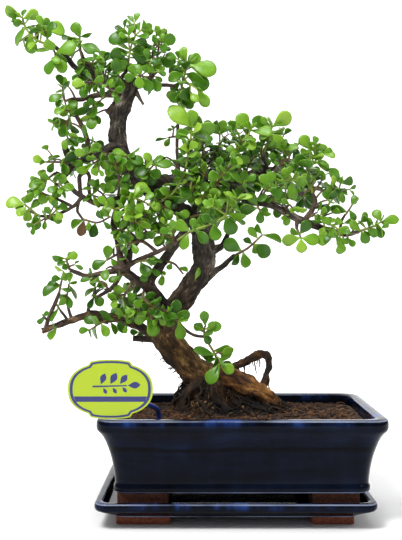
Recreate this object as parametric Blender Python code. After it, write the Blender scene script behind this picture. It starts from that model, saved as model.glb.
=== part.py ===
"""Dwarf jade bonsai in a glazed pot on its tray.

The plant is one woody body (roots, trunk and limbs), with every leafy shoot as a body of its own
that sits on the wood with a hair's gap.  The limbs and shoots were read by eye from the front:
a point is (x, z, y), where x and z are millimetres on the upright plane through the pot's centre,
as the eye sees them, and y is how far behind that plane the point really lies.
"""
import math
import random

import bmesh
import bpy
from mathutils import Matrix, Vector
from mathutils.bvhtree import BVHTree

MM = 0.001
GAP = 0.3                      # clearance between touching pieces, mm

# The eye that the front readings were taken from, mm
EYE = (-35.5, -867.0, 220.0)

# Pot
LIP_X, LIP_Y = 250.0, 180.0    # outer size of the lip
LIP_TOP = 93.4
LIP_WIDTH = 10.0               # flat top of the rolled lip
WALL = 7.0
POT_BOTTOM = 28.5
POT_FLOOR = 36.0
POT_CORNER = 13.0              # corner radius at the lip
POT_FEET_X = ((-107.6, -63.8), (60.0, 101.0))
POT_FOOT_Y = (40.0, 71.0)
POT_SIDE = ((28.5, 15.6), (30.5, 14.0), (34.0, 13.8), (36.8, 15.0), (42.0, 14.5), (50.0, 13.5),
            (57.7, 12.0), (68.0, 9.0), (77.3, 5.0), (82.5, 1.5), (85.0, 0.3), (90.8, 0.0))
DRAIN_X = (-50.0, 50.0)
DRAIN_HOLE = 20.0

# Tray
TRAY_X, TRAY_Y = 242.0, 172.0
TRAY_OFFSET = -5.7             # the tray stands a little left of the pot
TRAY_TOP = 22.5
TRAY_FLOOR = 14.7
TRAY_CORNER = 10.0
TRAY_SIDE = ((7.0, 16.5), (8.5, 15.0), (11.5, 9.0), (14.0, 3.5), (15.2, 1.2), (17.0, 0.0), (20.8, 0.0))
TRAY_FEET_X = ((-109.0, -62.0), (60.0, 97.0))
TRAY_FOOT_Y = (38.0, 66.0)

# Soil and the root ball that stands in it
SOIL_EDGE = 84.5
SOIL_CROWN = 91.0
BALL = (-7.0, 0.0, 54.0, 43.0) # centre x, y and half sizes of the root ball at the soil
BALL_BOTTOM = 62.0
BALL_SIDES = 22
LIMB_STEP = 12.0               # length of a straight piece of limb, at least

# Plant label
PLATE = (-112.0, -85.0, 119.3) # centre
PLATE_X, PLATE_Z, PLATE_T = 72.0, 45.0, 1.0
STAKE_AT = (-73.0, -42.0)
STAKE_R = 2.2

# Leaves
LEAF_T = 2.1                   # thickness at the middle, mm
LEAF_OUTLINE = ((0.55, 1.0), (1.0, 0.62))      # share of the length, of the half width
LEAF_ASPECT = 0.6              # width over length
STEM_STEP = 13.0               # length of a straight piece of stem
PAIR_STEP = 1.15               # spacing of the pairs set by rule, over the spacing stated
PAIR_REACH = 3.0               # leaves with bases this near each other may meet there, mm

# Woody limbs: (x, z, y, thickness)
TRUNK = [(-14, 84, 0, 40), (-20, 100, 0, 36), (-30, 115, -2, 31), (-44, 129, -4, 27), (-61, 146, -6, 24),
         (-72, 162, -6, 23), (-63, 181, -3, 22), (-47, 200, 0, 22), (-37, 217, 2, 22), (-32, 235, 4, 21),
         (-34, 252, 4, 19), (-41, 267, 3, 17), (-54, 277, 2, 14), (-74, 287, 2, 12.5), (-90, 301, 3, 13),
         (-104, 319, 4, 14), (-112, 338, 5, 14), (-113, 356, 5, 14), (-111, 372, 5, 18), (-103, 386, 4, 15),
         (-96, 398, 3, 9)]
LIMBS = {
    "buttress": [(-28, 124, -4, 11), (-20, 122, -10, 20), (-8, 118, -17, 21), (7, 112, -21, 18),
                 (20, 105, -22, 15), (31, 97, -18, 12), (37, 88, -14, 8)],
    "arched_root": [(-20, 122, 0, 8), (-8, 129, 2, 7), (4, 133, 2, 6.5), (12, 138, 1, 6.5), (21, 141, 0, 7),
                    (27, 138, -2, 6.5), (28, 130, -6, 6), (25, 120, -10, 6), (20, 106, -14, 6),
                    (13, 94, -12, 6)],
    "left_root": [(-32, 120, -10, 8), (-38, 112, -17, 14), (-46, 104, -20, 12), (-51, 95, -18, 9),
                  (-49, 86, -15, 7)],
    "front_root": [(-22, 118, -16, 8), (-20, 108, -27, 14), (-18, 100, -34, 11), (-14, 92, -37, 8),
                   (-9, 84, -37, 6)],
    "back_root": [(-22, 112, 16, 9), (-18, 104, 28, 8), (-12, 94, 36, 7), (-8, 82, 36, 6)],
    "low_left": [(-72, 158, -6, 10), (-82, 161, -9, 9.5), (-95, 168, -12, 8), (-112, 174, -14, 8),
                 (-128, 177, -16, 7.5), (-140, 178, -17, 7.5), (-150, 175, -18, 6.5), (-160, 172, -19, 6),
                 (-170, 168, -20, 5.5), (-184, 163, -21, 5)],
    "cut_stub": [(-76, 155, -4, 7), (-99, 156, -2, 5.5)],
    "low_twig": [(-138, 178, -17, 5), (-132, 173, -17, 3.5), (-122, 170.5, -17, 3)],
    "upright": [(-181, 164, -21, 4), (-179, 172, -21, 4), (-175, 182, -21, 4), (-171, 191, -21, 3.5),
                (-168, 199, -21, 3)],
    "slant_a": [(-160, 172, -19, 4), (-163, 177, -20, 2.6), (-167, 182, -20, 2.4)],
    "slant_b": [(-156, 173, -19, 4), (-159, 182, -18, 2.6), (-162, 193, -18, 2.4)],
    "low_spur": [(-140, 178, -17, 5), (-141, 184, -18, 3.2), (-137, 190, -19, 2.6)],
    "cross": [(-56, 183, -6, 9), (-66, 186, -13, 8), (-71, 191, -16, 8), (-77, 197, -19, 9),
              (-84, 204, -21, 12), (-91, 208, -22, 9), (-98, 212, -23, 8), (-110, 221, -25, 8)],
    "knot": [(-109, 219, -26, 6), (-113, 221, -28, 7), (-118, 222, -28, 5)],
    "hanging": [(-64, 185, -14, 5), (-60, 178, -22, 3), (-56, 171, -27, 2.8), (-51, 165, -30, 2.8),
                (-46, 161, -31, 2.8), (-40, 158.5, -32, 2.8), (-31, 157, -33, 2.4), (-28, 152, -34, 2.2)],
    "droop": [(-110, 219, -26, 6), (-114, 210, -28, 4.5), (-118, 204, -29, 4.2), (-125, 199, -30, 3.6),
              (-133, 194.5, -31, 3)],
    "left_low": [(-112, 220, -26, 6), (-128, 217, -29, 4.8), (-142, 214.5, -32, 4.2), (-150, 217, -33, 4),
                 (-158, 220, -34, 3.6)],
    "riser": [(-108, 219, -25, 7), (-111, 230, -23, 6.4), (-112, 240, -21, 6.2), (-114, 250, -18, 6),
              (-117, 260, -16, 6), (-117, 268, -14, 5.6), (-113, 282, -12, 5.4), (-113, 289, -11, 5)],
    "back_riser": [(-106, 217, -22, 9), (-104, 232, -12, 8), (-100, 242, -4, 8), (-94, 249, 2, 7.5),
                   (-85, 254, 6, 7)],
    "front_cross": [(-108, 221, -26, 6), (-97, 228, -32, 4.6), (-83, 234, -36, 4.2), (-70, 240, -39, 3.6),
                    (-58, 247.5, -42, 3)],
    "front_twig": [(-77, 237, -37, 4), (-88, 246, -36, 2.6), (-95, 250, -35, 2.6), (-101, 254.5, -34, 2.4)],
    "inner": [(-84, 204, -21, 10), (-82, 213, -20, 9.5), (-76, 221, -19, 9), (-66, 235, -17, 8.5),
              (-56, 249, -15, 8), (-51, 258, -13, 7.5), (-49, 268, -10, 7.5), (-40, 279, -6, 7),
              (-38, 292, -3, 6), (-37, 302, 1, 6)],
    "low_right": [(-34, 210, 0, 9), (-22, 219, -6, 6), (-15, 224, -10, 4.6), (-4, 233.5, -14, 3.6)],
    "fork": [(-27, 238, 4, 10), (-17, 242, 6, 6), (-13, 248, 7, 4.6), (-10, 256, 9, 3.4)],
    "beam": [(-88, 299, 3, 10), (-70, 304, 1, 9), (-55, 304, 0, 9), (-40, 302, 0, 9), (-25, 298, -1, 10),
             (-8, 296, -4, 8.5), (2, 290, -7, 8), (12, 284.5, -10, 8), (24, 283, -12, 7.5), (38, 277, -14, 7),
             (55, 268, -16, 7), (65, 264, -17, 7), (76, 260, -18, 6), (86, 257, -18, 5), (97, 253.5, -18, 4.4),
             (105, 254, -19, 4), (112, 256, -20, 3.4)],
    "upper_right": [(-18, 298, 1, 9), (-10, 303, 5, 7.5), (5, 304, 9, 7), (15, 308, 12, 6.5),
                    (25, 310, 15, 6), (24, 320, 16, 5), (22, 329, 17, 4)],
    "far_stub": [(17, 309, 13, 5), (29, 311, 12, 4.4)],
    "right_riser": [(60, 265, -17, 6), (65, 271, -16, 5), (70, 279, -14, 4.6), (71, 286, -12, 4),
                    (69, 291.5, -10, 3.6)],
    "right_fork": [(70, 278.5, -14, 4), (77, 279.5, -15, 3.4), (83, 280.5, -15, 3)],
    "right_twig": [(94, 254, -18, 4), (95.5, 263, -17, 2.6), (97, 268, -17, 2.6), (99.5, 272, -17, 2.4)],
    "under_spur": [(54, 268, -17, 4), (54, 259, -21, 3)],
    "dark_stem": [(-56, 303, 1, 5), (-56.5, 316, 3, 3.4), (-58, 332, 6, 3.2), (-57.5, 348, 8, 3),
                  (-57, 361, 8, 3)],
    "mid_spur": [(-66, 303, -2, 4), (-72, 308, -6, 3.4)],
    "knuckle": [(-108, 333, 3, 10), (-118, 335, -2, 9), (-125, 332, -5, 9), (-131, 327, -7, 7),
                (-146, 323, -10, 6.4), (-156, 319, -13, 7)],
    "left_up": [(-139, 325, -8, 6), (-140.5, 334, -9, 5.4), (-143, 345, -10, 5), (-147, 355, -11, 4.6),
                (-152, 364, -12, 4)],
    "left_nub": [(-141, 336, -9, 3.4), (-147, 335, -10, 2.6)],
    "left_crook": [(-163, 335, -15, 6), (-160, 327, -14, 7), (-157, 318, -13, 7), (-160, 312, -15, 6),
                   (-165, 307.5, -17, 5.6), (-172, 310.5, -19, 4.8)],
    "left_mid": [(-113, 287, -12, 5.4), (-118, 286, -13, 5), (-127, 282, -15, 5), (-133, 282, -16, 5),
                 (-140, 285, -17, 5), (-147, 289, -18, 5), (-153, 293, -19, 4.6), (-160, 300, -19, 5),
                 (-166, 307, -18, 5)],
    "left_out": [(-147, 288.5, -18, 4), (-152, 282, -20, 3.6), (-158, 277.5, -21, 3.2), (-166, 273.5, -22, 3),
                 (-175, 270.5, -23, 2.8), (-187, 270.5, -24, 2.6)],
    "left_out_up": [(-155, 279, -21, 3.4), (-165, 284, -23, 3), (-176, 289, -25, 2.8)],
    "left_drop": [(-150, 283, -19, 3), (-151, 275, -20, 2.6), (-146, 267.5, -20, 2.4)],
    "post_a": [(-148, 290, -18, 4.4), (-149, 300, -16, 4), (-149, 308, -14, 4), (-143, 311.5, -13, 4),
               (-140, 308, -13, 3.6), (-140.5, 298, -15, 3.4), (-139, 286, -17, 3.4)],
    "top_left": [(-112, 384, 2, 7), (-124, 384, -4, 5.6), (-135, 383, -9, 5), (-148, 379.5, -12, 4.4),
                 (-157, 380, -14, 3.6)],
    "collar": [(-117, 373, 4, 7), (-123, 367, 1, 6)],
    "long_left": [(-104, 388, 0, 8), (-122, 393, -4, 6), (-143, 401, -8, 5.4), (-150, 407, -9, 5),
                  (-157, 414, -10, 4.6), (-162, 420, -11, 4.2), (-170, 427, -12, 3.8), (-177, 430.5, -13, 3.4)],
    "long_side": [(-134, 398, -7, 5), (-137, 406, -8, 3.8), (-141, 411, -8, 3.4), (-145, 417.5, -9, 3),
                  (-148, 424.5, -9, 2.6)],
    "top_spur": [(-104, 392, -2, 6), (-110, 399, -5, 4), (-106, 405, -7, 3.4), (-104, 409, -8, 3)],
    "top_twigs": [(-95, 394, 0, 6), (-86, 398, -2, 4), (-80, 404, -3, 3.4), (-79, 409, -4, 3.2)],
    "top_right": [(-100, 391, 3, 6), (-84, 393, 1, 3.8), (-70, 393, 0, 3.6), (-60, 392, -1, 3.2)],
    "top_hang": [(-96, 386, 2, 5), (-92, 379, 0, 2.8), (-89.5, 375, -1, 2.4)],
    "back_low": [(-70, 165, 2, 10), (-82, 174, 20, 7), (-92, 182, 34, 5.4), (-98, 190, 46, 4)],
    "back_mid": [(-34, 240, 8, 10), (-26, 256, 26, 7.5), (-18, 270, 46, 6), (-12, 282, 64, 4.6)],
    "back_left": [(-92, 303, 5, 9), (-106, 312, 24, 6.6), (-122, 322, 44, 5.4), (-136, 332, 60, 4)],
    "back_right": [(-20, 298, 2, 8), (-4, 306, 22, 6.4), (16, 312, 42, 5.4), (38, 316, 58, 4)],
    "back_top": [(-108, 374, 8, 9), (-104, 386, 24, 6), (-100, 398, 40, 4.6), (-98, 408, 52, 3.6)],
    "back_far": [(14, 285, -6, 6), (30, 286, 14, 5), (46, 288, 34, 4.4), (60, 292, 50, 3.6)],
}

# Leafy shoots.  stems: (x, z, y) points, the first stem starts on the wood and the rest on it.
# blades: base x, z and tip x, z as seen, depth of the tip before (-) or behind (+) its base, roll.
# pairs: stem number, first node, spacing, turn of the first pair, leaf length.
SPRAYS = {
    "far_tip": dict(
        stems=[[(-178, 431, -13), (-186, 433, -14), (-192, 437, -15), (-196, 441, -16), (-199, 446, -16),
                (-201, 452, -17), (-203, 457, -18)],
               [(-192, 437, -15), (-188, 441, -16), (-184, 445, -17)],
               [(-196, 441, -16), (-201, 435.5, -17), (-206, 433, -18)],
               [(-186, 433, -14), (-185, 441, -11)]],
        blades=[(-203, 456, -219, 466, -2, 15), (-202, 455, -187, 461, 2, 20), (-202, 453, -211, 450, -4, 30),
                (-199, 447, -189, 448, 6, 50), (-184, 445, -178, 456, 0, 15), (-184, 445, -163, 447, 3, 70),
                (-187, 442, -176, 443, -6, 40), (-200, 448, -209, 431, -3, 20), (-196, 440, -193, 422, 4, 20)]),
    "long_node": dict(
        fused=True,
        stems=[[(-174, 429, -14), (-173, 425, -19), (-171, 420, -20)]],
        blades=[(-171, 421, -178, 402, -3, 15), (-171, 420, -163, 405, -2, 20), (-173, 426, -190, 426, -4, 50),
                (-172, 423, -153, 431, -5, 25), (-173, 425, -160, 421, -10, 40)]),
    "upper_tip": dict(
        stems=[[(-148, 425, -9), (-149, 431, -9), (-149, 438, -9)], [(-148, 427, -9), (-154, 423, -8)]],
        blades=[(-149, 438, -155, 452, -2, 10), (-149, 438, -137, 441, 2, 25), (-149, 436, -166, 439, 5, 55),
                (-149, 435, -162, 434, 1, 40), (-149, 431, -135, 424, -5, 35), (-149, 431, -129, 428, 4, 20),
                (-154, 423, -158, 414, -2, 40), (-149, 431, -162, 426, -7, 30), (-154, 423, -163, 423, 3, 40)]),
    "upper_side": dict(
        fused=True,
        stems=[[(-139, 408, -10), (-138, 413, -13), (-135, 417, -14)], [(-138, 413, -13), (-144, 414, -12)]],
        blades=[(-135, 417, -126, 416, -3, 20), (-138, 413, -126, 410, -4, 40), (-144, 414, -155, 412, 3, 20),
                (-144, 414, -150, 402, -4, 20), (-135, 417, -138, 426, 4, 35)]),
    "left_hook": dict(
        stems=[[(-158, 380, -14), (-163, 379, -15), (-163.5, 385, -15), (-165, 391, -15)],
               [(-163, 379, -15), (-162, 374, -15)]],
        blades=[(-165, 391, -168, 404, 0, 45), (-164, 385, -177, 378, -4, 10), (-163, 380, -171, 373, -2, 30),
                (-162, 375, -154, 368, -3, 20), (-162, 374, -165, 363, 4, 35), (-161, 380, -152, 374, -6, 30)]),
    "left_fall": dict(
        stems=[[(-152, 365, -12), (-158, 364, -14), (-161, 356, -16), (-162, 348, -17), (-160, 343, -19)]],
        blades=[(-158, 364, -154, 377, 2, 20), (-157, 364, -140, 372, -3, 55), (-160, 361, -170, 367, 2, 35),
                (-160, 360, -174, 356, -2, 25), (-161, 357, -167, 345, -4, 30), (-162, 349, -184, 339, -2, 50),
                (-161, 348, -150, 343, -3, 10), (-160, 343, -165, 334, -3, 25), (-160, 343, -151, 336, -3, 25),
                (-157, 364, -147, 357, 3, 30)]),
    "left_bell": dict(
        fused=True,
        stems=[[(-136, 382, -10), (-136, 374, -13), (-136, 366, -14)]],
        blades=[(-136, 366, -138, 351, -2, 10), (-136, 374, -134, 361, -5, 60), (-136, 366, -147, 358, 3, 30),
                (-136, 374, -126, 376, 2, 30), (-136, 377, -146, 374, -3, 45), (-136, 367, -129, 357, 4, 50)]),
    "crown_left": dict(
        stems=[[(-127, 394, -6), (-131, 396, -18), (-137, 396, -24), (-143, 393, -28)],
               [(-131, 396, -18), (-124, 391, -24), (-117, 387, -28)]],
        blades=[(-141, 394, -148, 383, -4, 20), (-143, 393, -156, 397, -3, 35), (-137, 396, -127, 398, -5, 20)],
        pairs=[(0, 8, 13, 20, 17), (1, 7, 13, 70, 15)]),
    "crown_back": dict(
        stems=[[(-115, 391, 0), (-126, 398, 14), (-136, 403, 22), (-146, 405, 28)],
               [(-126, 398, 14), (-127, 407, 20), (-125, 416, 22)]],
        pairs=[(0, 12, 13, 40, 18), (1, 6, 13, 10, 17)]),
    "top_shoot": dict(
        stems=[[(-104, 410, -8), (-103, 415, -8), (-102, 424, -9), (-100, 432, -9), (-97, 439, -9), (-91, 445, -9)]],
        blades=[(-100, 433, -121, 440, -3, 40), (-92, 444, -81, 449, -2, 10), (-92, 444, -80, 440, 4, 50),
                (-93, 443, -94, 452, 5, 45), (-102, 424, -120, 421, -4, 15), (-101, 426, -91, 426, 4, 50),
                (-102, 423, -84, 416, -4, 40), (-99, 434, -85, 431, 4, 45), (-103, 414, -116, 408, -8, 25),
                (-103, 413, -92, 404, -8, 30), (-103, 414, -109, 421, 5, 35), (-103, 413, -97, 405, 5, 35)]),
    "top_pair": dict(
        stems=[[(-79, 409, -4), (-81, 418, -4), (-80, 427, -3), (-79, 435, -3), (-77, 441, -3)],
               [(-80, 413, -4), (-77, 417, -6), (-76, 424, -6), (-74, 431, -6), (-73.5, 438, -6)]],
        blades=[(-77, 441, -67, 444, -2, 10), (-77, 441, -80, 449, 4, 40), (-74, 433, -59, 437, -2, 20),
                (-80, 428, -92, 430, 3, 45), (-80, 430, -74, 433, 6, 45), (-77, 418, -73, 408, -4, 30),
                (-77, 419, -62, 412, -2, 30), (-81, 420, -91, 424, -3, 55), (-73.5, 438, -69, 446, -4, 40)]),
    "crown_right": dict(
        stems=[[(-84, 394, 0), (-83, 399, -8), (-80, 402, -13), (-76, 405, -16)],
               [(-82, 400, -10), (-88, 400, -15), (-95, 402, -18)]],
        blades=[(-77, 404, -88, 411, -2, 30), (-76, 405, -68, 403, -2, 30), (-82, 400, -74, 388, -5, 20),
                (-88, 400, -84, 388, -4, 40), (-95, 402, -107, 399, -3, 30), (-95, 402, -92, 390, -3, 30),
                (-80, 402, -71, 397, 3, 40), (-88, 400, -98, 392, 2, 40), (-95, 402, -102, 411, 2, 40)]),
    "right_crest": dict(
        stems=[[(-57, 363, 8), (-55, 372, 4), (-54, 384, 0), (-53, 395, -3), (-50, 405, -5), (-48.5, 413, -6)],
               [(-52, 398, -4), (-45, 395, -9), (-39, 389, -11)]],
        blades=[(-48, 413, -55, 428, -1, 75), (-48, 413, -36, 421, 0, 10), (-48, 412, -21, 407, -6, 20),
                (-49, 411, -58, 415, 5, 40), (-50, 408, -66, 405, 3, 30), (-51, 404, -66, 398, -4, 35),
                (-51, 404, -33, 396, -9, 25), (-49, 409, -29, 402, -3, 25), (-45, 395, -27, 394, -2, 40),
                (-39, 389, -29, 373, -2, 25), (-53, 392, -44, 373, -7, 15), (-54, 388, -62, 377, -5, 20),
                (-54, 386, -68, 382, 3, 60), (-54, 385, -42, 384, 6, 40), (-54, 380, -40, 378, 2, 30),
                (-55, 374, -66, 369, 2, 30)]),
    "bright_shoot": dict(
        stems=[[(-73, 285, -6), (-69, 287, -18), (-62, 292, -23), (-52, 308, -24), (-47, 330, -22), (-45, 345, -21),
                (-44, 354, -20)]],
        blades=[(-45, 354, -66, 372, -3, 20), (-44, 354, -44, 370, -3, 20), (-44, 354, -23, 350, -4, 40),
                (-45, 350, -59, 345, -3, 20), (-45, 346, -26, 341, -5, 30), (-51, 311, -64, 313, -2, 60),
                (-51, 310, -42, 302, -4, 50), (-57, 300, -71, 301, -2, 60), (-57, 299, -46, 288, -3, 50),
                (-47, 330, -40, 320, 4, 40), (-46, 338, -56, 330, 5, 50), (-45, 344, -36, 333, 3, 40)]),
    "stem_leaves": dict(
        fused=True,
        stems=[[(-58, 345, 8), (-62, 344, 7), (-66, 344, 6)], [(-62, 344, 7), (-61, 352, 6)]],
        blades=[(-66, 344, -78, 340, 1, 80), (-61, 352, -67, 351, -1, 10), (-64, 344, -69, 336, -1, 20),
                (-62, 344, -54, 335, -2, 50), (-61, 352, -55, 356, 3, 40)]),
    "bright_fork": dict(
        fused=True,
        stems=[[(-93, 305, -4), (-89, 309, -16), (-84, 312, -20), (-80, 318, -22)]],
        blades=[(-80, 318, -88, 330, -2, 15), (-80, 318, -63, 321, -3, 30), (-82, 315, -97, 309, -3, 50),
                (-84, 312, -73, 308, -4, 30), (-80, 318, -72, 328, 4, 50), (-86, 311, -80, 300, -3, 30)]),
    "trunk_node": dict(
        fused=True,
        stems=[[(-106, 322, -3), (-107, 324, -14), (-104, 327, -18)], [(-106.5, 323, -9), (-112, 319, -16)]],
        blades=[(-104, 327, -118, 332, -2, 25), (-104, 327, -92, 333, 0, 60), (-105, 326, -90, 320, -5, 30),
                (-112, 319, -122, 325, -3, 30), (-112, 319, -113, 308, -3, 25), (-106, 324, -97, 315, -2, 40)]),
    "left_arch": dict(
        stems=[[(-114, 289, -12), (-112, 300, -22), (-114, 313, -26), (-119, 328, -28), (-129, 324, -29),
                (-137, 319, -30)], [(-136, 320, -30), (-141, 329, -31)]],
        blades=[(-141, 329, -154, 330, -2, 10), (-141, 329, -130, 338, -1, 5), (-137, 319, -152, 312, -3, 30),
                (-130, 323, -122, 315, -3, 30), (-134, 321, -134, 308, -3, 30), (-119, 328, -110, 323, -3, 40),
                (-113, 305, -125, 297, -2, 20), (-113, 303, -104, 296, -4, 30), (-115, 315, -126, 310, 3, 45)]),
    "left_reach": dict(
        stems=[[(-157, 321, -17), (-160, 321, -23), (-166, 321, -25), (-173, 322, -26), (-181, 321, -27)]],
        blades=[(-181, 321, -193, 325, -1, 5), (-180, 322, -168, 328, 3, 80), (-166, 321, -152, 327, -2, 55),
                (-173, 322, -178, 312, -3, 40), (-166, 321, -160, 309, -3, 20), (-166, 321, -172, 330, 5, 50),
                (-160, 321, -148, 318, -2, 40)]),
    "left_bunch": dict(
        stems=[[(-173, 311, -20), (-178, 307, -26), (-183, 302, -29)], [(-178, 307, -26), (-173, 301, -32),
               (-167, 297, -34)]],
        blades=[(-183, 302, -197, 298, -2, 25), (-182, 303, -196, 304, 4, 40), (-180, 306, -187, 314, 4, 30),
                (-182, 303, -190, 289, -3, 20), (-173, 301, -172, 288, -2, 20), (-167, 297, -154, 297, -1, 5),
                (-169, 298, -163, 309, -2, 25), (-176, 304, -186, 309, -5, 50), (-170, 299, -178, 293, -5, 30),
                (-168, 298, -160, 288, 4, 30)]),
    "left_mid_tip": dict(
        fused=True,
        stems=[[(-177, 290, -25), (-184, 291, -27), (-190, 294, -28)]],
        blades=[(-190, 294, -200, 283, -3, 40), (-188, 293, -182, 283, -4, 20), (-180, 290, -172, 282, -3, 20),
                (-184, 291, -186, 281, 4, 30), (-190, 294, -199, 292, 3, 45)]),
    "out_tip": dict(
        stems=[[(-188, 271, -24), (-194, 275, -25), (-197, 278, -25), (-200, 281, -26)]],
        blades=[(-200, 281, -218, 286, -2, 25), (-200, 281, -193, 293, 1, 30), (-199, 280, -207, 270, -3, 15),
                (-197, 278, -199, 265, 3, 25), (-195, 276, -187, 286, 2, 50), (-191, 273, -191, 257, -2, 40)]),
    "out_mid": dict(
        fused=True,
        stems=[[(-181, 270, -24), (-181, 267, -28), (-177, 270, -30), (-171, 276, -30)]],
        blades=[(-181, 268, -182, 258, -2, 40), (-171, 276, -167, 268, -4, 30), (-171, 276, -172, 286, -2, 15),
                (-175, 272, -166, 264, 3, 40), (-171, 276, -161, 281, 2, 40)]),
    "drop_tip": dict(
        stems=[[(-146, 267, -20), (-141, 266, -21), (-134, 264, -22), (-126, 267, -24), (-120, 270, -25)]],
        blades=[(-141, 266, -140, 257, -3, 10), (-134, 264, -138, 251, -3, 20), (-145, 267, -157, 260, 3, 20),
                (-126, 267, -133, 276, -2, 20), (-120, 270, -130, 275, -4, 30), (-120, 270, -114, 279, -4, 15),
                (-122, 269, -124, 282, 3, 20), (-128, 266, -119, 260, 3, 40)]),
    "mid_post": dict(
        fused=True,
        stems=[[(-127, 283, -15), (-128, 289, -21), (-126, 292, -23)], [(-127.5, 287, -18), (-137, 290, -18)]],
        blades=[(-126, 292, -115, 296, -3, 30), (-126, 292, -128, 302, -1, 20), (-137, 290, -131, 299, -2, 10),
                (-137, 290, -146, 284, -3, 20), (-127, 287, -117, 284, -4, 25), (-137, 290, -130, 280, -4, 25)]),
    "front_bright": dict(
        stems=[[(-113, 282, -12), (-108, 287, -24), (-101, 288, -32), (-92, 285, -38), (-83, 281, -41)],
               [(-101, 288, -32), (-98, 281, -36), (-97, 274, -38)]],
        pairs=[(0, 10, 12, 30, 17), (1, 5, 13, 80, 15)]),
    "front_mid": dict(
        stems=[[(-117, 270, -16), (-110, 270, -26), (-102, 268, -31), (-93, 269, -34), (-85, 273, -35)]],
        pairs=[(0, 9, 12, 60, 17)]),
    "front_low": dict(
        stems=[[(-102, 255, -34), (-102, 262, -36), (-97, 266, -40), (-92, 262, -44)]],
        blades=[(-97, 266, -87, 260, -3, 40)],
        pairs=[(0, 3, 12, 20, 17)]),
    "riser_side": dict(
        fused=True,
        stems=[[(-115, 257, -17), (-112, 258, -26), (-107, 256, -29)]],
        blades=[(-107, 256, -110, 244, -3, 20), (-108, 256, -99, 249, -3, 30), (-110, 257, -106, 268, -3, 30),
                (-112, 258, -120, 254, -4, 60)]),
    "riser_left": dict(
        fused=True,
        stems=[[(-112, 236, -22), (-117, 233, -25), (-124, 229, -26)], [(-117, 233, -25), (-117, 241, -26)]],
        blades=[(-124, 230, -122, 243, -2, 30), (-117, 241, -129, 239, -2, 45), (-124, 229, -138, 224, -2, 45),
                (-123, 229, -134, 220, 2, 60), (-120, 231, -114, 224, -3, 50)]),
    "back_riser_tip": dict(
        stems=[[(-84, 254.5, 6), (-77, 258, 2), (-71, 263, -2), (-68, 271, -4)], [(-77, 258, 2), (-72, 252, -4)]],
        blades=[(-72, 252, -61, 249, -3, 15), (-72, 252, -76, 242, -3, 30)],
        pairs=[(0, 5, 12, 45, 17)]),
    "arm_green": dict(
        stems=[[(-57, 248, -42), (-43, 257, -45), (-26, 263, -48), (-12, 271, -50), (-5, 280, -50), (-2, 287, -50)],
               [(-12, 271, -50), (-19, 277, -52), (-25, 280, -52)]],
        blades=[(-45, 256, -59, 265, 4, 20), (-43, 257, -42, 268, -3, 15), (-47, 254, -53, 239, -3, 25),
                (-41, 258, -28, 246, -4, 15), (-24, 264, -21, 248, -3, 5), (-12, 270, -6, 254, -2, 10),
                (-11, 272, 6, 270, -3, 35), (-27, 263, -34, 272, -3, 40), (-25, 280, -34, 284, -2, 20),
                (-25, 280, -21, 290, -2, 40), (-2, 287, -12, 293, -3, 50), (-2, 287, 12, 291, -3, 55),
                (-5, 280, 2, 274, -5, 40), (-5, 279, -12, 284, 3, 30), (-19, 277, -15, 287, 5, 30)]),
    "knot_drop": dict(
        stems=[[(-88, 204, -27), (-90, 197, -31), (-87, 190, -33), (-79, 187, -35), (-70, 181, -36),
                (-61, 176, -36), (-57, 172, -36)], [(-87, 190, -33), (-87, 182, -36), (-84, 175, -37)]],
        blades=[(-57, 172, -53, 155, -2, 25), (-60, 176, -46, 181, -3, 30), (-61, 176, -66, 167, -3, 20),
                (-84, 175, -78, 158, -2, 45), (-84, 175, -98, 173, -2, 35), (-61, 177, -57, 192, -2, 45),
                (-86, 180, -76, 184, 3, 60), (-70, 181, -72, 171, 4, 30), (-88, 193, -98, 186, -3, 30)],
        pairs=[(0, 4, 12, 60, 15)]),
    "cross_under": dict(
        stems=[[(-99, 210, -26), (-103, 203, -32), (-107, 196, -35), (-108, 188, -36), (-104, 182, -36)]],
        pairs=[(0, 4, 12, 20, 17)]),
    "cross_back": dict(
        fused=True,
        stems=[[(-96, 209, -17), (-98, 200, -12), (-99, 190, -10), (-96, 182, -10)]],
        pairs=[(0, 6, 13, 70, 17)]),
    "low_twig_tip": dict(
        fused=True,
        stems=[[(-121, 170, -17), (-112, 172, -20), (-106, 177, -22)]],
        blades=[(-120, 170, -115, 160, -2, 45), (-112, 172, -106, 164, -3, 60), (-106, 177, -116, 184, -2, 20),
                (-106, 177, -98, 184, -3, 25), (-116, 171, -131, 180, -4, 35), (-106, 177, -101, 170, -4, 40)]),
    "low_spur_tip": dict(
        fused=True,
        stems=[[(-137, 191, -19), (-135, 197, -23), (-134, 204, -24)]],
        blades=[(-134, 204, -145, 196, -2, 40), (-134, 204, -123, 206, -3, 30), (-136, 195, -137, 208, -4, 50),
                (-135, 198, -128, 186, -3, 5), (-136, 195, -141, 184, -3, 40)]),
    "upright_tip": dict(
        stems=[[(-168, 200, -21), (-168, 206, -22), (-166, 213, -24), (-164, 219, -26)]],
        blades=[(-168, 205, -184, 197, -3, 25), (-168, 206, -180, 206, 3, 50), (-167, 212, -175, 213, -3, 35),
                (-164, 219, -162, 210, -4, 10), (-164, 219, -174, 222, 3, 40), (-168, 203, -157, 201, -2, 60),
                (-165, 216, -156, 216, 3, 40)]),
    "slant_tips": dict(
        fused=True,
        stems=[[(-167, 183, -20), (-170, 186, -21), (-172, 190, -22)], ],
        blades=[(-170, 186, -187, 181, -3, 40), (-172, 190, -182, 186, 3, 20), (-169, 185, -175, 171, -3, 40),
                (-170, 186, -162, 192, -3, 35)]),
    "slant_top": dict(
        fused=True,
        stems=[[(-162, 194, -18), (-160, 201, -17), (-159, 207, -17)]],
        blades=[(-159, 206, -150, 195, -2, 45), (-159, 207, -152, 209, -3, 35), (-161, 197, -157, 184, -3, 30),
                (-159, 207, -156, 217, 3, 40), (-161, 198, -168, 192, 4, 30)]),
    "left_low_tip": dict(
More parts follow.
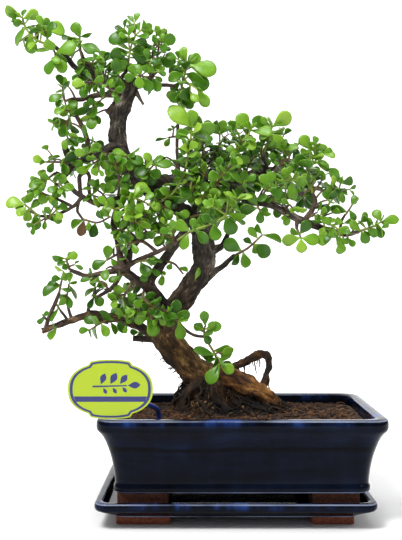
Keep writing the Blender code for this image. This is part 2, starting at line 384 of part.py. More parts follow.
        stems=[[(-159, 221, -34), (-161, 226, -35), (-162, 231, -36)], [(-160, 223, -34.5), (-154, 225, -36)]],
        blades=[(-162, 231, -175, 232, -2, 45), (-162, 231, -151, 235, -1, 25), (-161, 228, -170, 225, -4, 20),
                (-154, 225, -146, 221, -2, 50), (-154, 225, -150, 230, 3, 50), (-160, 224, -165, 222, -8, 20),
                (-161, 228, -155, 236, 4, 40)]),
    "trunk_right": dict(
        fused=True,
        stems=[[(-31, 157, -37), (-33, 163, -38), (-31, 168, -38)]],
        blades=[(-31, 168, -33, 182, -2, 20), (-32, 164, -16, 168, -2, 10), (-33, 164, -43, 167, 2, 60),
                (-33, 161, -27, 151, -3, 40)]),
    "trunk_foot": dict(
        fused=True,
        stems=[[(-27, 151, -35), (-25, 145, -37), (-20, 138, -39), (-18, 133, -40)]],
        blades=[(-18, 133, -28, 113, -3, 5), (-18, 133, -8, 146, -2, 15), (-18, 133, -5, 124, -3, 20),
                (-22, 140, -42, 147, -3, 40), (-20, 138, -30, 133, 5, 50)]),
    "fork_tip": dict(
        stems=[[(-9, 257, 10), (-6, 264, 12), (0, 270, 14), (4, 279, 16)], [(-6, 264, 12), (-13, 268, 18)]],
        pairs=[(0, 4, 13, 30, 17), (1, 5, 13, 60, 15)]),
    "low_right_tip": dict(
        stems=[[(-3, 234.5, -14), (3, 238, -16), (9, 241, -17), (14, 244, -18), (18, 249, -18), (22, 253, -18)]],
        blades=[(3, 238, -14, 247, -2, 40), (4, 238, 6, 222, -2, 30), (0, 236.5, -6, 225, -5, 30),
                (14, 244, 29, 234, -3, 20), (14, 244, 17, 235, 4, 40), (13, 244, 4, 250, 2, 30),
                (18, 249, 9, 260, -2, 20), (22, 253, 40, 247, -3, 35), (22, 253, 16, 263, 2, 75)]),
    "beam_front": dict(
        stems=[[(-18, 297, -6), (-20, 300, -18), (-18, 307, -25), (-12, 313, -29), (-6, 318, -31)],
               [(-20, 301, -19), (-30, 306, -24), (-38, 312, -26)]],
        pairs=[(0, 7, 12, 20, 17), (1, 5, 12, 50, 17)]),
    "beam_back": dict(
        stems=[[(-29, 304, 7), (-33, 316, 10), (-34, 328, 10), (-33, 340, 8), (-33, 349, 7)],
               [(-34, 316, 10), (-24, 324, 12), (-19, 335, 10), (-18, 347, 8)]],
        blades=[(-33, 349, -39, 364, -1, 30), (-33, 349, -27, 360, -1, 20), (-18, 347, -24, 359, 1, 65),
                (-18, 347, -13, 360, -2, 20)],
        pairs=[(0, 6, 13, 70, 17), (1, 8, 13, 30, 17)]),
    "upper_mid": dict(
        stems=[[(4, 306, 5), (0, 316, -4), (-2, 328, -8), (2, 340, -8), (-4, 352, -6)],
               [(1, 336, -8), (8, 343, -10), (10, 351, -10)]],
        blades=[(-4, 352, -9, 360, 0, 50), (-4, 352, 5, 356, -2, 30), (10, 351, -1, 366, -2, 20),
                (10, 351, 31, 346, -4, 30)],
        pairs=[(0, 6, 13, 30, 18), (1, 4, 12, 70, 15)]),
    "upper_right_tip": dict(
        stems=[[(22, 330, 17), (26, 338, 10), (30, 347, 5), (31, 354, 3)], [(25, 336, 12), (34, 333, 4)]],
        blades=[(31, 354, 49, 366, -2, 25), (31, 354, 12, 361, -2, 25), (30, 348, 42, 337, -5, 30),
                (30, 348, 43, 352, 3, 75), (30, 348, 19, 343, -4, 25)],
        pairs=[(0, 4, 13, 20, 18), (1, 4, 12, 70, 15)]),
    "far_stub_tip": dict(
        stems=[[(29, 312, 10), (33, 318, 4), (40, 322, 0), (47, 325, -2), (42, 332, -4)]],
        blades=[(42, 332, 56, 335, -3, 20), (42, 332, 34, 340, -3, 30)],
        pairs=[(0, 4, 13, 40, 17)]),
    "beam_top": dict(
        stems=[[(32, 280.5, -9), (34, 289, -14), (34, 298, -18), (40, 304, -20), (49, 304, -20)]],
        blades=[(49, 304, 41, 315, -2, 10), (49, 304, 51, 286, -3, 5), (49, 304, 64, 302, -3, 40),
                (34, 298, 19, 308, -3, 20), (34, 297, 42, 284, -4, 30), (34, 299, 23, 296, -5, 40),
                (34, 290, 26, 284, -4, 30), (42, 304, 33, 312, 4, 40), (49, 304, 56, 311, 4, 40)]),
    "beam_hang": dict(
        fused=True,
        stems=[[(16, 281, -15), (18, 278, -21), (20, 276, -22)]],
        blades=[(20, 277, 20, 264, -2, 10), (18, 278, 1, 275, -3, 40), (18, 279, 9, 292, -4, 20),
                (20, 276, 30, 272, 3, 45)]),
    "riser_top": dict(
        stems=[[(69, 292.5, -10), (66, 304, -8), (66, 318, -8), (67, 332, -8)],
               [(66, 316, -8), (72, 321, -11), (78, 329, -11)]],
        blades=[(67, 332, 58, 346, -1, 10), (67, 332, 83, 334, -3, 15), (78, 329, 90, 325, -2, 50),
                (72, 321, 84, 313, -3, 25), (66, 330, 57, 332, 4, 30), (66, 318, 52, 326, -3, 25)],
        pairs=[(0, 6, 13, 30, 18)]),
    "fork_right": dict(
        stems=[[(84, 281.5, -15), (89, 288, -14), (94, 296, -13), (95, 301, -13)]],
        blades=[(95, 301, 85, 315, -2, 10), (95, 301, 107, 305, 2, 50), (93, 296, 79, 301, 3, 65),
                (93, 296, 98, 284, -4, 15), (89, 288, 83, 298, -2, 30), (88, 287, 78, 291, -3, 20),
                (86, 284, 80, 276, -4, 25), (90, 290, 101, 292, 4, 30)]),
    "twig_right": dict(
        fused=True,
        stems=[[(100, 273, -17), (103, 278, -17), (106, 281, -17)]],
        blades=[(105, 280, 109, 290, -2, 10), (103, 277, 109, 267, -3, 15), (102, 277, 85, 285, 3, 40),
                (101, 275, 86, 277, -3, 45)]),
    "right_tip": dict(
        stems=[[(113, 256.5, -20), (119, 259, -21), (126, 261, -22), (133, 265, -22)]],
        blades=[(133, 265, 150, 269, -2, 35), (133, 265, 127, 277, 2, 30), (126, 261, 121, 269, -2, 30),
                (128, 262, 134, 250, -2, 20), (119, 259, 130, 253, -4, 40), (114, 257, 120, 245, -2, 50),
                (114, 257, 103, 265, -3, 25), (116, 258, 121, 250, 4, 20), (119, 259, 112, 267, 2, 75)]),
    "under_right": dict(
        fused=True,
        stems=[[(101, 252, -20), (102, 249.5, -23)]],
        blades=[(102, 250, 108, 242, -2, 5), (102, 250, 96, 243, -1, 20)]),
    "green_hang": dict(
        stems=[[(77, 277.5, -17), (80, 272, -21), (81, 266, -24), (80, 260, -26)],
               [(81, 266, -24), (88, 262, -26), (93, 257, -27), (95, 249, -28)]],
        blades=[(80, 260, 79, 243, -3, 5), (81, 266, 69, 264, -3, 60), (92, 259, 103, 257, -3, 20),
                (89, 261, 84, 252, 4, 30), (95, 249, 96, 235, -1, 60), (80, 271, 85, 280, -2, 50),
                (81, 266, 91, 268, -3, 40)]),
    "hang_round": dict(
        stems=[[(54, 258, -22), (57, 254, -25), (58, 250, -26)]],
        blades=[(58, 250, 59, 236, -2, 0), (57, 250, 41, 247, -2, 30), (58, 250, 75, 248, -3, 35),
                (57, 252, 48, 259, 3, 40), (57, 253, 66, 266, -3, 25)]),
    "beam_mid": dict(
        fused=True,
        stems=[[(43, 277, -16), (47, 281, -21), (50, 278, -24)]],
        blades=[(50, 278, 64, 277, -2, 40), (48, 280, 40, 287, -3, 30)]),
    "beam_low": dict(
        fused=True,
        stems=[[(41, 274, -17), (43, 271, -22)]],
        blades=[(43, 271, 46, 262, -2, 20)]),
    "inner_top": dict(
        stems=[[(-38, 289, -7), (-41, 292, -18), (-45, 296, -26), (-44, 303, -30)],
               [(-41, 292, -18), (-34, 288, -26), (-28, 288, -30)]],
        pairs=[(0, 8, 12, 20, 17), (1, 5, 12, 60, 17)]),
    "trunk_front": dict(
        stems=[[(-66, 283, -6), (-70, 279, -18), (-76, 275, -25), (-83, 272, -28)],
               [(-70, 279, -18), (-64, 274, -24), (-58, 272, -27)]],
        pairs=[(0, 8, 12, 70, 17), (1, 5, 12, 20, 15)]),
    "inner_side": dict(
        fused=True,
        stems=[[(-77, 221, -22), (-82, 221, -28), (-86, 219, -30)]],
        blades=[(-86, 219, -90, 209, -2, 30), (-83, 221, -74, 216, -4, 30), (-86, 219, -92, 224, 2, 50)]),
    "inner_hang": dict(
        fused=True,
        stems=[[(-75, 219, -22), (-72, 216, -26)]],
        blades=[(-72, 216, -72, 205, -2, 10)]),
    "inner_arc": dict(
        fused=True,
        stems=[[(-70, 228, -20), (-62, 227, -25), (-57, 222, -26), (-52, 216, -26)]],
        blades=[(-57, 222, -48, 219, -2, 50), (-62, 227, -66, 220, -3, 60)]),
    "inner_upper": dict(
        stems=[[(-58, 246, -20), (-63, 250, -27), (-70, 252, -30), (-76, 256, -31)]],
        blades=[(-70, 252, -80, 246, -3, 30), (-70, 252, -74, 244, 4, 20), (-63, 250, -61, 262, -3, 20),
                (-76, 256, -86, 251, 3, 40)],
        pairs=[(0, 4, 12, 20, 15)]),
    "trunk_leaf": dict(
        fused=True,
        stems=[[(-40, 208, -12), (-41, 211, -15)]],
        blades=[(-41, 211, -37, 222, -1, 5)]),
    "riser_top_leaves": dict(
        stems=[[(-113, 272, -18), (-116, 276, -28), (-122, 280, -34)],
               [(-115, 275, -25), (-108, 280, -32), (-101, 282, -36)]],
        pairs=[(0, 5, 12, 20, 17), (1, 5, 12, 60, 17)]),
    "back_low_tip": dict(
        stems=[[(-98, 190.5, 46), (-103, 186, 56), (-110, 184, 62)], [(-100, 189, 50), (-96, 198, 58), (-98, 204, 62)]],
        pairs=[(0, 5, 12, 20, 18), (1, 5, 12, 60, 18)]),
    "back_mid_tip": dict(
        stems=[[(-12, 282.5, 64), (-8, 292, 72), (-6, 304, 78), (-10, 316, 80)],
               [(-8, 292, 72), (4, 298, 80), (16, 304, 84)]],
        pairs=[(0, 6, 13, 20, 19), (1, 6, 13, 60, 19)]),
    "back_left_tip": dict(
        stems=[[(-136, 332, 60), (-146, 328, 66), (-157, 322, 70)], [(-140, 331, 62), (-148, 322, 56), (-156, 314, 52)]],
        pairs=[(0, 6, 13, 30, 18), (1, 6, 13, 70, 18)]),
    "back_right_tip": dict(
        stems=[[(38, 316, 58), (44, 324, 66), (40, 334, 70), (34, 342, 72)],
               [(44, 324, 66), (54, 322, 70), (64, 318, 70)]],
        pairs=[(0, 6, 13, 20, 19), (1, 6, 13, 60, 18)]),
    "back_top_tip": dict(
        stems=[[(-98, 408, 52), (-100, 400, 62), (-108, 394, 68), (-118, 392, 70)],
               [(-99, 404, 57), (-92, 398, 62), (-86, 396, 62)]],
        pairs=[(0, 5, 13, 30, 18), (1, 5, 13, 70, 18)]),
    "back_far_tip": dict(
        stems=[[(60, 292, 50), (68, 298, 58), (70, 308, 60)], [(66, 296, 55), (78, 294, 62), (88, 290, 64)]],
        pairs=[(0, 6, 13, 40, 18), (1, 6, 13, 10, 18)]),
    "back_centre": dict(
        stems=[[(14, 313, 44), (10, 324, 50), (6, 334, 54), (-2, 340, 56)], [(10, 324, 50), (22, 330, 54), (30, 336, 56)]],
        pairs=[(0, 6, 13, 20, 19), (1, 6, 13, 70, 18)]),
    "back_trunk": dict(
        stems=[[(-62, 284, 8), (-62, 288, 24), (-70, 294, 38), (-80, 302, 46)], [(-62, 288, 24), (-50, 290, 38),
               (-40, 296, 46)]],
        pairs=[(0, 8, 13, 30, 18), (1, 8, 13, 60, 18)]),
    "back_heart": dict(
        stems=[[(-106, 313, 28), (-102, 306, 40), (-94, 300, 48)], [(-103, 308, 36), (-110, 300, 46), (-114, 290, 50)]],
        pairs=[(0, 6, 13, 20, 18), (1, 6, 13, 60, 18)]),
    "back_beam": dict(
        stems=[[(-46, 305, 6), (-44, 312, 24), (-40, 324, 36), (-36, 336, 42)], [(-43, 315, 28), (-28, 316, 40),
               (-16, 322, 46)]],
        pairs=[(0, 8, 13, 70, 18), (1, 6, 13, 20, 18)]),
}


def seen(x, z, y):
    """The real place of a point read at (x, z) on the plane y = 0, when it lies at depth y."""
    ex, ey, ez = EYE
    k = (y - ey) / -ey
    return Vector((ex + (x - ex) * k, y, ez + (z - ez) * k))


def clear_scene():
    for obj in list(bpy.data.objects):
        bpy.data.objects.remove(obj, do_unlink=True)


def material(name, colour, roughness, metallic=0.0):
    mat = bpy.data.materials.new(name)
    mat.use_nodes = True
    shader = mat.node_tree.nodes["Principled BSDF"]
    shader.inputs["Base Color"].default_value = (*colour, 1.0)
    shader.inputs["Roughness"].default_value = roughness
    shader.inputs["Metallic"].default_value = metallic
    return mat


def add_object(name, verts, faces, mat):
    """A mesh object from points in millimetres."""
    mesh = bpy.data.meshes.new(name)
    mesh.from_pydata([Vector(v) * MM for v in verts], [], faces)
    mesh.materials.append(mat)
    bm = bmesh.new()
    bm.from_mesh(mesh)
    bmesh.ops.recalc_face_normals(bm, faces=bm.faces)
    bm.to_mesh(mesh)
    bm.free()
    obj = bpy.data.objects.new(name, mesh)
    bpy.context.scene.collection.objects.link(obj)
    return obj


def loft(rings):
    """Points and faces of a closed body through rings of equal count, with a flat cap at each end."""
    count = len(rings[0])
    verts = [p for ring in rings for p in ring]
    faces = [tuple(reversed(range(count)))]
    for row in range(len(rings) - 1):
        a, b = row * count, (row + 1) * count
        for i in range(count):
            j = (i + 1) % count
            faces.append((a + i, a + j, b + j, b + i))
    last = (len(rings) - 1) * count
    faces.append(tuple(range(last, last + count)))
    return verts, faces


def rounded_ring(half_x, half_y, radius, z, centre_x=0.0, corner=3):
    """A rectangle with round corners, as a ring of points at height z."""
    ring = []
    for quarter, (sx, sy) in enumerate(((1, 1), (-1, 1), (-1, -1), (1, -1))):
        for step in range(corner + 1):
            a = math.radians(90 * quarter + 90 * step / corner)
            ring.append((centre_x + sx * (half_x - radius) + radius * math.cos(a),
                         sy * (half_y - radius) + radius * math.sin(a), z))
    return ring


def smooth_path(points, spacing):
    """Points along a smooth curve through (x, y, z, thickness) rows, about a spacing apart."""
    rows = [Vector(p) for p in points]
    rows = [2 * rows[0] - rows[1]] + rows + [2 * rows[-1] - rows[-2]]
    path = []
    for i in range(1, len(rows) - 2):
        a, b, c, d = rows[i - 1:i + 3]
        steps = max(1, round((c - b).to_3d().length / spacing))
        for k in range(steps):
            t = k / steps
            path.append(0.5 * (2 * b + (c - a) * t + (2 * a - 5 * b + 4 * c - d) * t * t
                               + (3 * b - a - 3 * c + d) * t ** 3))
    path.append(rows[-2])
    return path


def thin_path(path, spacing, bend=180.0):
    """Both ends of a path, and each point a spacing on from the last one kept or past a bend in degrees."""
    kept = [path[0]]
    heading = (path[1] - path[0]).to_3d()
    for point, after in zip(path[1:-1], path[2:]):
        length = (point - kept[-1]).to_3d().length
        ahead = (after - point).to_3d()
        bent = length > 3.0 and heading.angle(ahead) > math.radians(bend)
        if bent or (length > spacing and (point - path[-1]).to_3d().length > spacing * 0.6):
            kept.append(point)
            heading = ahead
    return kept + [path[-1]]


def tube(path, sides, swell=None, phase=0.3):
    """A closed round body along a path of (x, y, z, thickness), its ends flat."""
    centres = [p.to_3d() for p in path]
    side = None
    rings = []
    for i, centre in enumerate(centres):
        ahead = centres[min(i + 1, len(centres) - 1)] - centres[max(i - 1, 0)]
        ahead.normalize()
        if side is None:
            side = ahead.orthogonal().normalized()
        side = (side - ahead * side.dot(ahead)).normalized()
        across = ahead.cross(side)
        ring = []
        for k in range(sides):
            a = phase + 2 * math.pi * k / sides
            r = path[i][3] / 2 * (swell(i, a) if swell else 1.0)
            ring.append(centre + (side * math.cos(a) + across * math.sin(a)) * r)
        rings.append(ring)
    return loft(rings)


def keep_largest(mesh):
    """Keep the largest closed skin, so that no sealed hollow or loose scrap stays."""
    bm = bmesh.new()
    bm.from_mesh(mesh)
    left, skins = set(bm.faces), []
    while left:
        skin, front = set(), [left.pop()]
        while front:
            face = front.pop()
            skin.add(face)
            for edge in face.edges:
                for other in edge.link_faces:
                    if other in left:
                        left.remove(other)
                        front.append(other)
        skins.append(skin)
    skins.sort(key=len)
    if len(skins) > 1:
        bmesh.ops.delete(bm, geom=[f for skin in skins[:-1] for f in skin], context="FACES")
    bm.to_mesh(mesh)
    bm.free()
    return len(skins) - 1


def fuse(body, pieces, solver="EXACT"):
    """Unite pieces with the body by one Boolean on a collection, then drop the pieces."""
    group = bpy.data.collections.new(body.name + "_parts")
    bpy.context.scene.collection.children.link(group)
    for piece in pieces:
        bpy.context.scene.collection.objects.unlink(piece)
        group.objects.link(piece)
    join = body.modifiers.new("join", "BOOLEAN")
    join.operation = "UNION"
    join.operand_type = "COLLECTION"
    join.collection = group
    join.solver = solver
    bpy.context.view_layer.update()
    graph = bpy.context.evaluated_depsgraph_get()
    mesh = bpy.data.meshes.new_from_object(body.evaluated_get(graph))
    body.modifiers.clear()
    body.data = mesh
    dropped = keep_largest(mesh)
    for piece in list(group.objects):
        bpy.data.objects.remove(piece, do_unlink=True)
    bpy.data.collections.remove(group)
    print(body.name, "triangles", sum(len(f.vertices) - 2 for f in mesh.polygons), "skins dropped", dropped)
    return body


def cut(body, cutters):
    """Take each cutter out of the body."""
    for cutter in cutters:
        hole = body.modifiers.new("hole", "BOOLEAN")
        hole.operation = "DIFFERENCE"
        hole.object = cutter
        hole.solver = "EXACT"
    bpy.context.view_layer.update()
    graph = bpy.context.evaluated_depsgraph_get()
    mesh = bpy.data.meshes.new_from_object(body.evaluated_get(graph))
    body.modifiers.clear()
    body.data = mesh
    for cutter in cutters:
        bpy.data.objects.remove(cutter, do_unlink=True)
    return body


def foot(name, x0, x1, y0, y1, z0, z1, mat):
    ring = [(x0, y0), (x1, y0), (x1, y1), (x0, y1)]
    verts, faces = loft([[(x, y, z0) for x, y in ring], [(x, y, z1) for x, y in ring]])
    return add_object(name, verts, faces, mat)


def make_pot():
    mat = material("Navy glaze", (0.010, 0.017, 0.045), 0.12)
    outer = [rounded_ring(LIP_X / 2 - i, LIP_Y / 2 - i, POT_CORNER, z) for z, i in POT_SIDE]
    top = [rounded_ring(LIP_X / 2 - i, LIP_Y / 2 - i, POT_CORNER - i / 2, z)
           for z, i in ((92.8, 0.9), (LIP_TOP, 2.6), (LIP_TOP, LIP_WIDTH - 1.4), (92.8, LIP_WIDTH))]
    inner = [rounded_ring(LIP_X / 2 - i - WALL, LIP_Y / 2 - i - WALL, POT_CORNER - 5, z)
             for z, i in ((86.0, 4.0), (77.3, 6.5), (68.0, 9.5), (57.7, 12.5), (46.0, 14.5), (POT_FLOOR, 16.0))]
    verts, faces = loft(outer + top + inner)
    pot = add_object("pot", verts, faces, mat)
    feet = []
    for n, (x0, x1) in enumerate(POT_FEET_X):
        for m, sign in enumerate((-1, 1)):
            ys = sorted((sign * POT_FOOT_Y[0], sign * POT_FOOT_Y[1]))
            feet.append(foot(f"pot_foot_{n}{m}", x0, x1, *ys, TRAY_FLOOR + GAP, POT_BOTTOM + 2.0, mat))
    fuse(pot, feet)
    holes = []
    for x in DRAIN_X:
        bpy.ops.mesh.primitive_cylinder_add(vertices=16, radius=DRAIN_HOLE / 2 * MM, depth=0.02,
                                            location=(x * MM, 0, 0.032))
        holes.append(bpy.context.object)
    return cut(pot, holes)


def make_tray():
    mat = material("Navy glaze tray", (0.012, 0.020, 0.050), 0.15)
    outer = [rounded_ring(TRAY_X / 2 - i, TRAY_Y / 2 - i, TRAY_CORNER, z, TRAY_OFFSET) for z, i in TRAY_SIDE]
    top = [rounded_ring(TRAY_X / 2 - i, TRAY_Y / 2 - i, TRAY_CORNER - 1, z, TRAY_OFFSET)
           for z, i in ((22.2, 0.7), (TRAY_TOP, 1.8), (TRAY_TOP, 5.6), (21.9, 6.6))]
    inner = [rounded_ring(TRAY_X / 2 - i, TRAY_Y / 2 - i, TRAY_CORNER - 3, z, TRAY_OFFSET)
             for z, i in ((19.0, 7.2), (16.0, 8.2), (TRAY_FLOOR, 9.6))]
    verts, faces = loft(outer + top + inner)
    tray = add_object("tray", verts, faces, mat)
    feet = []
    for n, (x0, x1) in enumerate(TRAY_FEET_X):
        for m, sign in enumerate((-1, 1)):
            ys = sorted((sign * TRAY_FOOT_Y[0], sign * TRAY_FOOT_Y[1]))
            feet.append(foot(f"tray_foot_{n}{m}", x0, x1, *ys, 0.0, 9.0, mat))
    return fuse(tray, feet)


def ball_ring(grow, z):
    """The root ball's oval outline at height z, wider by grow."""
    x, y, half_x, half_y = BALL
    return [(x + (half_x + grow) * math.cos(a), y + (half_y + grow) * math.sin(a), z)
            for a in (2 * math.pi * k / BALL_SIDES for k in range(BALL_SIDES))]


def make_soil():
    """Soil that fills the pot, with a plain hollow for the root ball and a hole for the stake."""
    mat = material("Peat soil", (0.045, 0.026, 0.015), 0.95)

    def box_ring(half_x, half_y, z):
        ring = []
        for k in range(BALL_SIDES):
            a = 2 * math.pi * k / BALL_SIDES
            c, s = math.cos(a), math.sin(a)
            r = (abs(c / half_x) ** 8 + abs(s / half_y) ** 8) ** (-1 / 8)
            ring.append((c * r, s * r, z))
        return ring

    wall = [box_ring(LIP_X / 2 - i - WALL - GAP - 0.4, LIP_Y / 2 - i - WALL - GAP - 0.4, z)
            for z, i in ((POT_FLOOR + 1.8, 16.0), (46.0, 14.6), (57.7, 12.7), (68.0, 9.8), (77.3, 6.9))]
    edge = box_ring(LIP_X / 2 - 4.6 - WALL - GAP, LIP_Y / 2 - 4.6 - WALL - GAP, SOIL_EDGE)
    hollow = ball_ring(GAP, SOIL_CROWN)
    top = []
    for share in (0.0, 0.3, 0.6, 0.85, 1.0):
        ring = []
        for k, (a, b) in enumerate(zip(edge, hollow)):
            x, y = a[0] + (b[0] - a[0]) * share, a[1] + (b[1] - a[1]) * share
            lump = 0.9 * math.sin(x * 0.11 + 1.3 * math.sin(y * 0.09)) + 0.6 * math.sin(y * 0.17 + x * 0.05)
            z = SOIL_EDGE + (SOIL_CROWN - SOIL_EDGE) * share ** 1.5
            ring.append((x, y, z + lump * (0.3 + 0.7 * math.sin(math.pi * share))))
        top.append(ring)
    verts, faces = loft(wall + top + [ball_ring(GAP, BALL_BOTTOM - GAP)])
    soil = add_object("soil", verts, faces, mat)
    bpy.ops.mesh.primitive_cylinder_add(vertices=14, radius=(STAKE_R + 0.5) * MM, depth=0.06,
                                        location=(STAKE_AT[0] * MM, STAKE_AT[1] * MM, 0.0855))
    return cut(soil, [bpy.context.object])


def bark_swell(i, a):
    """Shallow ridges and swellings of the bark round the trunk."""
    return 1 + 0.05 * math.sin(3 * a + i * 0.7) + 0.04 * math.sin(5 * a - i * 0.45) + 0.04 * math.sin(i * 1.3)


def limb_path(rows, spacing=None):
    points = [(*seen(x, z, y), d) for x, z, y, d in rows]
    return thin_path(smooth_path(points, 2.0), spacing or max(LIMB_STEP, 2.0 * rows[0][3]))


def make_wood(mat):
    """Pieces of the woody body: the root ball, the trunk and each limb and root."""
    mound = []
    for z, share, x_shift, ridges in ((BALL_BOTTOM, 1.0, 0, 0), (89.0, 1.0, 0, 0), (93.0, 0.90, -2, 0.04),
                                      (98.0, 0.76, -4, 0.09), (104.0, 0.65, -7, 0.10), (110.0, 0.56, -11, 0.10),
                                      (117.0, 0.44, -16, 0.08), (125.0, 0.33, -24, 0.06)):
        x, y, half_x, half_y = BALL
        ring = []
        for k in range(BALL_SIDES):
            a = 2 * math.pi * k / BALL_SIDES
            r = share * (1 - ridges + ridges * math.sin(7 * a + 0.05 * z) * math.sin(3 * a + 1))
            ring.append((x + x_shift + half_x * r * math.cos(a), y + half_y * r * math.sin(a), z))
        mound.append(ring)
    pieces = [add_object("trunk", *loft(mound), mat)]
    pieces.append(add_object("bole", *tube(limb_path(TRUNK, 13.0), 10, bark_swell), mat))
    for n, (name, rows) in enumerate(LIMBS.items()):
        thick = max(row[3] for row in rows)
        sides = 7 if thick > 7.5 else (5 if thick > 4.4 else 4)
        pieces.append(add_object(name, *tube(limb_path(rows), sides, phase=0.2 + 0.37 * n), mat))
    return pieces


def tree_of(obj):
    """A search tree of an object's faces, in millimetres."""
    mesh = obj.data
    return BVHTree.FromPolygons([v.co / MM for v in mesh.vertices], [tuple(f.vertices) for f in mesh.polygons])


def wood_axes():
    """Every straight piece of limb and trunk axis: its ends, and the thickness at each."""
    axes = []
    for rows in [TRUNK] + list(LIMBS.values()):
        path = limb_path(rows)
        axes += [(a.to_3d(), b.to_3d(), a[3], b[3], i == len(path) - 2)
                 for i, (a, b) in enumerate(zip(path, path[1:]))]
    return axes


def nearest_on(axes, point):
    """The nearest axis point to a point: place, thickness, direction there and whether it ends there."""
    best = None
    for a, b, da, db, last in axes:
        t = max(0.0, min(1.0, (point - a).dot(b - a) / (b - a).length_squared))
        place = a.lerp(b, t)
        gap = (point - place).length - (da + (db - da) * t) / 2
        if best is None or gap < best[0]:
            best = (gap, place, da + (db - da) * t, (b - a).normalized(), last and t > 0.98)
    return best[1:]


def stem_path(points, d0, d1):
    """A stem's smooth path through its points, its thickness running from d0 to d1."""
    count = len(points) - 1
    path = smooth_path([(*p, d0 + (d1 - d0) * i / count) for i, p in enumerate(points)], 2.0)
    return thin_path(path, STEM_STEP, 42.0)


def seat(points, axes, d0, d1, fused, wood):
    """Start a stem on the wood: inside it where it is fused, else at the first place that is clear of it."""
    place, thick, along, at_end = nearest_on(axes, points[0])
    out = (points[1] - place).normalized()
    if fused:
        return [place - along * 1.5 if at_end else place + out * max(0.0, thick / 2 - 1.2)] + points[1:]
    for step in range(120):
        trial = [place + out * 0.2 * step] + points[1:]
        path = [p + Vector((0, 0, 0, 2 * GAP)) for p in stem_path(trial, d0, d1)]
        path[0] = path[0] + Vector((*((path[0] - path[1]).to_3d().normalized() * GAP), 0))
        grown = BVHTree.FromPolygons(*tube(path, 3))
        if not any(grown.overlap(other) for other in wood):
            break
    return trial


def leaf(base, tip, face, inflate=0.0):
    """Points and faces of one fleshy leaf: an obovate blade, flat above and keeled below."""
    along = tip - base
    length = along.length
    along.normalize()
    across = along.cross(face).normalized()
    up = across.cross(along).normalized()
    half = LEAF_ASPECT * length / 2 + inflate
    thick = LEAF_T * (0.6 + 0.4 * min(1.0, length / 16)) + inflate
    droop = -0.10 * length

    def at(t, s, h):
        return base + along * t * (length + inflate) + across * s * half + up * (h + droop * t * t)

    left = [at(t, -w, 0.3 * thick + inflate) for t, w in LEAF_OUTLINE]
    right = [at(t, w, 0.3 * thick + inflate) for t, w in reversed(LEAF_OUTLINE)]
    verts = [base - along * 0.3] + left + right + [at(0.55, 0, -0.7 * thick)]
    faces = [(1, 0, 4), (2, 1, 4), (3, 2, 4)] + [(i, (i + 1) % 5, 5) for i in range(5)]
    return verts, faces


def stem_axes(stems):
    """Every straight piece of the stems, as wood_axes gives the wood's."""
    return [(a, b, 2.0, 2.0, False) for path in stems for a, b in zip(path, path[1:])]


def blade_leaves(stems, rows, rng):
    """The leaves that were read one by one from the front."""
    axes = stem_axes(stems)
    for x0, z0, x1, z1, depth, roll in rows:
        guess = min((seen(x0, z0, y) for y in range(-60, 60, 3)),
                    key=lambda p: (p - nearest_on(axes, p)[0]).length)
        base = nearest_on(axes, guess)[0]
        tip = seen(x1, z1, base.y + depth)
        view = (Vector(EYE) - base).normalized()
        roll = math.radians(roll + rng.uniform(-6, 6)) * rng.choice((-1, 1))
        face = Matrix.Rotation(roll, 3, (tip - base).normalized()) @ view
        yield base, tip, face


def pair_leaves(stems, rows, rng):
    """Opposite leaves by rule: each pair turned a quarter from the last, opening towards the tip."""
    for stem, first, step, turn, size in rows:
        path = stems[stem]
        lengths = [0.0]
        for a, b in zip(path, path[1:]):
            lengths.append(lengths[-1] + (b - a).length)
        total = lengths[-1]
        count = max(1, round((total - first) / (step * PAIR_STEP)))
        nodes = [total - 0.8 - n * (total - first) / count for n in reversed(range(count))]
        for n, at in enumerate(nodes):
            i = max(k for k in range(len(path) - 1) if lengths[k] <= at)
            ahead = (path[i + 1] - path[i]).normalized()
            base = path[i] + ahead * (at - lengths[i])
            side = ahead.orthogonal().normalized()
            spin = math.radians(turn + 90 * n + rng.uniform(-18, 18))
            side = Matrix.Rotation(spin, 3, ahead) @ side
            last = n == len(nodes) - 1
            for sign in (1, -1):
                spread = math.radians(rng.uniform(34, 48) if last else rng.uniform(56, 82))
                size_here = size * (0.72 if last else 1.0) * rng.uniform(0.85, 1.12)
                out = ahead * math.cos(spread) + side * sign * math.sin(spread)
                face = ahead * math.sin(spread) - side * sign * math.cos(spread)
                face = (face + Vector((0, -0.25, 0.35))).normalized()
                out = (out + Vector((0, 0, rng.uniform(-0.12, 0.12)))).normalized()
                yield base, base + out * size_here, face


def clear_of(base, tip, face, name, fused, placed):
    """Whether a leaf crosses nothing but its own stem and the leaf that it is paired with."""
    verts, faces = leaf(base, tip, face, GAP)
    tree = BVHTree.FromPolygons(verts, faces)
    beyond_base = BVHTree.FromPolygons(*leaf(base + (tip - base) * 0.14, tip, face, GAP))
    centre = sum(verts, Vector()) / len(verts)
    for other, other_centre, reach, owner, root in placed:
        if (centre - other_centre).length > reach + 14:
            continue
        if owner == name and (root is None or (root - verts[0]).length < PAIR_REACH):
            continue
        if (beyond_base if fused and owner == "wood" else tree).overlap(other):
            return False
    return True


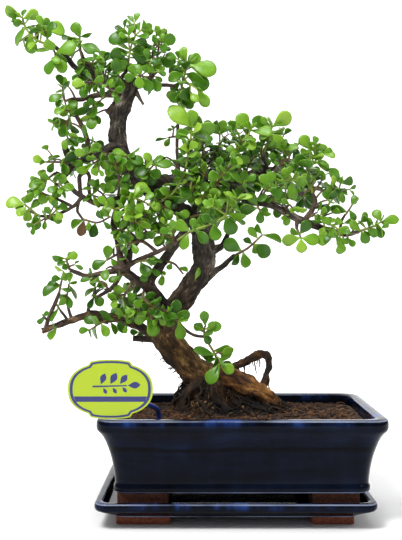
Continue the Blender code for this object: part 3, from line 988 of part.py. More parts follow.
def make_sprays(wood_mat, leaf_mat):
    """All leafy shoots: stems first, then the leaves read one by one, then those set by rule."""
    axes = wood_axes()
    stems, pieces = {}, {name: [] for name in SPRAYS}
    wood = make_wood(wood_mat)
    wood_trees = [tree_of(obj) for obj in wood]
    placed = [(tree, Vector(), 1e6, "wood", None) for tree in wood_trees]
    for name, spray in SPRAYS.items():
        fused = spray.get("fused", False)
        stems[name] = []
        for n, rows in enumerate(spray["stems"]):
            points = [seen(*row) for row in rows]
            d0, d1 = (2.6, 1.7) if n == 0 else (1.9, 1.5)
            if n == 0 and nearest_on(axes, points[0])[1] < 3.2:
                d0 = 2.2
            if n == 0:
                points = seat(points, axes, d0, d1, fused, wood_trees)
            else:
                points[0] = nearest_on(stem_axes(stems[name]), points[0])[0]
            path = stem_path(points, d0, d1)
            stems[name].append([p.to_3d() for p in path])
            verts, faces = tube(path, 3)
            pieces[name].append(add_object(f"{name}_stem{n}", verts, faces, leaf_mat))
            tree = BVHTree.FromPolygons(verts, faces)
            centre = sum(verts, Vector()) / len(verts)
            reach = max((v - centre).length for v in verts)
            for other, other_centre, other_reach, owner, root in placed:
                if owner != name and not (fused and owner == "wood") and tree.overlap(other):
                    print("stem", name, n, "crosses", owner)
            placed.append((tree, centre, reach, name, None))
    count = dropped = 0
    for kind in ("blades", "pairs"):
        for number, (name, spray) in enumerate(SPRAYS.items()):
            rng = random.Random(101 * number + len(kind))
            rows = spray.get(kind, ())
            fused = spray.get("fused", False)
            made = (blade_leaves if kind == "blades" else pair_leaves)(stems[name], rows, rng)
            for base, tip, face in made:
                for turn in (0, 25, -25, 50, -50, 75):
                    axis = (tip - base).normalized()
                    turned = Matrix.Rotation(math.radians(turn), 3, axis) @ face
                    nearer = (axis + Vector((0, -0.004 * abs(turn), 0))).normalized()
                    moved = base + nearer * (tip - base).length
                    if clear_of(base, moved, turned, name, fused, placed):
                        verts, faces = leaf(base, moved, turned)
                        pieces[name].append(add_object(f"{name}_leaf", verts, faces, leaf_mat))
                        centre = sum(verts, Vector()) / len(verts)
                        placed.append((BVHTree.FromPolygons(verts, faces), centre, 12.0, name, verts[0]))
                        count += 1
                        break
                else:
                    dropped += 1
                    if kind == "blades":
                        print("no room for a leaf of", name, [round(v) for v in base], [round(v) for v in tip])
    print("leaves:", count, "left out:", dropped)
    return wood, pieces


def make_plant():
    bark = material("Jade bark", (0.10, 0.065, 0.045), 0.85)
    leaf_mat = material("Jade leaf", (0.10, 0.30, 0.03), 0.35)
    wood, sprays = make_sprays(bark, leaf_mat)
    on_wood = [piece for name, parts in sprays.items() if SPRAYS[name].get("fused") for piece in parts]
    fuse(wood[0], wood[1:] + on_wood)
    for name, parts in sprays.items():
        if SPRAYS[name].get("fused"):
            continue
        fuse(parts[0], parts[1:]).name = name


def make_label():
    """A plain oval plant label with a tab above and below, on a stake pushed into the soil."""
    plate_mat = material("Lime plastic", (0.45, 0.56, 0.02), 0.35)
    stake_mat = material("Blue plastic", (0.02, 0.07, 0.30), 0.35)
    x, y, z = PLATE
    outline = []
    for k in range(36):
        a = 2 * math.pi * k / 36
        c, s = math.cos(a), math.sin(a)
        r = (abs(c) ** 2.4 + abs(s) ** 2.4) ** (-1 / 2.4)
        px, pz = PLATE_X / 2 * c * r, PLATE_Z / 2 * s * r
        if abs(px) < PLATE_X * 0.24:
            pz += math.copysign(2.6, pz)
        outline.append((x + px, z + pz))
    verts, faces = loft([[(px, y, pz) for px, pz in outline], [(px, y + PLATE_T, pz) for px, pz in outline]])
    add_object("label_plate", verts, faces, plate_mat)
    back = y + PLATE_T + GAP
    sx, sy = STAKE_AT
    path = [(x + 4, back + 1.9, z - 2, 3.0), (x + 16, back + 3.0, z - 7, 3.6), (sx - 8, sy - 20, 103, 4.2),
            (sx - 1.5, sy - 5, 97, 4.4), (sx, sy, 90, 4.4), (sx, sy, 76, 4.0), (sx, sy, 60, 2.0)]
    verts, faces = tube(smooth_path(path, 6.0), 8)
    add_object("label_stake", verts, faces, stake_mat)


def make_drain_meshes():
    """Plastic netting discs over the drainage holes, under the soil."""
    mat = material("Black plastic mesh", (0.02, 0.02, 0.02), 0.6)
    for n, x in enumerate(DRAIN_X):
        bpy.ops.mesh.primitive_cylinder_add(vertices=20, radius=0.015, depth=0.0012,
                                            location=(x * MM, 0, (POT_FLOOR + GAP + 0.6) * MM))
        disc = bpy.context.object
        disc.name = f"drain_mesh_{n + 1}"
        disc.data.materials.append(mat)


def centre_all():
    """Put the whole object's box over the origin, standing on z = 0."""
    points = [obj.matrix_world @ v.co for obj in bpy.data.objects if obj.type == "MESH" for v in obj.data.vertices]
    low = Vector([min(p[i] for p in points) for i in range(3)])
    high = Vector([max(p[i] for p in points) for i in range(3)])
    shift = Vector((-(low.x + high.x) / 2, -(low.y + high.y) / 2, -low.z))
    for obj in bpy.data.objects:
        obj.location += shift
    print("moved by", [round(v / MM, 3) for v in shift], "size", [round(v / MM, 1) for v in high - low])


def main():
    clear_scene()
    make_pot()
    make_tray()
    make_soil()
    make_plant()
    make_label()
    make_drain_meshes()
    bpy.context.view_layer.update()
    centre_all()


main()
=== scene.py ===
# %% [markdown]
# # A dwarf jade bonsai in its glazed pot
# The real thing is a small tree: a leaning trunk with roots that stand out of the peat, some sixty limbs
# and twigs, and over a thousand round fleshy leaves in opposite pairs. It grows in a glazed rectangular
# pot that stands in a tray of the same glaze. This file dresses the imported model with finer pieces, one
# step at a time, and every step says what the thing is and why it is made that way.

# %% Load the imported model
import math
import random

import bmesh
import bpy
from mathutils import Matrix, Vector
from mathutils.bvhtree import BVHTree
from mathutils.kdtree import KDTree
from mathutils.noise import noise


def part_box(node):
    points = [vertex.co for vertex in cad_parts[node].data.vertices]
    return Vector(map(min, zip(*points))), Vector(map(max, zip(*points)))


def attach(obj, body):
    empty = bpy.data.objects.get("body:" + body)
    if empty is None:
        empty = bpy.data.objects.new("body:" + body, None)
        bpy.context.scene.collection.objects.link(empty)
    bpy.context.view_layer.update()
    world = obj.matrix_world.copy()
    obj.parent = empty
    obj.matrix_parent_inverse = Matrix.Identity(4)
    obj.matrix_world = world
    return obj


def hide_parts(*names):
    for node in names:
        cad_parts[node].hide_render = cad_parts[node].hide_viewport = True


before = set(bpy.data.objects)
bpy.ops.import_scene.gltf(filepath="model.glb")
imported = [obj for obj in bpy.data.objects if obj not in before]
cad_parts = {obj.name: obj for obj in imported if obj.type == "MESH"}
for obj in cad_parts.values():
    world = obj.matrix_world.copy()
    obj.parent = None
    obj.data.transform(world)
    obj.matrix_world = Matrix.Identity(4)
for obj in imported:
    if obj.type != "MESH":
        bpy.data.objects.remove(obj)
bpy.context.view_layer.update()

bpy.ops.object.select_all(action="DESELECT")
print("solids in the frame:", len(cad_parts))

# %% [markdown]
# ## One set of units
# Sizes are easiest to think of in millimetres, from a zero under the pot's centre. The frame has its zero
# under the middle of the whole tree, so one small vector, taken from the pot's own box, leads from the
# first to the second.

# %% Millimetres round the pot's centre
MM = 0.001
pot_low, pot_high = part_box("pot")
SHIFT = Vector(((pot_low.x + pot_high.x) / 2, (pot_low.y + pot_high.y) / 2, 0.0))


def place(point):
    """A point in millimetres from the pot's centre, as a place in the scene."""
    return Vector(point[:3]) * MM + SHIFT


print("the pot's centre stands at", [round(v / MM, 1) for v in SHIFT])

# %% [markdown]
# ## The camera
# A product photograph of a bonsai is taken level with the middle of the tree, so that the trunk stands
# straight and the soil is seen a little from above. The camera looks along +Y without any tilt. Its height
# is where lines along the pot's sides would meet, and its distance makes the pot 250 mm wide.
# The Standard view shows colours as they are, without a film curve, so white paper stays white.

# %% Set the camera
EYE = Vector((-35.5, -867.0, 220.0))
bpy.ops.object.camera_add(location=place(EYE), rotation=(math.radians(90), 0, 0))
camera = bpy.context.object
camera.name = "studio_camera"
camera.data.lens = 50.0
camera.data.sensor_width = 29.13
camera.data.clip_end = 30.0
bpy.context.scene.camera = camera
bpy.context.scene.view_settings.view_transform = "Standard"
bpy.context.scene.view_settings.look = "None"
print("camera at", [round(v, 3) for v in camera.location])

# %% [markdown]
# ## Colours and nodes
# Colours are written as the hex codes that a paint program shows. Blender computes in linear light, so one
# function turns a code to linear values. A second one adds a node with its settings and links, and a third
# starts a material from its shader's plain values.

# %% Helpers for materials
def colour(code):
    """Linear RGBA of an sRGB hex colour."""
    parts = [int(code[i:i + 2], 16) / 255 for i in (1, 3, 5)]
    return (*[c / 12.92 if c <= 0.04045 else ((c + 0.055) / 1.055) ** 2.4 for c in parts], 1.0)


def add(mat, kind, inputs=None, stops=None, **settings):
    """Add a node with its settings, its sockets' values or links, and a ramp's colours."""
    node = mat.node_tree.nodes.new("ShaderNode" + kind)
    for name, value in settings.items():
        setattr(node, name, value)
    for name, value in (inputs or {}).items():
        if isinstance(value, bpy.types.NodeSocket):
            mat.node_tree.links.new(value, node.inputs[name])
        else:
            node.inputs[name].default_value = value
    for n, (at, code) in enumerate(stops or ()):
        stop = node.color_ramp.elements[n] if n < 2 else node.color_ramp.elements.new(at)
        stop.position = at
        stop.color = colour(code)
    return node


def new_material(name, **values):
    """A material and its Principled shader, with plain values on the shader's sockets."""
    mat = bpy.data.materials.new(name)
    mat.use_nodes = True
    shader = mat.node_tree.nodes["Principled BSDF"]
    for socket, value in values.items():
        shader.inputs[socket.replace("_", " ")].default_value = value
    return mat, shader


def per(size):
    """Scale of a noise whose lumps are about a size in millimetres, on coordinates in metres."""
    return 1.0 / (size * MM)


def link(mat, output, socket):
    mat.node_tree.links.new(output, socket)


print("white is", colour("#FFFFFF"))

# %% [markdown]
# ## The studio
# The real photograph has a white sweep under and behind the pot, lit so that it burns out to white, with
# only a soft shadow where the tray's feet stand. A curved sweep has no edge where floor meets wall. It is
# a strip of faces: a floor, a quarter round and a wall. The paper itself glows, as painted light, more and
# more away from the pot, so that it burns out to white there and leaves the pot's soft shadow alone.

# %% Build the sweep
bpy.ops.mesh.primitive_plane_add(size=1, location=(0, 0, -0.0002))
sweep = bpy.context.object
sweep.name = "white_sweep"
bpy.ops.object.mode_set(mode="EDIT")
bpy.ops.transform.resize(value=(9, 4, 1))
bm = bmesh.from_edit_mesh(sweep.data)
for edge in bm.edges:
    edge.select_set(all(v.co.y > 0.4 for v in edge.verts))
bmesh.update_edit_mesh(sweep.data)
for turn in range(9):
    bpy.ops.mesh.extrude_edges_move(
        TRANSFORM_OT_translate={"value": (0, 0.25 * math.cos(math.radians(5 + 10 * turn)),
                                          0.25 * math.sin(math.radians(5 + 10 * turn)))})
bpy.ops.mesh.extrude_edges_move(TRANSFORM_OT_translate={"value": (0, 0, 5)})
bpy.ops.object.mode_set(mode="OBJECT")
bpy.ops.object.shade_smooth()
paper, shader = new_material("Matte white background paper", Roughness=0.9, Base_Color=colour("#FFFFFF"))
shader.inputs["Emission Color"].default_value = (1, 1, 1, 1)
# Painted light: the paper's glow is nil near the pot and grows further out.
away = add(paper, "VectorMath", {"Vector": add(paper, "TexCoord").outputs["Object"]}, operation="LENGTH")
painted_glow = add(paper, "MapRange", {"Value": away.outputs["Value"], "From Min": 0.16, "From Max": 1.0,
                                 "To Min": 0.0, "To Max": 0.8})
link(paper, painted_glow.outputs["Result"], shader.inputs["Emission Strength"])
sweep.data.materials.append(paper)
print("sweep faces:", len(sweep.data.polygons))

# %% [markdown]
# ## The light
# The leaves show broad soft highlights on their upper sides and the pot's lip a thin bright line, so the
# main light is a large soft box above and in front, a little to the left. Two more boxes, right and above,
# and a surround keep the shadows open, as in a light tent. The surround shines little but is shown white.

# %% Hang the lights
world = bpy.data.worlds.new("light_tent")
bpy.context.scene.world = world
world.use_nodes = True
world.node_tree.nodes["Background"].inputs["Color"].default_value = (1, 1, 1, 1)
tent = add(world, "MapRange", {"Value": add(world, "LightPath").outputs["Is Camera Ray"], "To Min": 0.30,
                               "To Max": 0.98})
link(world, tent.outputs["Result"], world.node_tree.nodes["Background"].inputs["Strength"])
for name, spot, size, power in (("main_box", (-0.5, -0.65, 1.30), 0.45, 17.5),
                                ("right_box", (0.95, -0.55, 0.75), 0.5, 2.0),
                                ("top_box", (0.2, 0.0, 1.5), 0.5, 8.0)):
    bpy.ops.object.light_add(type="AREA", location=spot)
    lamp = bpy.context.object
    lamp.name = name
    lamp.data.size = size
    lamp.data.energy = power
    lamp.rotation_euler = (Vector((0, 0, 0.22)) - Vector(spot)).to_track_quat("-Z", "Y").to_euler()

# %% [markdown]
# ## Glaze and clay
# The pot is stoneware with a navy gloss glaze. Glaze is a layer of glass: where it runs thin, over the lip
# and the bead at the foot, patches of its blue show, and where it pools, along one wavy line, it is nearly
# black. Near the top edge of the lip and the bottom edge of the bead a pale line is painted, partly glaze
# that breaks thin there and partly a painted highlight. It also ran down the walls in faint streaks while
# it melted. The feet were wiped clean before firing, so they show the bare red clay; those that stand in
# the tray are painted darker, as painted shade under the pot.

# %% Make the glaze and the clay
def make_glaze(name, thin_low, thin_high, pooled):
    """Navy gloss glaze: thin near the heights of bead and lip, pooled dark in a wavy line, in metres."""
    mat, shader = new_material(name, Roughness=0.1, IOR=1.5, Specular_IOR_Level=0.07)
    at = add(mat, "TexCoord").outputs["Object"]
    xyz = add(mat, "SeparateXYZ", {"Vector": at})
    drawn = add(mat, "Mapping", {"Vector": at, "Scale": (0.3, 0.3, 1.5)})
    bands = add(mat, "TexNoise", {"Vector": drawn.outputs["Vector"], "Scale": per(50), "Detail": 5.0,
                                  "Roughness": 0.6, "Distortion": 0.9})
    ran = add(mat, "Mapping", {"Vector": at, "Scale": (1.0, 1.0, 0.30)})
    streaks = add(mat, "TexNoise", {"Vector": ran.outputs["Vector"], "Scale": per(16), "Detail": 4.0})
    mottle = add(mat, "Mix", {"Factor": 0.26, "A": bands.outputs["Fac"], "B": streaks.outputs["Fac"]})
    body = add(mat, "ValToRGB", {"Fac": mottle.outputs["Result"]},
               stops=((0.36, "#02040A"), (0.47, "#050A17"), (0.55, "#091122"), (0.66, "#111C36")))
    wave = add(mat, "MapRange", {"Value": bands.outputs["Fac"], "From Min": 0.3, "From Max": 0.7,
                                 "To Min": -pooled - 0.004, "To Max": -pooled + 0.004})
    level = add(mat, "Math", {0: xyz.outputs["Z"], 1: wave.outputs["Result"]}, operation="ADD")
    apart = add(mat, "Math", {0: level.outputs["Value"]}, operation="ABSOLUTE")
    pool = add(mat, "MapRange", {"Value": apart.outputs["Value"], "From Min": 0.0004, "From Max": 0.0034,
                                 "To Min": 0.85, "To Max": 0.0})
    body = add(mat, "MixRGB", {"Fac": pool.outputs["Result"], "Color1": body.outputs["Color"],
                               "Color2": colour("#010103")})
    lip = add(mat, "MapRange", {"Value": xyz.outputs["Z"], "From Min": thin_high - 0.007,
                                "From Max": thin_high})
    bead = add(mat, "MapRange", {"Value": xyz.outputs["Z"], "From Min": thin_low + 0.0026,
                                 "From Max": thin_low + 0.0006})
    thin = add(mat, "Math", {0: lip.outputs["Result"], 1: bead.outputs["Result"]}, operation="MAXIMUM")
    soft = add(mat, "Math", {0: thin.outputs["Value"], 1: 0.8}, operation="MULTIPLY")
    blue = add(mat, "ValToRGB", {"Fac": streaks.outputs["Fac"]},
               stops=((0.42, "#03060F"), (0.54, "#101E42"), (0.68, "#2A4C96")))
    both = add(mat, "MixRGB", {"Fac": soft.outputs["Value"], "Color1": body.outputs["Color"],
                               "Color2": blue.outputs["Color"]})
    # Pale line just above the bottom edge and just below the top edge: partly glaze breaking thin, partly a
    # painted highlight.
    gaps = []
    for height in (thin_low + 0.0011, thin_high - 0.0009):
        gap = add(mat, "Math", {0: xyz.outputs["Z"], 1: height}, operation="SUBTRACT")
        gaps.append(add(mat, "Math", {0: gap.outputs["Value"]}, operation="ABSOLUTE").outputs["Value"])
    nearest = add(mat, "Math", {0: gaps[0], 1: gaps[1]}, operation="MINIMUM")
    edge_break_and_highlight = add(mat, "MapRange", {"Value": nearest.outputs["Value"], "From Min": 0.0002,
                                   "From Max": 0.0008, "To Min": 0.9, "To Max": 0.0})
    patchy = add(mat, "MapRange", {"Value": bands.outputs["Fac"], "From Min": 0.38, "From Max": 0.52,
                                   "To Min": 0.25})
    edge = add(mat, "Math", {0: edge_break_and_highlight.outputs["Result"], 1: patchy.outputs["Result"]},
               operation="MULTIPLY")
    both = add(mat, "MixRGB", {"Fac": edge.outputs["Value"], "Color1": both.outputs["Color"],
                               "Color2": colour("#8790A8")})
    link(mat, both.outputs["Color"], shader.inputs["Base Color"])
    ripple = add(mat, "TexNoise", {"Vector": at, "Scale": per(26), "Detail": 2.0})
    bump = add(mat, "Bump", {"Height": ripple.outputs["Fac"], "Strength": 0.25, "Distance": 0.0012})
    link(mat, bump.outputs["Normal"], shader.inputs["Normal"])
    return mat


def make_clay(name, stops):
    """Bare fired clay with a fine sandy grain."""
    mat, shader = new_material(name, Roughness=0.85)
    grain = add(mat, "TexNoise", {"Vector": add(mat, "TexCoord").outputs["Object"], "Scale": per(1.1),
                                  "Detail": 4.0})
    ramp = add(mat, "ValToRGB", {"Fac": grain.outputs["Fac"]}, stops=stops)
    link(mat, ramp.outputs["Color"], shader.inputs["Base Color"])
    bump = add(mat, "Bump", {"Height": grain.outputs["Fac"], "Strength": 0.4, "Distance": 0.0004})
    link(mat, bump.outputs["Normal"], shader.inputs["Normal"])
    return mat


pot_glaze = make_glaze("Navy stoneware glaze", 0.0285, 0.0934, 0.068)
tray_glaze = make_glaze("Navy stoneware glaze, tray", 0.007, 0.0225, 0.0145)
clay = make_clay("Bare red stoneware clay", ((0.3, "#552819"), (0.5, "#7A3D28"), (0.7, "#94563C")))
# Painted shade: the pot's feet, shaded under the pot, get a darker clay than the tray's feet.
shaded_feet_clay = make_clay("Red clay darkened as painted shade",
                         ((0.3, "#2A130A"), (0.5, "#492312"), (0.7, "#6A3A20")))
print("ceramics:", pot_glaze.name, "/", tray_glaze.name, "/", clay.name, "/", shaded_feet_clay.name)

# %% [markdown]
# ## The pot
# A pot like this is pressed in a mould: a rounded rectangle that flares to a rolled lip. One face is drawn
# up from the foot, level by level, as clay would be: each extrusion is lifted and then scaled to its size.
# At the lip the same face turns over and goes down inside, so the wall has its real thickness.

# %% Draw a pot from levels
def pick(*objects):
    """Select these objects and no other; the first is the active one."""
    bpy.ops.object.select_all(action="DESELECT")
    for obj in objects:
        obj.select_set(True)
    bpy.context.view_layer.objects.active = objects[0]


def show(name, data):
    """A new object in the scene from a mesh or a curve."""
    obj = bpy.data.objects.new(name, data)
    bpy.context.scene.collection.objects.link(obj)
    return obj


def size_box(half_x, half_y):
    """The sides of a level in metres, from its half sizes in millimetres."""
    return Vector((2 * half_x * MM, 2 * half_y * MM, 1.0))


def draw_up(name, centre, corner, levels):
    """A closed body of rounded rectangles: levels are (height, half length, half width) in millimetres."""
    z, half_x, half_y = levels[0]
    bpy.ops.mesh.primitive_plane_add(size=1, location=place((*centre, z)))
    body = bpy.context.object
    body.name = name
    bpy.ops.object.mode_set(mode="EDIT")
    bpy.ops.mesh.select_all(action="SELECT")
    size = size_box(half_x, half_y)
    bpy.ops.transform.resize(value=size)
    bpy.ops.mesh.bevel(offset=corner * MM, segments=9, affect="VERTICES")
    for height, half_x, half_y in levels[1:]:
        bpy.ops.mesh.extrude_region_move(TRANSFORM_OT_translate={"value": (0, 0, (height - z) * MM)})
        goal = size_box(half_x, half_y)
        bpy.ops.transform.resize(value=(goal.x / size.x, goal.y / size.y, 1.0),
                                 center_override=place((*centre, height)))
        z, size = height, goal
    bpy.ops.mesh.select_all(action="SELECT")
    bpy.ops.mesh.normals_make_consistent(inside=False)
    bpy.ops.object.mode_set(mode="OBJECT")
    settle(body)
    return body


def settle(*objects):
    """Put each object's own place into its mesh, so that the object sits at the origin."""
    pick(*objects)
    bpy.ops.object.transform_apply(location=True, rotation=True, scale=True)


def join(objects, name):
    """One object out of several."""
    pick(*objects)
    if len(objects) > 1:
        bpy.ops.object.join()
    objects[0].name = name
    return objects[0]


def feet(name, spans_x, span_y, low, high):
    """Four clay feet with softened edges, joined."""
    made = []
    for x0, x1 in spans_x:
        for side in (-1, 1):
            y = side * sum(span_y) / 2
            bpy.ops.mesh.primitive_cube_add(size=1, location=place(((x0 + x1) / 2, y, (low + high) / 2)))
            block = bpy.context.object
            block.scale = ((x1 - x0) * MM, (span_y[1] - span_y[0]) * MM, (high - low) * MM)
            settle(block)
            bpy.ops.object.mode_set(mode="EDIT")
            bpy.ops.mesh.select_all(action="SELECT")
            bpy.ops.mesh.bevel(offset=1.4 * MM, segments=3)
            bpy.ops.object.mode_set(mode="OBJECT")
            made.append(block)
    return join(made, name)


print("helpers: draw_up, settle, join, feet")

# %% Draw the pot and its feet
LIP_X, LIP_Y, LIP_CORNER = 125.0, 90.0, 13.0
SHARPEST = math.radians(40)
outside = ((28.5, 19.0), (28.5, 16.2), (29.6, 14.4), (31.5, 13.8), (34.0, 13.8), (35.6, 14.6), (36.8, 15.0),
           (42.0, 14.5), (50.0, 13.5), (57.7, 12.0), (63.0, 10.6), (68.0, 9.0), (73.0, 7.2),
           (77.3, 5.2), (80.6, 2.9), (82.5, 1.3), (84.0, 0.4), (86.0, 0.0), (90.0, 0.0), (91.8, 0.4),
           (92.9, 1.2), (93.4, 2.6))
inside = ((93.4, 8.4), (92.8, 9.8), (91.5, 10.4), (86.0, 11.0), (77.3, 13.5), (68.0, 16.5), (57.7, 19.5),
          (46.0, 21.5), (36.0, 23.0), (36.0, 26.0))
levels = [(z, LIP_X - i, LIP_Y - i) for z, i in outside + inside]
pot = draw_up("glazed_pot", (0, 0), LIP_CORNER, levels)
pot.data.materials.append(pot_glaze)
pot_feet = feet("pot_feet", ((-107.6, -63.8), (60.0, 101.0)), (40.0, 71.0), 15.0, 30.0)
pot_feet.data.materials.append(shaded_feet_clay)
pick(pot)
bpy.ops.object.shade_smooth_by_angle(angle=SHARPEST)
print("pot faces:", len(pot.data.polygons), "box", [round(v / MM) for v in pot.dimensions])

# %% Drill the drainage holes, and fix the feet on
HOLE_X, HOLE_RADIUS = 50.0, 10.0
for x in (-HOLE_X, HOLE_X):
    bpy.ops.mesh.primitive_cylinder_add(vertices=32, radius=HOLE_RADIUS * MM, depth=20 * MM,
                                        location=place((x, 0, 32)))
    drill = bpy.context.object
    hole = pot.modifiers.new("hole", "BOOLEAN")
    hole.object = drill
    hole.solver = "EXACT"
    pick(pot)
    bpy.ops.object.modifier_apply(modifier="hole")
    bpy.data.objects.remove(drill)
pot = join([pot, pot_feet], "glazed_pot")
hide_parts("pot")
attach(pot, "root")
print("pot faces with feet:", len(pot.data.polygons))

# %% [markdown]
# ## The tray
# The tray is drawn up in the same way. Its side flares quickly from a narrow base to a rim that rolls over,
# and its floor lies only a little above the feet.

# %% Draw the tray
TRAY_X, TRAY_Y, TRAY_CORNER, TRAY_OFFSET = 121.0, 86.0, 9.0, -5.7
outside = ((7.0, 20.0), (7.0, 17.2), (7.6, 15.8), (8.5, 15.0), (11.5, 9.0), (14.0, 3.5), (15.2, 1.3),
           (17.0, 0.2), (18.5, 0.0), (20.6, 0.1), (21.7, 0.6), (22.3, 1.3), (22.5, 2.2))
inside = ((22.5, 5.0), (22.1, 6.2), (21.0, 7.0), (19.0, 7.4), (16.0, 8.4), (15.1, 9.2), (14.7, 11.0),
          (14.7, 14.0))
levels = [(z, TRAY_X - i, TRAY_Y - i) for z, i in outside + inside]
tray = draw_up("glazed_tray", (TRAY_OFFSET, 0), TRAY_CORNER, levels)
tray.data.materials.append(tray_glaze)
tray_feet = feet("tray_feet", ((-109.0, -62.0), (60.0, 97.0)), (38.0, 66.0), 0.0, 9.0)
tray_feet.data.materials.append(clay)
pick(tray)
bpy.ops.object.shade_smooth_by_angle(angle=SHARPEST)
tray = join([tray, tray_feet], "glazed_tray")
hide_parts("tray")
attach(tray, "root")
print("tray faces:", len(tray.data.polygons))

# %% [markdown]
# ## The limbs, as they were read
# Every limb is a row of points along its middle line. A point is (x, z, y) in millimetres: x and z are
# read from the front on an upright plane through the pot's centre, and y is how far behind that plane the
# point lies. A limb nearer the eye looks larger and further out, so a small function moves each point
# along its line of sight to its real depth. The fourth number is the limb's thickness.

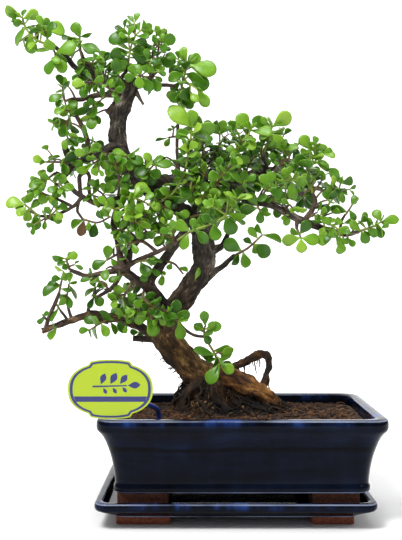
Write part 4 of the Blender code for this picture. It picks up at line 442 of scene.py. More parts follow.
# %% The limbs
TRUNK = [(-14, 84, 0, 40), (-20, 100, 0, 36), (-30, 115, -2, 31), (-44, 129, -4, 27), (-61, 146, -6, 24),
    (-72, 162, -6, 23), (-63, 181, -3, 22), (-47, 200, 0, 22), (-37, 217, 2, 22), (-32, 235, 4, 21),
    (-34, 252, 4, 19), (-41, 267, 3, 17), (-54, 277, 2, 14), (-74, 287, 2, 12.5), (-90, 301, 3, 13),
    (-104, 319, 4, 14), (-112, 338, 5, 14), (-113, 356, 5, 14), (-111, 372, 5, 18), (-103, 386, 4, 15),
    (-96, 398, 3, 9)]
LIMBS = {
    "buttress": [(-28, 124, -4, 11), (-20, 122, -10, 20), (-8, 118, -17, 21), (7, 112, -21, 18),
        (20, 105, -22, 15), (31, 97, -18, 12), (37, 88, -14, 8)],
    "arched_root": [(-20, 122, 0, 8), (-8, 129, 2, 7), (4, 133, 2, 6.5), (12, 138, 1, 6.5),
        (21, 141, 0, 7), (27, 138, -2, 6.5), (28, 130, -6, 6), (25, 120, -10, 6), (20, 106, -14, 6),
        (13, 94, -12, 6)],
    "left_root": [(-32, 120, -10, 8), (-38, 112, -17, 14), (-46, 104, -20, 12), (-51, 95, -18, 9),
        (-49, 86, -15, 7)],
    "front_root": [(-22, 118, -16, 8), (-20, 108, -27, 14), (-18, 100, -34, 11), (-14, 92, -37, 8),
        (-9, 84, -37, 6)],
    "back_root": [(-22, 112, 16, 9), (-18, 104, 28, 8), (-12, 94, 36, 7), (-8, 82, 36, 6)],
    "low_left": [(-72, 158, -6, 10), (-82, 161, -9, 9.5), (-95, 168, -12, 8), (-112, 174, -14, 8),
        (-128, 177, -16, 7.5), (-140, 178, -17, 7.5), (-150, 175, -18, 6.5), (-160, 172, -19, 6),
        (-170, 168, -20, 5.5), (-184, 163, -21, 5)],
    "cut_stub": [(-76, 155, -4, 7), (-99, 156, -2, 5.5)],
    "low_twig": [(-138, 178, -17, 5), (-132, 173, -17, 3.5), (-122, 170.5, -17, 3)],
    "upright": [(-181, 164, -21, 4), (-179, 172, -21, 4), (-175, 182, -21, 4), (-171, 191, -21, 3.5),
        (-168, 199, -21, 3)],
    "slant_a": [(-160, 172, -19, 4), (-163, 177, -20, 2.6), (-167, 182, -20, 2.4)],
    "slant_b": [(-156, 173, -19, 4), (-159, 182, -18, 2.6), (-162, 193, -18, 2.4)],
    "low_spur": [(-140, 178, -17, 5), (-141, 184, -18, 3.2), (-137, 190, -19, 2.6)],
    "cross": [(-56, 183, -6, 9), (-66, 186, -13, 8), (-71, 191, -16, 8), (-77, 197, -19, 9),
        (-84, 204, -21, 12), (-91, 208, -22, 9), (-98, 212, -23, 8), (-110, 221, -25, 8)],
    "knot": [(-109, 219, -26, 6), (-113, 221, -28, 7), (-118, 222, -28, 5)],
    "hanging": [(-64, 185, -14, 5), (-60, 178, -22, 3), (-56, 171, -27, 2.8), (-51, 165, -30, 2.8),
        (-46, 161, -31, 2.8), (-40, 158.5, -32, 2.8), (-31, 157, -33, 2.4), (-28, 152, -34, 2.2)],
    "droop": [(-110, 219, -26, 6), (-114, 210, -28, 4.5), (-118, 204, -29, 4.2), (-125, 199, -30, 3.6),
        (-133, 194.5, -31, 3)],
    "left_low": [(-112, 220, -26, 6), (-128, 217, -29, 4.8), (-142, 214.5, -32, 4.2), (-150, 217, -33, 4),
        (-158, 220, -34, 3.6)],
    "riser": [(-108, 219, -25, 7), (-111, 230, -23, 6.4), (-112, 240, -21, 6.2), (-114, 250, -18, 6),
        (-117, 260, -16, 6), (-117, 268, -14, 5.6), (-113, 282, -12, 5.4), (-113, 289, -11, 5)],
    "back_riser": [(-106, 217, -22, 9), (-104, 232, -12, 8), (-100, 242, -4, 8), (-94, 249, 2, 7.5),
        (-85, 254, 6, 7)],
    "front_cross": [(-108, 221, -26, 6), (-97, 228, -32, 4.6), (-83, 234, -36, 4.2), (-70, 240, -39, 3.6),
        (-58, 247.5, -42, 3)],
    "front_twig": [(-77, 237, -37, 4), (-88, 246, -36, 2.6), (-95, 250, -35, 2.6),
        (-101, 254.5, -34, 2.4)],
    "inner": [(-84, 204, -21, 10), (-82, 213, -20, 9.5), (-76, 221, -19, 9), (-66, 235, -17, 8.5),
        (-56, 249, -15, 8), (-51, 258, -13, 7.5), (-49, 268, -10, 7.5), (-40, 279, -6, 7),
        (-38, 292, -3, 6), (-37, 302, 1, 6)],
    "low_right": [(-34, 210, 0, 9), (-22, 219, -6, 6), (-15, 224, -10, 4.6), (-4, 233.5, -14, 3.6)],
    "fork": [(-27, 238, 4, 10), (-17, 242, 6, 6), (-13, 248, 7, 4.6), (-10, 256, 9, 3.4)],
    "beam": [(-88, 299, 3, 10), (-70, 304, 1, 9), (-55, 304, 0, 9), (-40, 302, 0, 9), (-25, 298, -1, 10),
        (-8, 296, -4, 8.5), (2, 290, -7, 8), (12, 284.5, -10, 8), (24, 283, -12, 7.5), (38, 277, -14, 7),
        (55, 268, -16, 7), (65, 264, -17, 7), (76, 260, -18, 6), (86, 257, -18, 5), (97, 253.5, -18, 4.4),
        (105, 254, -19, 4), (112, 256, -20, 3.4)],
    "upper_right": [(-18, 298, 1, 9), (-10, 303, 5, 7.5), (5, 304, 9, 7), (15, 308, 12, 6.5),
        (25, 310, 15, 6), (24, 320, 16, 5), (22, 329, 17, 4)],
    "far_stub": [(17, 309, 13, 5), (29, 311, 12, 4.4)],
    "right_riser": [(60, 265, -17, 6), (65, 271, -16, 5), (70, 279, -14, 4.6), (71, 286, -12, 4),
        (69, 291.5, -10, 3.6)],
    "right_fork": [(70, 278.5, -14, 4), (77, 279.5, -15, 3.4), (83, 280.5, -15, 3)],
    "right_twig": [(94, 254, -18, 4), (95.5, 263, -17, 2.6), (97, 268, -17, 2.6), (99.5, 272, -17, 2.4)],
    "under_spur": [(54, 268, -17, 4), (54, 259, -21, 3)],
    "dark_stem": [(-56, 303, 1, 5), (-56.5, 316, 3, 3.4), (-58, 332, 6, 3.2), (-57.5, 348, 8, 3),
        (-57, 361, 8, 3)],
    "mid_spur": [(-66, 303, -2, 4), (-72, 308, -6, 3.4)],
    "knuckle": [(-108, 333, 3, 10), (-118, 335, -2, 9), (-125, 332, -5, 9), (-131, 327, -7, 7),
        (-146, 323, -10, 6.4), (-156, 319, -13, 7)],
    "left_up": [(-139, 325, -8, 6), (-140.5, 334, -9, 5.4), (-143, 345, -10, 5), (-147, 355, -11, 4.6),
        (-152, 364, -12, 4)],
    "left_nub": [(-141, 336, -9, 3.4), (-147, 335, -10, 2.6)],
    "left_crook": [(-163, 335, -15, 6), (-160, 327, -14, 7), (-157, 318, -13, 7), (-160, 312, -15, 6),
        (-165, 307.5, -17, 5.6), (-172, 310.5, -19, 4.8)],
    "left_mid": [(-113, 287, -12, 5.4), (-118, 286, -13, 5), (-127, 282, -15, 5), (-133, 282, -16, 5),
        (-140, 285, -17, 5), (-147, 289, -18, 5), (-153, 293, -19, 4.6), (-160, 300, -19, 5),
        (-166, 307, -18, 5)],
    "left_out": [(-147, 288.5, -18, 4), (-152, 282, -20, 3.6), (-158, 277.5, -21, 3.2),
        (-166, 273.5, -22, 3), (-175, 270.5, -23, 2.8), (-187, 270.5, -24, 2.6)],
    "left_out_up": [(-155, 279, -21, 3.4), (-165, 284, -23, 3), (-176, 289, -25, 2.8)],
    "left_drop": [(-150, 283, -19, 3), (-151, 275, -20, 2.6), (-146, 267.5, -20, 2.4)],
    "post_a": [(-148, 290, -18, 4.4), (-149, 300, -16, 4), (-149, 308, -14, 4), (-143, 311.5, -13, 4),
        (-140, 308, -13, 3.6), (-140.5, 298, -15, 3.4), (-139, 286, -17, 3.4)],
    "top_left": [(-112, 384, 2, 7), (-124, 384, -4, 5.6), (-135, 383, -9, 5), (-148, 379.5, -12, 4.4),
        (-157, 380, -14, 3.6)],
    "collar": [(-117, 373, 4, 7), (-123, 367, 1, 6)],
    "long_left": [(-104, 388, 0, 8), (-122, 393, -4, 6), (-143, 401, -8, 5.4), (-150, 407, -9, 5),
        (-157, 414, -10, 4.6), (-162, 420, -11, 4.2), (-170, 427, -12, 3.8), (-177, 430.5, -13, 3.4)],
    "long_side": [(-134, 398, -7, 5), (-137, 406, -8, 3.8), (-141, 411, -8, 3.4), (-145, 417.5, -9, 3),
        (-148, 424.5, -9, 2.6)],
    "top_spur": [(-104, 392, -2, 6), (-110, 399, -5, 4), (-106, 405, -7, 3.4), (-104, 409, -8, 3)],
    "top_twigs": [(-95, 394, 0, 6), (-86, 398, -2, 4), (-80, 404, -3, 3.4), (-79, 409, -4, 3.2)],
    "top_right": [(-100, 391, 3, 6), (-84, 393, 1, 3.8), (-70, 393, 0, 3.6), (-60, 392, -1, 3.2)],
    "top_hang": [(-96, 386, 2, 5), (-92, 379, 0, 2.8), (-89.5, 375, -1, 2.4)],
    "back_low": [(-70, 165, 2, 10), (-82, 174, 20, 7), (-92, 182, 34, 5.4), (-98, 190, 46, 4)],
    "back_mid": [(-34, 240, 8, 10), (-26, 256, 26, 7.5), (-18, 270, 46, 6), (-12, 282, 64, 4.6)],
    "back_left": [(-92, 303, 5, 9), (-106, 312, 24, 6.6), (-122, 322, 44, 5.4), (-136, 332, 60, 4)],
    "back_right": [(-20, 298, 2, 8), (-4, 306, 22, 6.4), (16, 312, 42, 5.4), (38, 316, 58, 4)],
    "back_top": [(-108, 374, 8, 9), (-104, 386, 24, 6), (-100, 398, 40, 4.6), (-98, 408, 52, 3.6)],
    "back_far": [(14, 285, -6, 6), (30, 286, 14, 5), (46, 288, 34, 4.4), (60, 292, 50, 3.6)],
}


def seen(x, z, y):
    """The real place of a point read at (x, z) on the plane y = 0, when it lies at depth y."""
    k = (y - EYE.y) / -EYE.y
    return Vector((EYE.x + (x - EYE.x) * k, y, EYE.z + (z - EYE.z) * k))


print("limbs and roots:", len(LIMBS) + 1)

# %% [markdown]
# ## The shoots, as they were read
# A dwarf jade puts its leaves in pairs, each pair a quarter turn from the last. Leaves that could be told
# apart are listed one by one as blades: the base and the tip as the eye sees them, how much nearer or
# further the tip lies, and how far the leaf is rolled about its own line. Where leaves hide one another,
# a row of pairs says on which stem they stand, from where, how far apart, and how long the leaves are.

# %% The shoots
# stems: (x, z, y) points; the first stem starts on the wood and the rest on it.
# blades: base x, z and tip x, z as seen, depth of the tip before (-) or behind (+) its base, roll.
# pairs: stem number, first node, spacing, turn of the first pair, leaf length.
SPRAYS = {
    "far_tip": dict(
        stems=[[(-178, 431, -13), (-186, 433, -14), (-192, 437, -15), (-196, 441, -16), (-199, 446, -16),
            (-201, 452, -17), (-203, 457, -18)], [(-192, 437, -15), (-188, 441, -16), (-184, 445, -17)],
            [(-196, 441, -16), (-201, 435.5, -17), (-206, 433, -18)], [(-186, 433, -14),
            (-185, 441, -11)]],
        blades=[(-203, 456, -219, 466, -2, 15), (-202, 455, -187, 461, 2, 20),
            (-202, 453, -211, 450, -4, 30), (-199, 447, -189, 448, 6, 50), (-184, 445, -178, 456, 0, 15),
            (-184, 445, -163, 447, 3, 70), (-187, 442, -176, 443, -6, 40), (-200, 448, -209, 431, -3, 20),
            (-196, 440, -193, 422, 4, 20)]),
    "long_node": dict(fused=True,
        stems=[[(-174, 429, -14), (-173, 425, -19), (-171, 420, -20)]],
        blades=[(-171, 421, -178, 402, -3, 15), (-171, 420, -163, 405, -2, 20),
            (-173, 426, -190, 426, -4, 50), (-172, 423, -153, 431, -5, 25),
            (-173, 425, -160, 421, -10, 40)]),
    "upper_tip": dict(
        stems=[[(-148, 425, -9), (-149, 431, -9), (-149, 438, -9)], [(-148, 427, -9), (-154, 423, -8)]],
        blades=[(-149, 438, -155, 452, -2, 10), (-149, 438, -137, 441, 2, 25),
            (-149, 436, -166, 439, 5, 55), (-149, 435, -162, 434, 1, 40), (-149, 431, -135, 424, -5, 35),
            (-149, 431, -129, 428, 4, 20), (-154, 423, -158, 414, -2, 40), (-149, 431, -162, 426, -7, 30),
            (-154, 423, -163, 423, 3, 40)]),
    "upper_side": dict(fused=True,
        stems=[[(-139, 408, -10), (-138, 413, -13), (-135, 417, -14)], [(-138, 413, -13),
            (-144, 414, -12)]],
        blades=[(-135, 417, -126, 416, -3, 20), (-138, 413, -126, 410, -4, 40),
            (-144, 414, -155, 412, 3, 20), (-144, 414, -150, 402, -4, 20), (-135, 417, -138, 426, 4, 35)]),
    "left_hook": dict(
        stems=[[(-158, 380, -14), (-163, 379, -15), (-163.5, 385, -15), (-165, 391, -15)],
            [(-163, 379, -15), (-162, 374, -15)]],
        blades=[(-165, 391, -168, 404, 0, 45), (-164, 385, -177, 378, -4, 10),
            (-163, 380, -171, 373, -2, 30), (-162, 375, -154, 368, -3, 20), (-162, 374, -165, 363, 4, 35),
            (-161, 380, -152, 374, -6, 30)]),
    "left_fall": dict(
        stems=[[(-152, 365, -12), (-158, 364, -14), (-161, 356, -16), (-162, 348, -17), (-160, 343, -19)]],
        blades=[(-158, 364, -154, 377, 2, 20), (-157, 364, -140, 372, -3, 55),
            (-160, 361, -170, 367, 2, 35), (-160, 360, -174, 356, -2, 25), (-161, 357, -167, 345, -4, 30),
            (-162, 349, -184, 339, -2, 50), (-161, 348, -150, 343, -3, 10), (-160, 343, -165, 334, -3, 25),
            (-160, 343, -151, 336, -3, 25), (-157, 364, -147, 357, 3, 30)]),
    "left_bell": dict(fused=True,
        stems=[[(-136, 382, -10), (-136, 374, -13), (-136, 366, -14)]],
        blades=[(-136, 366, -138, 351, -2, 10), (-136, 374, -134, 361, -5, 60),
            (-136, 366, -147, 358, 3, 30), (-136, 374, -126, 376, 2, 30), (-136, 377, -146, 374, -3, 45),
            (-136, 367, -129, 357, 4, 50)]),
    "crown_left": dict(
        stems=[[(-127, 394, -6), (-131, 396, -18), (-137, 396, -24), (-143, 393, -28)], [(-131, 396, -18),
            (-124, 391, -24), (-117, 387, -28)]],
        blades=[(-141, 394, -148, 383, -4, 20), (-143, 393, -156, 397, -3, 35),
            (-137, 396, -127, 398, -5, 20)],
        pairs=[(0, 8, 13, 20, 17), (1, 7, 13, 70, 15)]),
    "crown_back": dict(
        stems=[[(-115, 391, 0), (-126, 398, 14), (-136, 403, 22), (-146, 405, 28)], [(-126, 398, 14),
            (-127, 407, 20), (-125, 416, 22)]],
        pairs=[(0, 12, 13, 40, 18), (1, 6, 13, 10, 17)]),
    "top_shoot": dict(
        stems=[[(-104, 410, -8), (-103, 415, -8), (-102, 424, -9), (-100, 432, -9), (-97, 439, -9),
            (-91, 445, -9)]],
        blades=[(-100, 433, -121, 440, -3, 40), (-92, 444, -81, 449, -2, 10), (-92, 444, -80, 440, 4, 50),
            (-93, 443, -94, 452, 5, 45), (-102, 424, -120, 421, -4, 15), (-101, 426, -91, 426, 4, 50),
            (-102, 423, -84, 416, -4, 40), (-99, 434, -85, 431, 4, 45), (-103, 414, -116, 408, -8, 25),
            (-103, 413, -92, 404, -8, 30), (-103, 414, -109, 421, 5, 35), (-103, 413, -97, 405, 5, 35)]),
    "top_pair": dict(
        stems=[[(-79, 409, -4), (-81, 418, -4), (-80, 427, -3), (-79, 435, -3), (-77, 441, -3)],
            [(-80, 413, -4), (-77, 417, -6), (-76, 424, -6), (-74, 431, -6), (-73.5, 438, -6)]],
        blades=[(-77, 441, -67, 444, -2, 10), (-77, 441, -80, 449, 4, 40), (-74, 433, -59, 437, -2, 20),
            (-80, 428, -92, 430, 3, 45), (-80, 430, -74, 433, 6, 45), (-77, 418, -73, 408, -4, 30),
            (-77, 419, -62, 412, -2, 30), (-81, 420, -91, 424, -3, 55), (-73.5, 438, -69, 446, -4, 40)]),
    "crown_right": dict(
        stems=[[(-84, 394, 0), (-83, 399, -8), (-80, 402, -13), (-76, 405, -16)], [(-82, 400, -10),
            (-88, 400, -15), (-95, 402, -18)]],
        blades=[(-77, 404, -88, 411, -2, 30), (-76, 405, -68, 403, -2, 30), (-82, 400, -74, 388, -5, 20),
            (-88, 400, -84, 388, -4, 40), (-95, 402, -107, 399, -3, 30), (-95, 402, -92, 390, -3, 30),
            (-80, 402, -71, 397, 3, 40), (-88, 400, -98, 392, 2, 40), (-95, 402, -102, 411, 2, 40)]),
    "right_crest": dict(
        stems=[[(-57, 363, 8), (-55, 372, 4), (-54, 384, 0), (-53, 395, -3), (-50, 405, -5),
            (-48.5, 413, -6)], [(-52, 398, -4), (-45, 395, -9), (-39, 389, -11)]],
        blades=[(-48, 413, -55, 428, -1, 75), (-48, 413, -36, 421, 0, 10), (-48, 412, -21, 407, -6, 20),
            (-49, 411, -58, 415, 5, 40), (-50, 408, -66, 405, 3, 30), (-51, 404, -66, 398, -4, 35),
            (-51, 404, -33, 396, -9, 25), (-49, 409, -29, 402, -3, 25), (-45, 395, -27, 394, -2, 40),
            (-39, 389, -29, 373, -2, 25), (-53, 392, -44, 373, -7, 15), (-54, 388, -62, 377, -5, 20),
            (-54, 386, -68, 382, 3, 60), (-54, 385, -42, 384, 6, 40), (-54, 380, -40, 378, 2, 30),
            (-55, 374, -66, 369, 2, 30)]),
    "bright_shoot": dict(
        stems=[[(-73, 285, -6), (-69, 287, -18), (-62, 292, -23), (-52, 308, -24), (-47, 330, -22),
            (-45, 345, -21), (-44, 354, -20)]],
        blades=[(-45, 354, -66, 372, -3, 20), (-44, 354, -44, 370, -3, 20), (-44, 354, -23, 350, -4, 40),
            (-45, 350, -59, 345, -3, 20), (-45, 346, -26, 341, -5, 30), (-51, 311, -64, 313, -2, 60),
            (-51, 310, -42, 302, -4, 50), (-57, 300, -71, 301, -2, 60), (-57, 299, -46, 288, -3, 50),
            (-47, 330, -40, 320, 4, 40), (-46, 338, -56, 330, 5, 50), (-45, 344, -36, 333, 3, 40)]),
    "stem_leaves": dict(fused=True,
        stems=[[(-58, 345, 8), (-62, 344, 7), (-66, 344, 6)], [(-62, 344, 7), (-61, 352, 6)]],
        blades=[(-66, 344, -78, 340, 1, 80), (-61, 352, -67, 351, -1, 10), (-64, 344, -69, 336, -1, 20),
            (-62, 344, -54, 335, -2, 50), (-61, 352, -55, 356, 3, 40)]),
    "bright_fork": dict(fused=True,
        stems=[[(-93, 305, -4), (-89, 309, -16), (-84, 312, -20), (-80, 318, -22)]],
        blades=[(-80, 318, -88, 330, -2, 15), (-80, 318, -63, 321, -3, 30), (-82, 315, -97, 309, -3, 50),
            (-84, 312, -73, 308, -4, 30), (-80, 318, -72, 328, 4, 50), (-86, 311, -80, 300, -3, 30)]),
    "trunk_node": dict(fused=True,
        stems=[[(-106, 322, -3), (-107, 324, -14), (-104, 327, -18)], [(-106.5, 323, -9),
            (-112, 319, -16)]],
        blades=[(-104, 327, -118, 332, -2, 25), (-104, 327, -92, 333, 0, 60),
            (-105, 326, -90, 320, -5, 30), (-112, 319, -122, 325, -3, 30), (-112, 319, -113, 308, -3, 25),
            (-106, 324, -97, 315, -2, 40)]),
    "left_arch": dict(
        stems=[[(-114, 289, -12), (-112, 300, -22), (-114, 313, -26), (-119, 328, -28), (-129, 324, -29),
            (-137, 319, -30)], [(-136, 320, -30), (-141, 329, -31)]],
        blades=[(-141, 329, -154, 330, -2, 10), (-141, 329, -130, 338, -1, 5),
            (-137, 319, -152, 312, -3, 30), (-130, 323, -122, 315, -3, 30), (-134, 321, -134, 308, -3, 30),
            (-119, 328, -110, 323, -3, 40), (-113, 305, -125, 297, -2, 20), (-113, 303, -104, 296, -4, 30),
            (-115, 315, -126, 310, 3, 45)]),
    "left_reach": dict(
        stems=[[(-157, 321, -17), (-160, 321, -23), (-166, 321, -25), (-173, 322, -26), (-181, 321, -27)]],
        blades=[(-181, 321, -193, 325, -1, 5), (-180, 322, -168, 328, 3, 80),
            (-166, 321, -152, 327, -2, 55), (-173, 322, -178, 312, -3, 40), (-166, 321, -160, 309, -3, 20),
            (-166, 321, -172, 330, 5, 50), (-160, 321, -148, 318, -2, 40)]),
    "left_bunch": dict(
        stems=[[(-173, 311, -20), (-178, 307, -26), (-183, 302, -29)], [(-178, 307, -26), (-173, 301, -32),
            (-167, 297, -34)]],
        blades=[(-183, 302, -197, 298, -2, 25), (-182, 303, -196, 304, 4, 40),
            (-180, 306, -187, 314, 4, 30), (-182, 303, -190, 289, -3, 20), (-173, 301, -172, 288, -2, 20),
            (-167, 297, -154, 297, -1, 5), (-169, 298, -163, 309, -2, 25), (-176, 304, -186, 309, -5, 50),
            (-170, 299, -178, 293, -5, 30), (-168, 298, -160, 288, 4, 30)]),
    "left_mid_tip": dict(fused=True,
        stems=[[(-177, 290, -25), (-184, 291, -27), (-190, 294, -28)]],
        blades=[(-190, 294, -200, 283, -3, 40), (-188, 293, -182, 283, -4, 20),
            (-180, 290, -172, 282, -3, 20), (-184, 291, -186, 281, 4, 30), (-190, 294, -199, 292, 3, 45)]),
    "out_tip": dict(
        stems=[[(-188, 271, -24), (-194, 275, -25), (-197, 278, -25), (-200, 281, -26)]],
        blades=[(-200, 281, -218, 286, -2, 25), (-200, 281, -193, 293, 1, 30),
            (-199, 280, -207, 270, -3, 15), (-197, 278, -199, 265, 3, 25), (-195, 276, -187, 286, 2, 50),
            (-191, 273, -191, 257, -2, 40)]),
    "out_mid": dict(fused=True,
        stems=[[(-181, 270, -24), (-181, 267, -28), (-177, 270, -30), (-171, 276, -30)]],
        blades=[(-181, 268, -182, 258, -2, 40), (-171, 276, -167, 268, -4, 30),
            (-171, 276, -172, 286, -2, 15), (-175, 272, -166, 264, 3, 40), (-171, 276, -161, 281, 2, 40)]),
    "drop_tip": dict(
        stems=[[(-146, 267, -20), (-141, 266, -21), (-134, 264, -22), (-126, 267, -24), (-120, 270, -25)]],
        blades=[(-141, 266, -140, 257, -3, 10), (-134, 264, -138, 251, -3, 20),
            (-145, 267, -157, 260, 3, 20), (-126, 267, -133, 276, -2, 20), (-120, 270, -130, 275, -4, 30),
            (-120, 270, -114, 279, -4, 15), (-122, 269, -124, 282, 3, 20), (-128, 266, -119, 260, 3, 40)]),
    "mid_post": dict(fused=True,
        stems=[[(-127, 283, -15), (-128, 289, -21), (-126, 292, -23)], [(-127.5, 287, -18),
            (-137, 290, -18)]],
        blades=[(-126, 292, -115, 296, -3, 30), (-126, 292, -128, 302, -1, 20),
            (-137, 290, -131, 299, -2, 10), (-137, 290, -146, 284, -3, 20), (-127, 287, -117, 284, -4, 25),
            (-137, 290, -130, 280, -4, 25)]),
    "front_bright": dict(
        stems=[[(-113, 282, -12), (-108, 287, -24), (-101, 288, -32), (-92, 285, -38), (-83, 281, -41)],
            [(-101, 288, -32), (-98, 281, -36), (-97, 274, -38)]],
        pairs=[(0, 10, 12, 30, 17), (1, 5, 13, 80, 15)]),
    "front_mid": dict(
        stems=[[(-117, 270, -16), (-110, 270, -26), (-102, 268, -31), (-93, 269, -34), (-85, 273, -35)]],
        pairs=[(0, 9, 12, 60, 17)]),
    "front_low": dict(
        stems=[[(-102, 255, -34), (-102, 262, -36), (-97, 266, -40), (-92, 262, -44)]],
        blades=[(-97, 266, -87, 260, -3, 40)],
        pairs=[(0, 3, 12, 20, 17)]),
    "riser_side": dict(fused=True,
        stems=[[(-115, 257, -17), (-112, 258, -26), (-107, 256, -29)]],
        blades=[(-107, 256, -110, 244, -3, 20), (-108, 256, -99, 249, -3, 30),
            (-110, 257, -106, 268, -3, 30), (-112, 258, -120, 254, -4, 60)]),
    "riser_left": dict(fused=True,
        stems=[[(-112, 236, -22), (-117, 233, -25), (-124, 229, -26)], [(-117, 233, -25),
            (-117, 241, -26)]],
        blades=[(-124, 230, -122, 243, -2, 30), (-117, 241, -129, 239, -2, 45),
            (-124, 229, -138, 224, -2, 45), (-123, 229, -134, 220, 2, 60), (-120, 231, -114, 224, -3, 50)]),
    "back_riser_tip": dict(
        stems=[[(-84, 254.5, 6), (-77, 258, 2), (-71, 263, -2), (-68, 271, -4)], [(-77, 258, 2),
            (-72, 252, -4)]],
        blades=[(-72, 252, -61, 249, -3, 15), (-72, 252, -76, 242, -3, 30)],
        pairs=[(0, 5, 12, 45, 17)]),
    "arm_green": dict(
        stems=[[(-57, 248, -42), (-43, 257, -45), (-26, 263, -48), (-12, 271, -50), (-5, 280, -50),
            (-2, 287, -50)], [(-12, 271, -50), (-19, 277, -52), (-25, 280, -52)]],
        blades=[(-45, 256, -59, 265, 4, 20), (-43, 257, -42, 268, -3, 15), (-47, 254, -53, 239, -3, 25),
            (-41, 258, -28, 246, -4, 15), (-24, 264, -21, 248, -3, 5), (-12, 270, -6, 254, -2, 10),
            (-11, 272, 6, 270, -3, 35), (-27, 263, -34, 272, -3, 40), (-25, 280, -34, 284, -2, 20),
            (-25, 280, -21, 290, -2, 40), (-2, 287, -12, 293, -3, 50), (-2, 287, 12, 291, -3, 55),
            (-5, 280, 2, 274, -5, 40), (-5, 279, -12, 284, 3, 30), (-19, 277, -15, 287, 5, 30)]),
    "knot_drop": dict(
        stems=[[(-88, 204, -27), (-90, 197, -31), (-87, 190, -33), (-79, 187, -35), (-70, 181, -36),
            (-61, 176, -36), (-57, 172, -36)], [(-87, 190, -33), (-87, 182, -36), (-84, 175, -37)]],
        blades=[(-57, 172, -53, 155, -2, 25), (-60, 176, -46, 181, -3, 30), (-61, 176, -66, 167, -3, 20),
            (-84, 175, -78, 158, -2, 45), (-84, 175, -98, 173, -2, 35), (-61, 177, -57, 192, -2, 45),
            (-86, 180, -76, 184, 3, 60), (-70, 181, -72, 171, 4, 30), (-88, 193, -98, 186, -3, 30)],
        pairs=[(0, 4, 12, 60, 15)]),
    "cross_under": dict(
        stems=[[(-99, 210, -26), (-103, 203, -32), (-107, 196, -35), (-108, 188, -36), (-104, 182, -36)]],
        pairs=[(0, 4, 12, 20, 17)]),
    "cross_back": dict(fused=True,
        stems=[[(-96, 209, -17), (-98, 200, -12), (-99, 190, -10), (-96, 182, -10)]],
        pairs=[(0, 6, 13, 70, 17)]),
    "low_twig_tip": dict(fused=True,
        stems=[[(-121, 170, -17), (-112, 172, -20), (-106, 177, -22)]],
        blades=[(-120, 170, -115, 160, -2, 45), (-112, 172, -106, 164, -3, 60),
            (-106, 177, -116, 184, -2, 20), (-106, 177, -98, 184, -3, 25), (-116, 171, -131, 180, -4, 35),
            (-106, 177, -101, 170, -4, 40)]),
    "low_spur_tip": dict(fused=True,
        stems=[[(-137, 191, -19), (-135, 197, -23), (-134, 204, -24)]],
        blades=[(-134, 204, -145, 196, -2, 40), (-134, 204, -123, 206, -3, 30),
            (-136, 195, -137, 208, -4, 50), (-135, 198, -128, 186, -3, 5), (-136, 195, -141, 184, -3, 40)]),
    "upright_tip": dict(
        stems=[[(-168, 200, -21), (-168, 206, -22), (-166, 213, -24), (-164, 219, -26)]],
        blades=[(-168, 205, -184, 197, -3, 25), (-168, 206, -180, 206, 3, 50),
            (-167, 212, -175, 213, -3, 35), (-164, 219, -162, 210, -4, 10), (-164, 219, -174, 222, 3, 40),
            (-168, 203, -157, 201, -2, 60), (-165, 216, -156, 216, 3, 40)]),
    "slant_tips": dict(fused=True,
        stems=[[(-167, 183, -20), (-170, 186, -21), (-172, 190, -22)]],
        blades=[(-170, 186, -187, 181, -3, 40), (-172, 190, -182, 186, 3, 20),
            (-169, 185, -175, 171, -3, 40), (-170, 186, -162, 192, -3, 35)]),
    "slant_top": dict(fused=True,
        stems=[[(-162, 194, -18), (-160, 201, -17), (-159, 207, -17)]],
        blades=[(-159, 206, -150, 195, -2, 45), (-159, 207, -152, 209, -3, 35),
            (-161, 197, -157, 184, -3, 30), (-159, 207, -156, 217, 3, 40), (-161, 198, -168, 192, 4, 30)]),
    "left_low_tip": dict(
        stems=[[(-159, 221, -34), (-161, 226, -35), (-162, 231, -36)], [(-160, 223, -34.5),
            (-154, 225, -36)]],
        blades=[(-162, 231, -175, 232, -2, 45), (-162, 231, -151, 235, -1, 25),
            (-161, 228, -170, 225, -4, 20), (-154, 225, -146, 221, -2, 50), (-154, 225, -150, 230, 3, 50),
            (-160, 224, -165, 222, -8, 20), (-161, 228, -155, 236, 4, 40)]),
    "trunk_right": dict(fused=True,
        stems=[[(-31, 157, -37), (-33, 163, -38), (-31, 168, -38)]],
        blades=[(-31, 168, -33, 182, -2, 20), (-32, 164, -16, 168, -2, 10), (-33, 164, -43, 167, 2, 60),
            (-33, 161, -27, 151, -3, 40)]),
    "trunk_foot": dict(fused=True,
        stems=[[(-27, 151, -35), (-25, 145, -37), (-20, 138, -39), (-18, 133, -40)]],
        blades=[(-18, 133, -28, 113, -3, 5), (-18, 133, -8, 146, -2, 15), (-18, 133, -5, 124, -3, 20),
            (-22, 140, -42, 147, -3, 40), (-20, 138, -30, 133, 5, 50)]),
    "fork_tip": dict(
        stems=[[(-9, 257, 10), (-6, 264, 12), (0, 270, 14), (4, 279, 16)], [(-6, 264, 12),
            (-13, 268, 18)]],
        pairs=[(0, 4, 13, 30, 17), (1, 5, 13, 60, 15)]),
    "low_right_tip": dict(
        stems=[[(-3, 234.5, -14), (3, 238, -16), (9, 241, -17), (14, 244, -18), (18, 249, -18),
            (22, 253, -18)]],
        blades=[(3, 238, -14, 247, -2, 40), (4, 238, 6, 222, -2, 30), (0, 236.5, -6, 225, -5, 30),
            (14, 244, 29, 234, -3, 20), (14, 244, 17, 235, 4, 40), (13, 244, 4, 250, 2, 30),
            (18, 249, 9, 260, -2, 20), (22, 253, 40, 247, -3, 35), (22, 253, 16, 263, 2, 75)]),
    "beam_front": dict(
        stems=[[(-18, 297, -6), (-20, 300, -18), (-18, 307, -25), (-12, 313, -29), (-6, 318, -31)],
            [(-20, 301, -19), (-30, 306, -24), (-38, 312, -26)]],
        pairs=[(0, 7, 12, 20, 17), (1, 5, 12, 50, 17)]),
    "beam_back": dict(
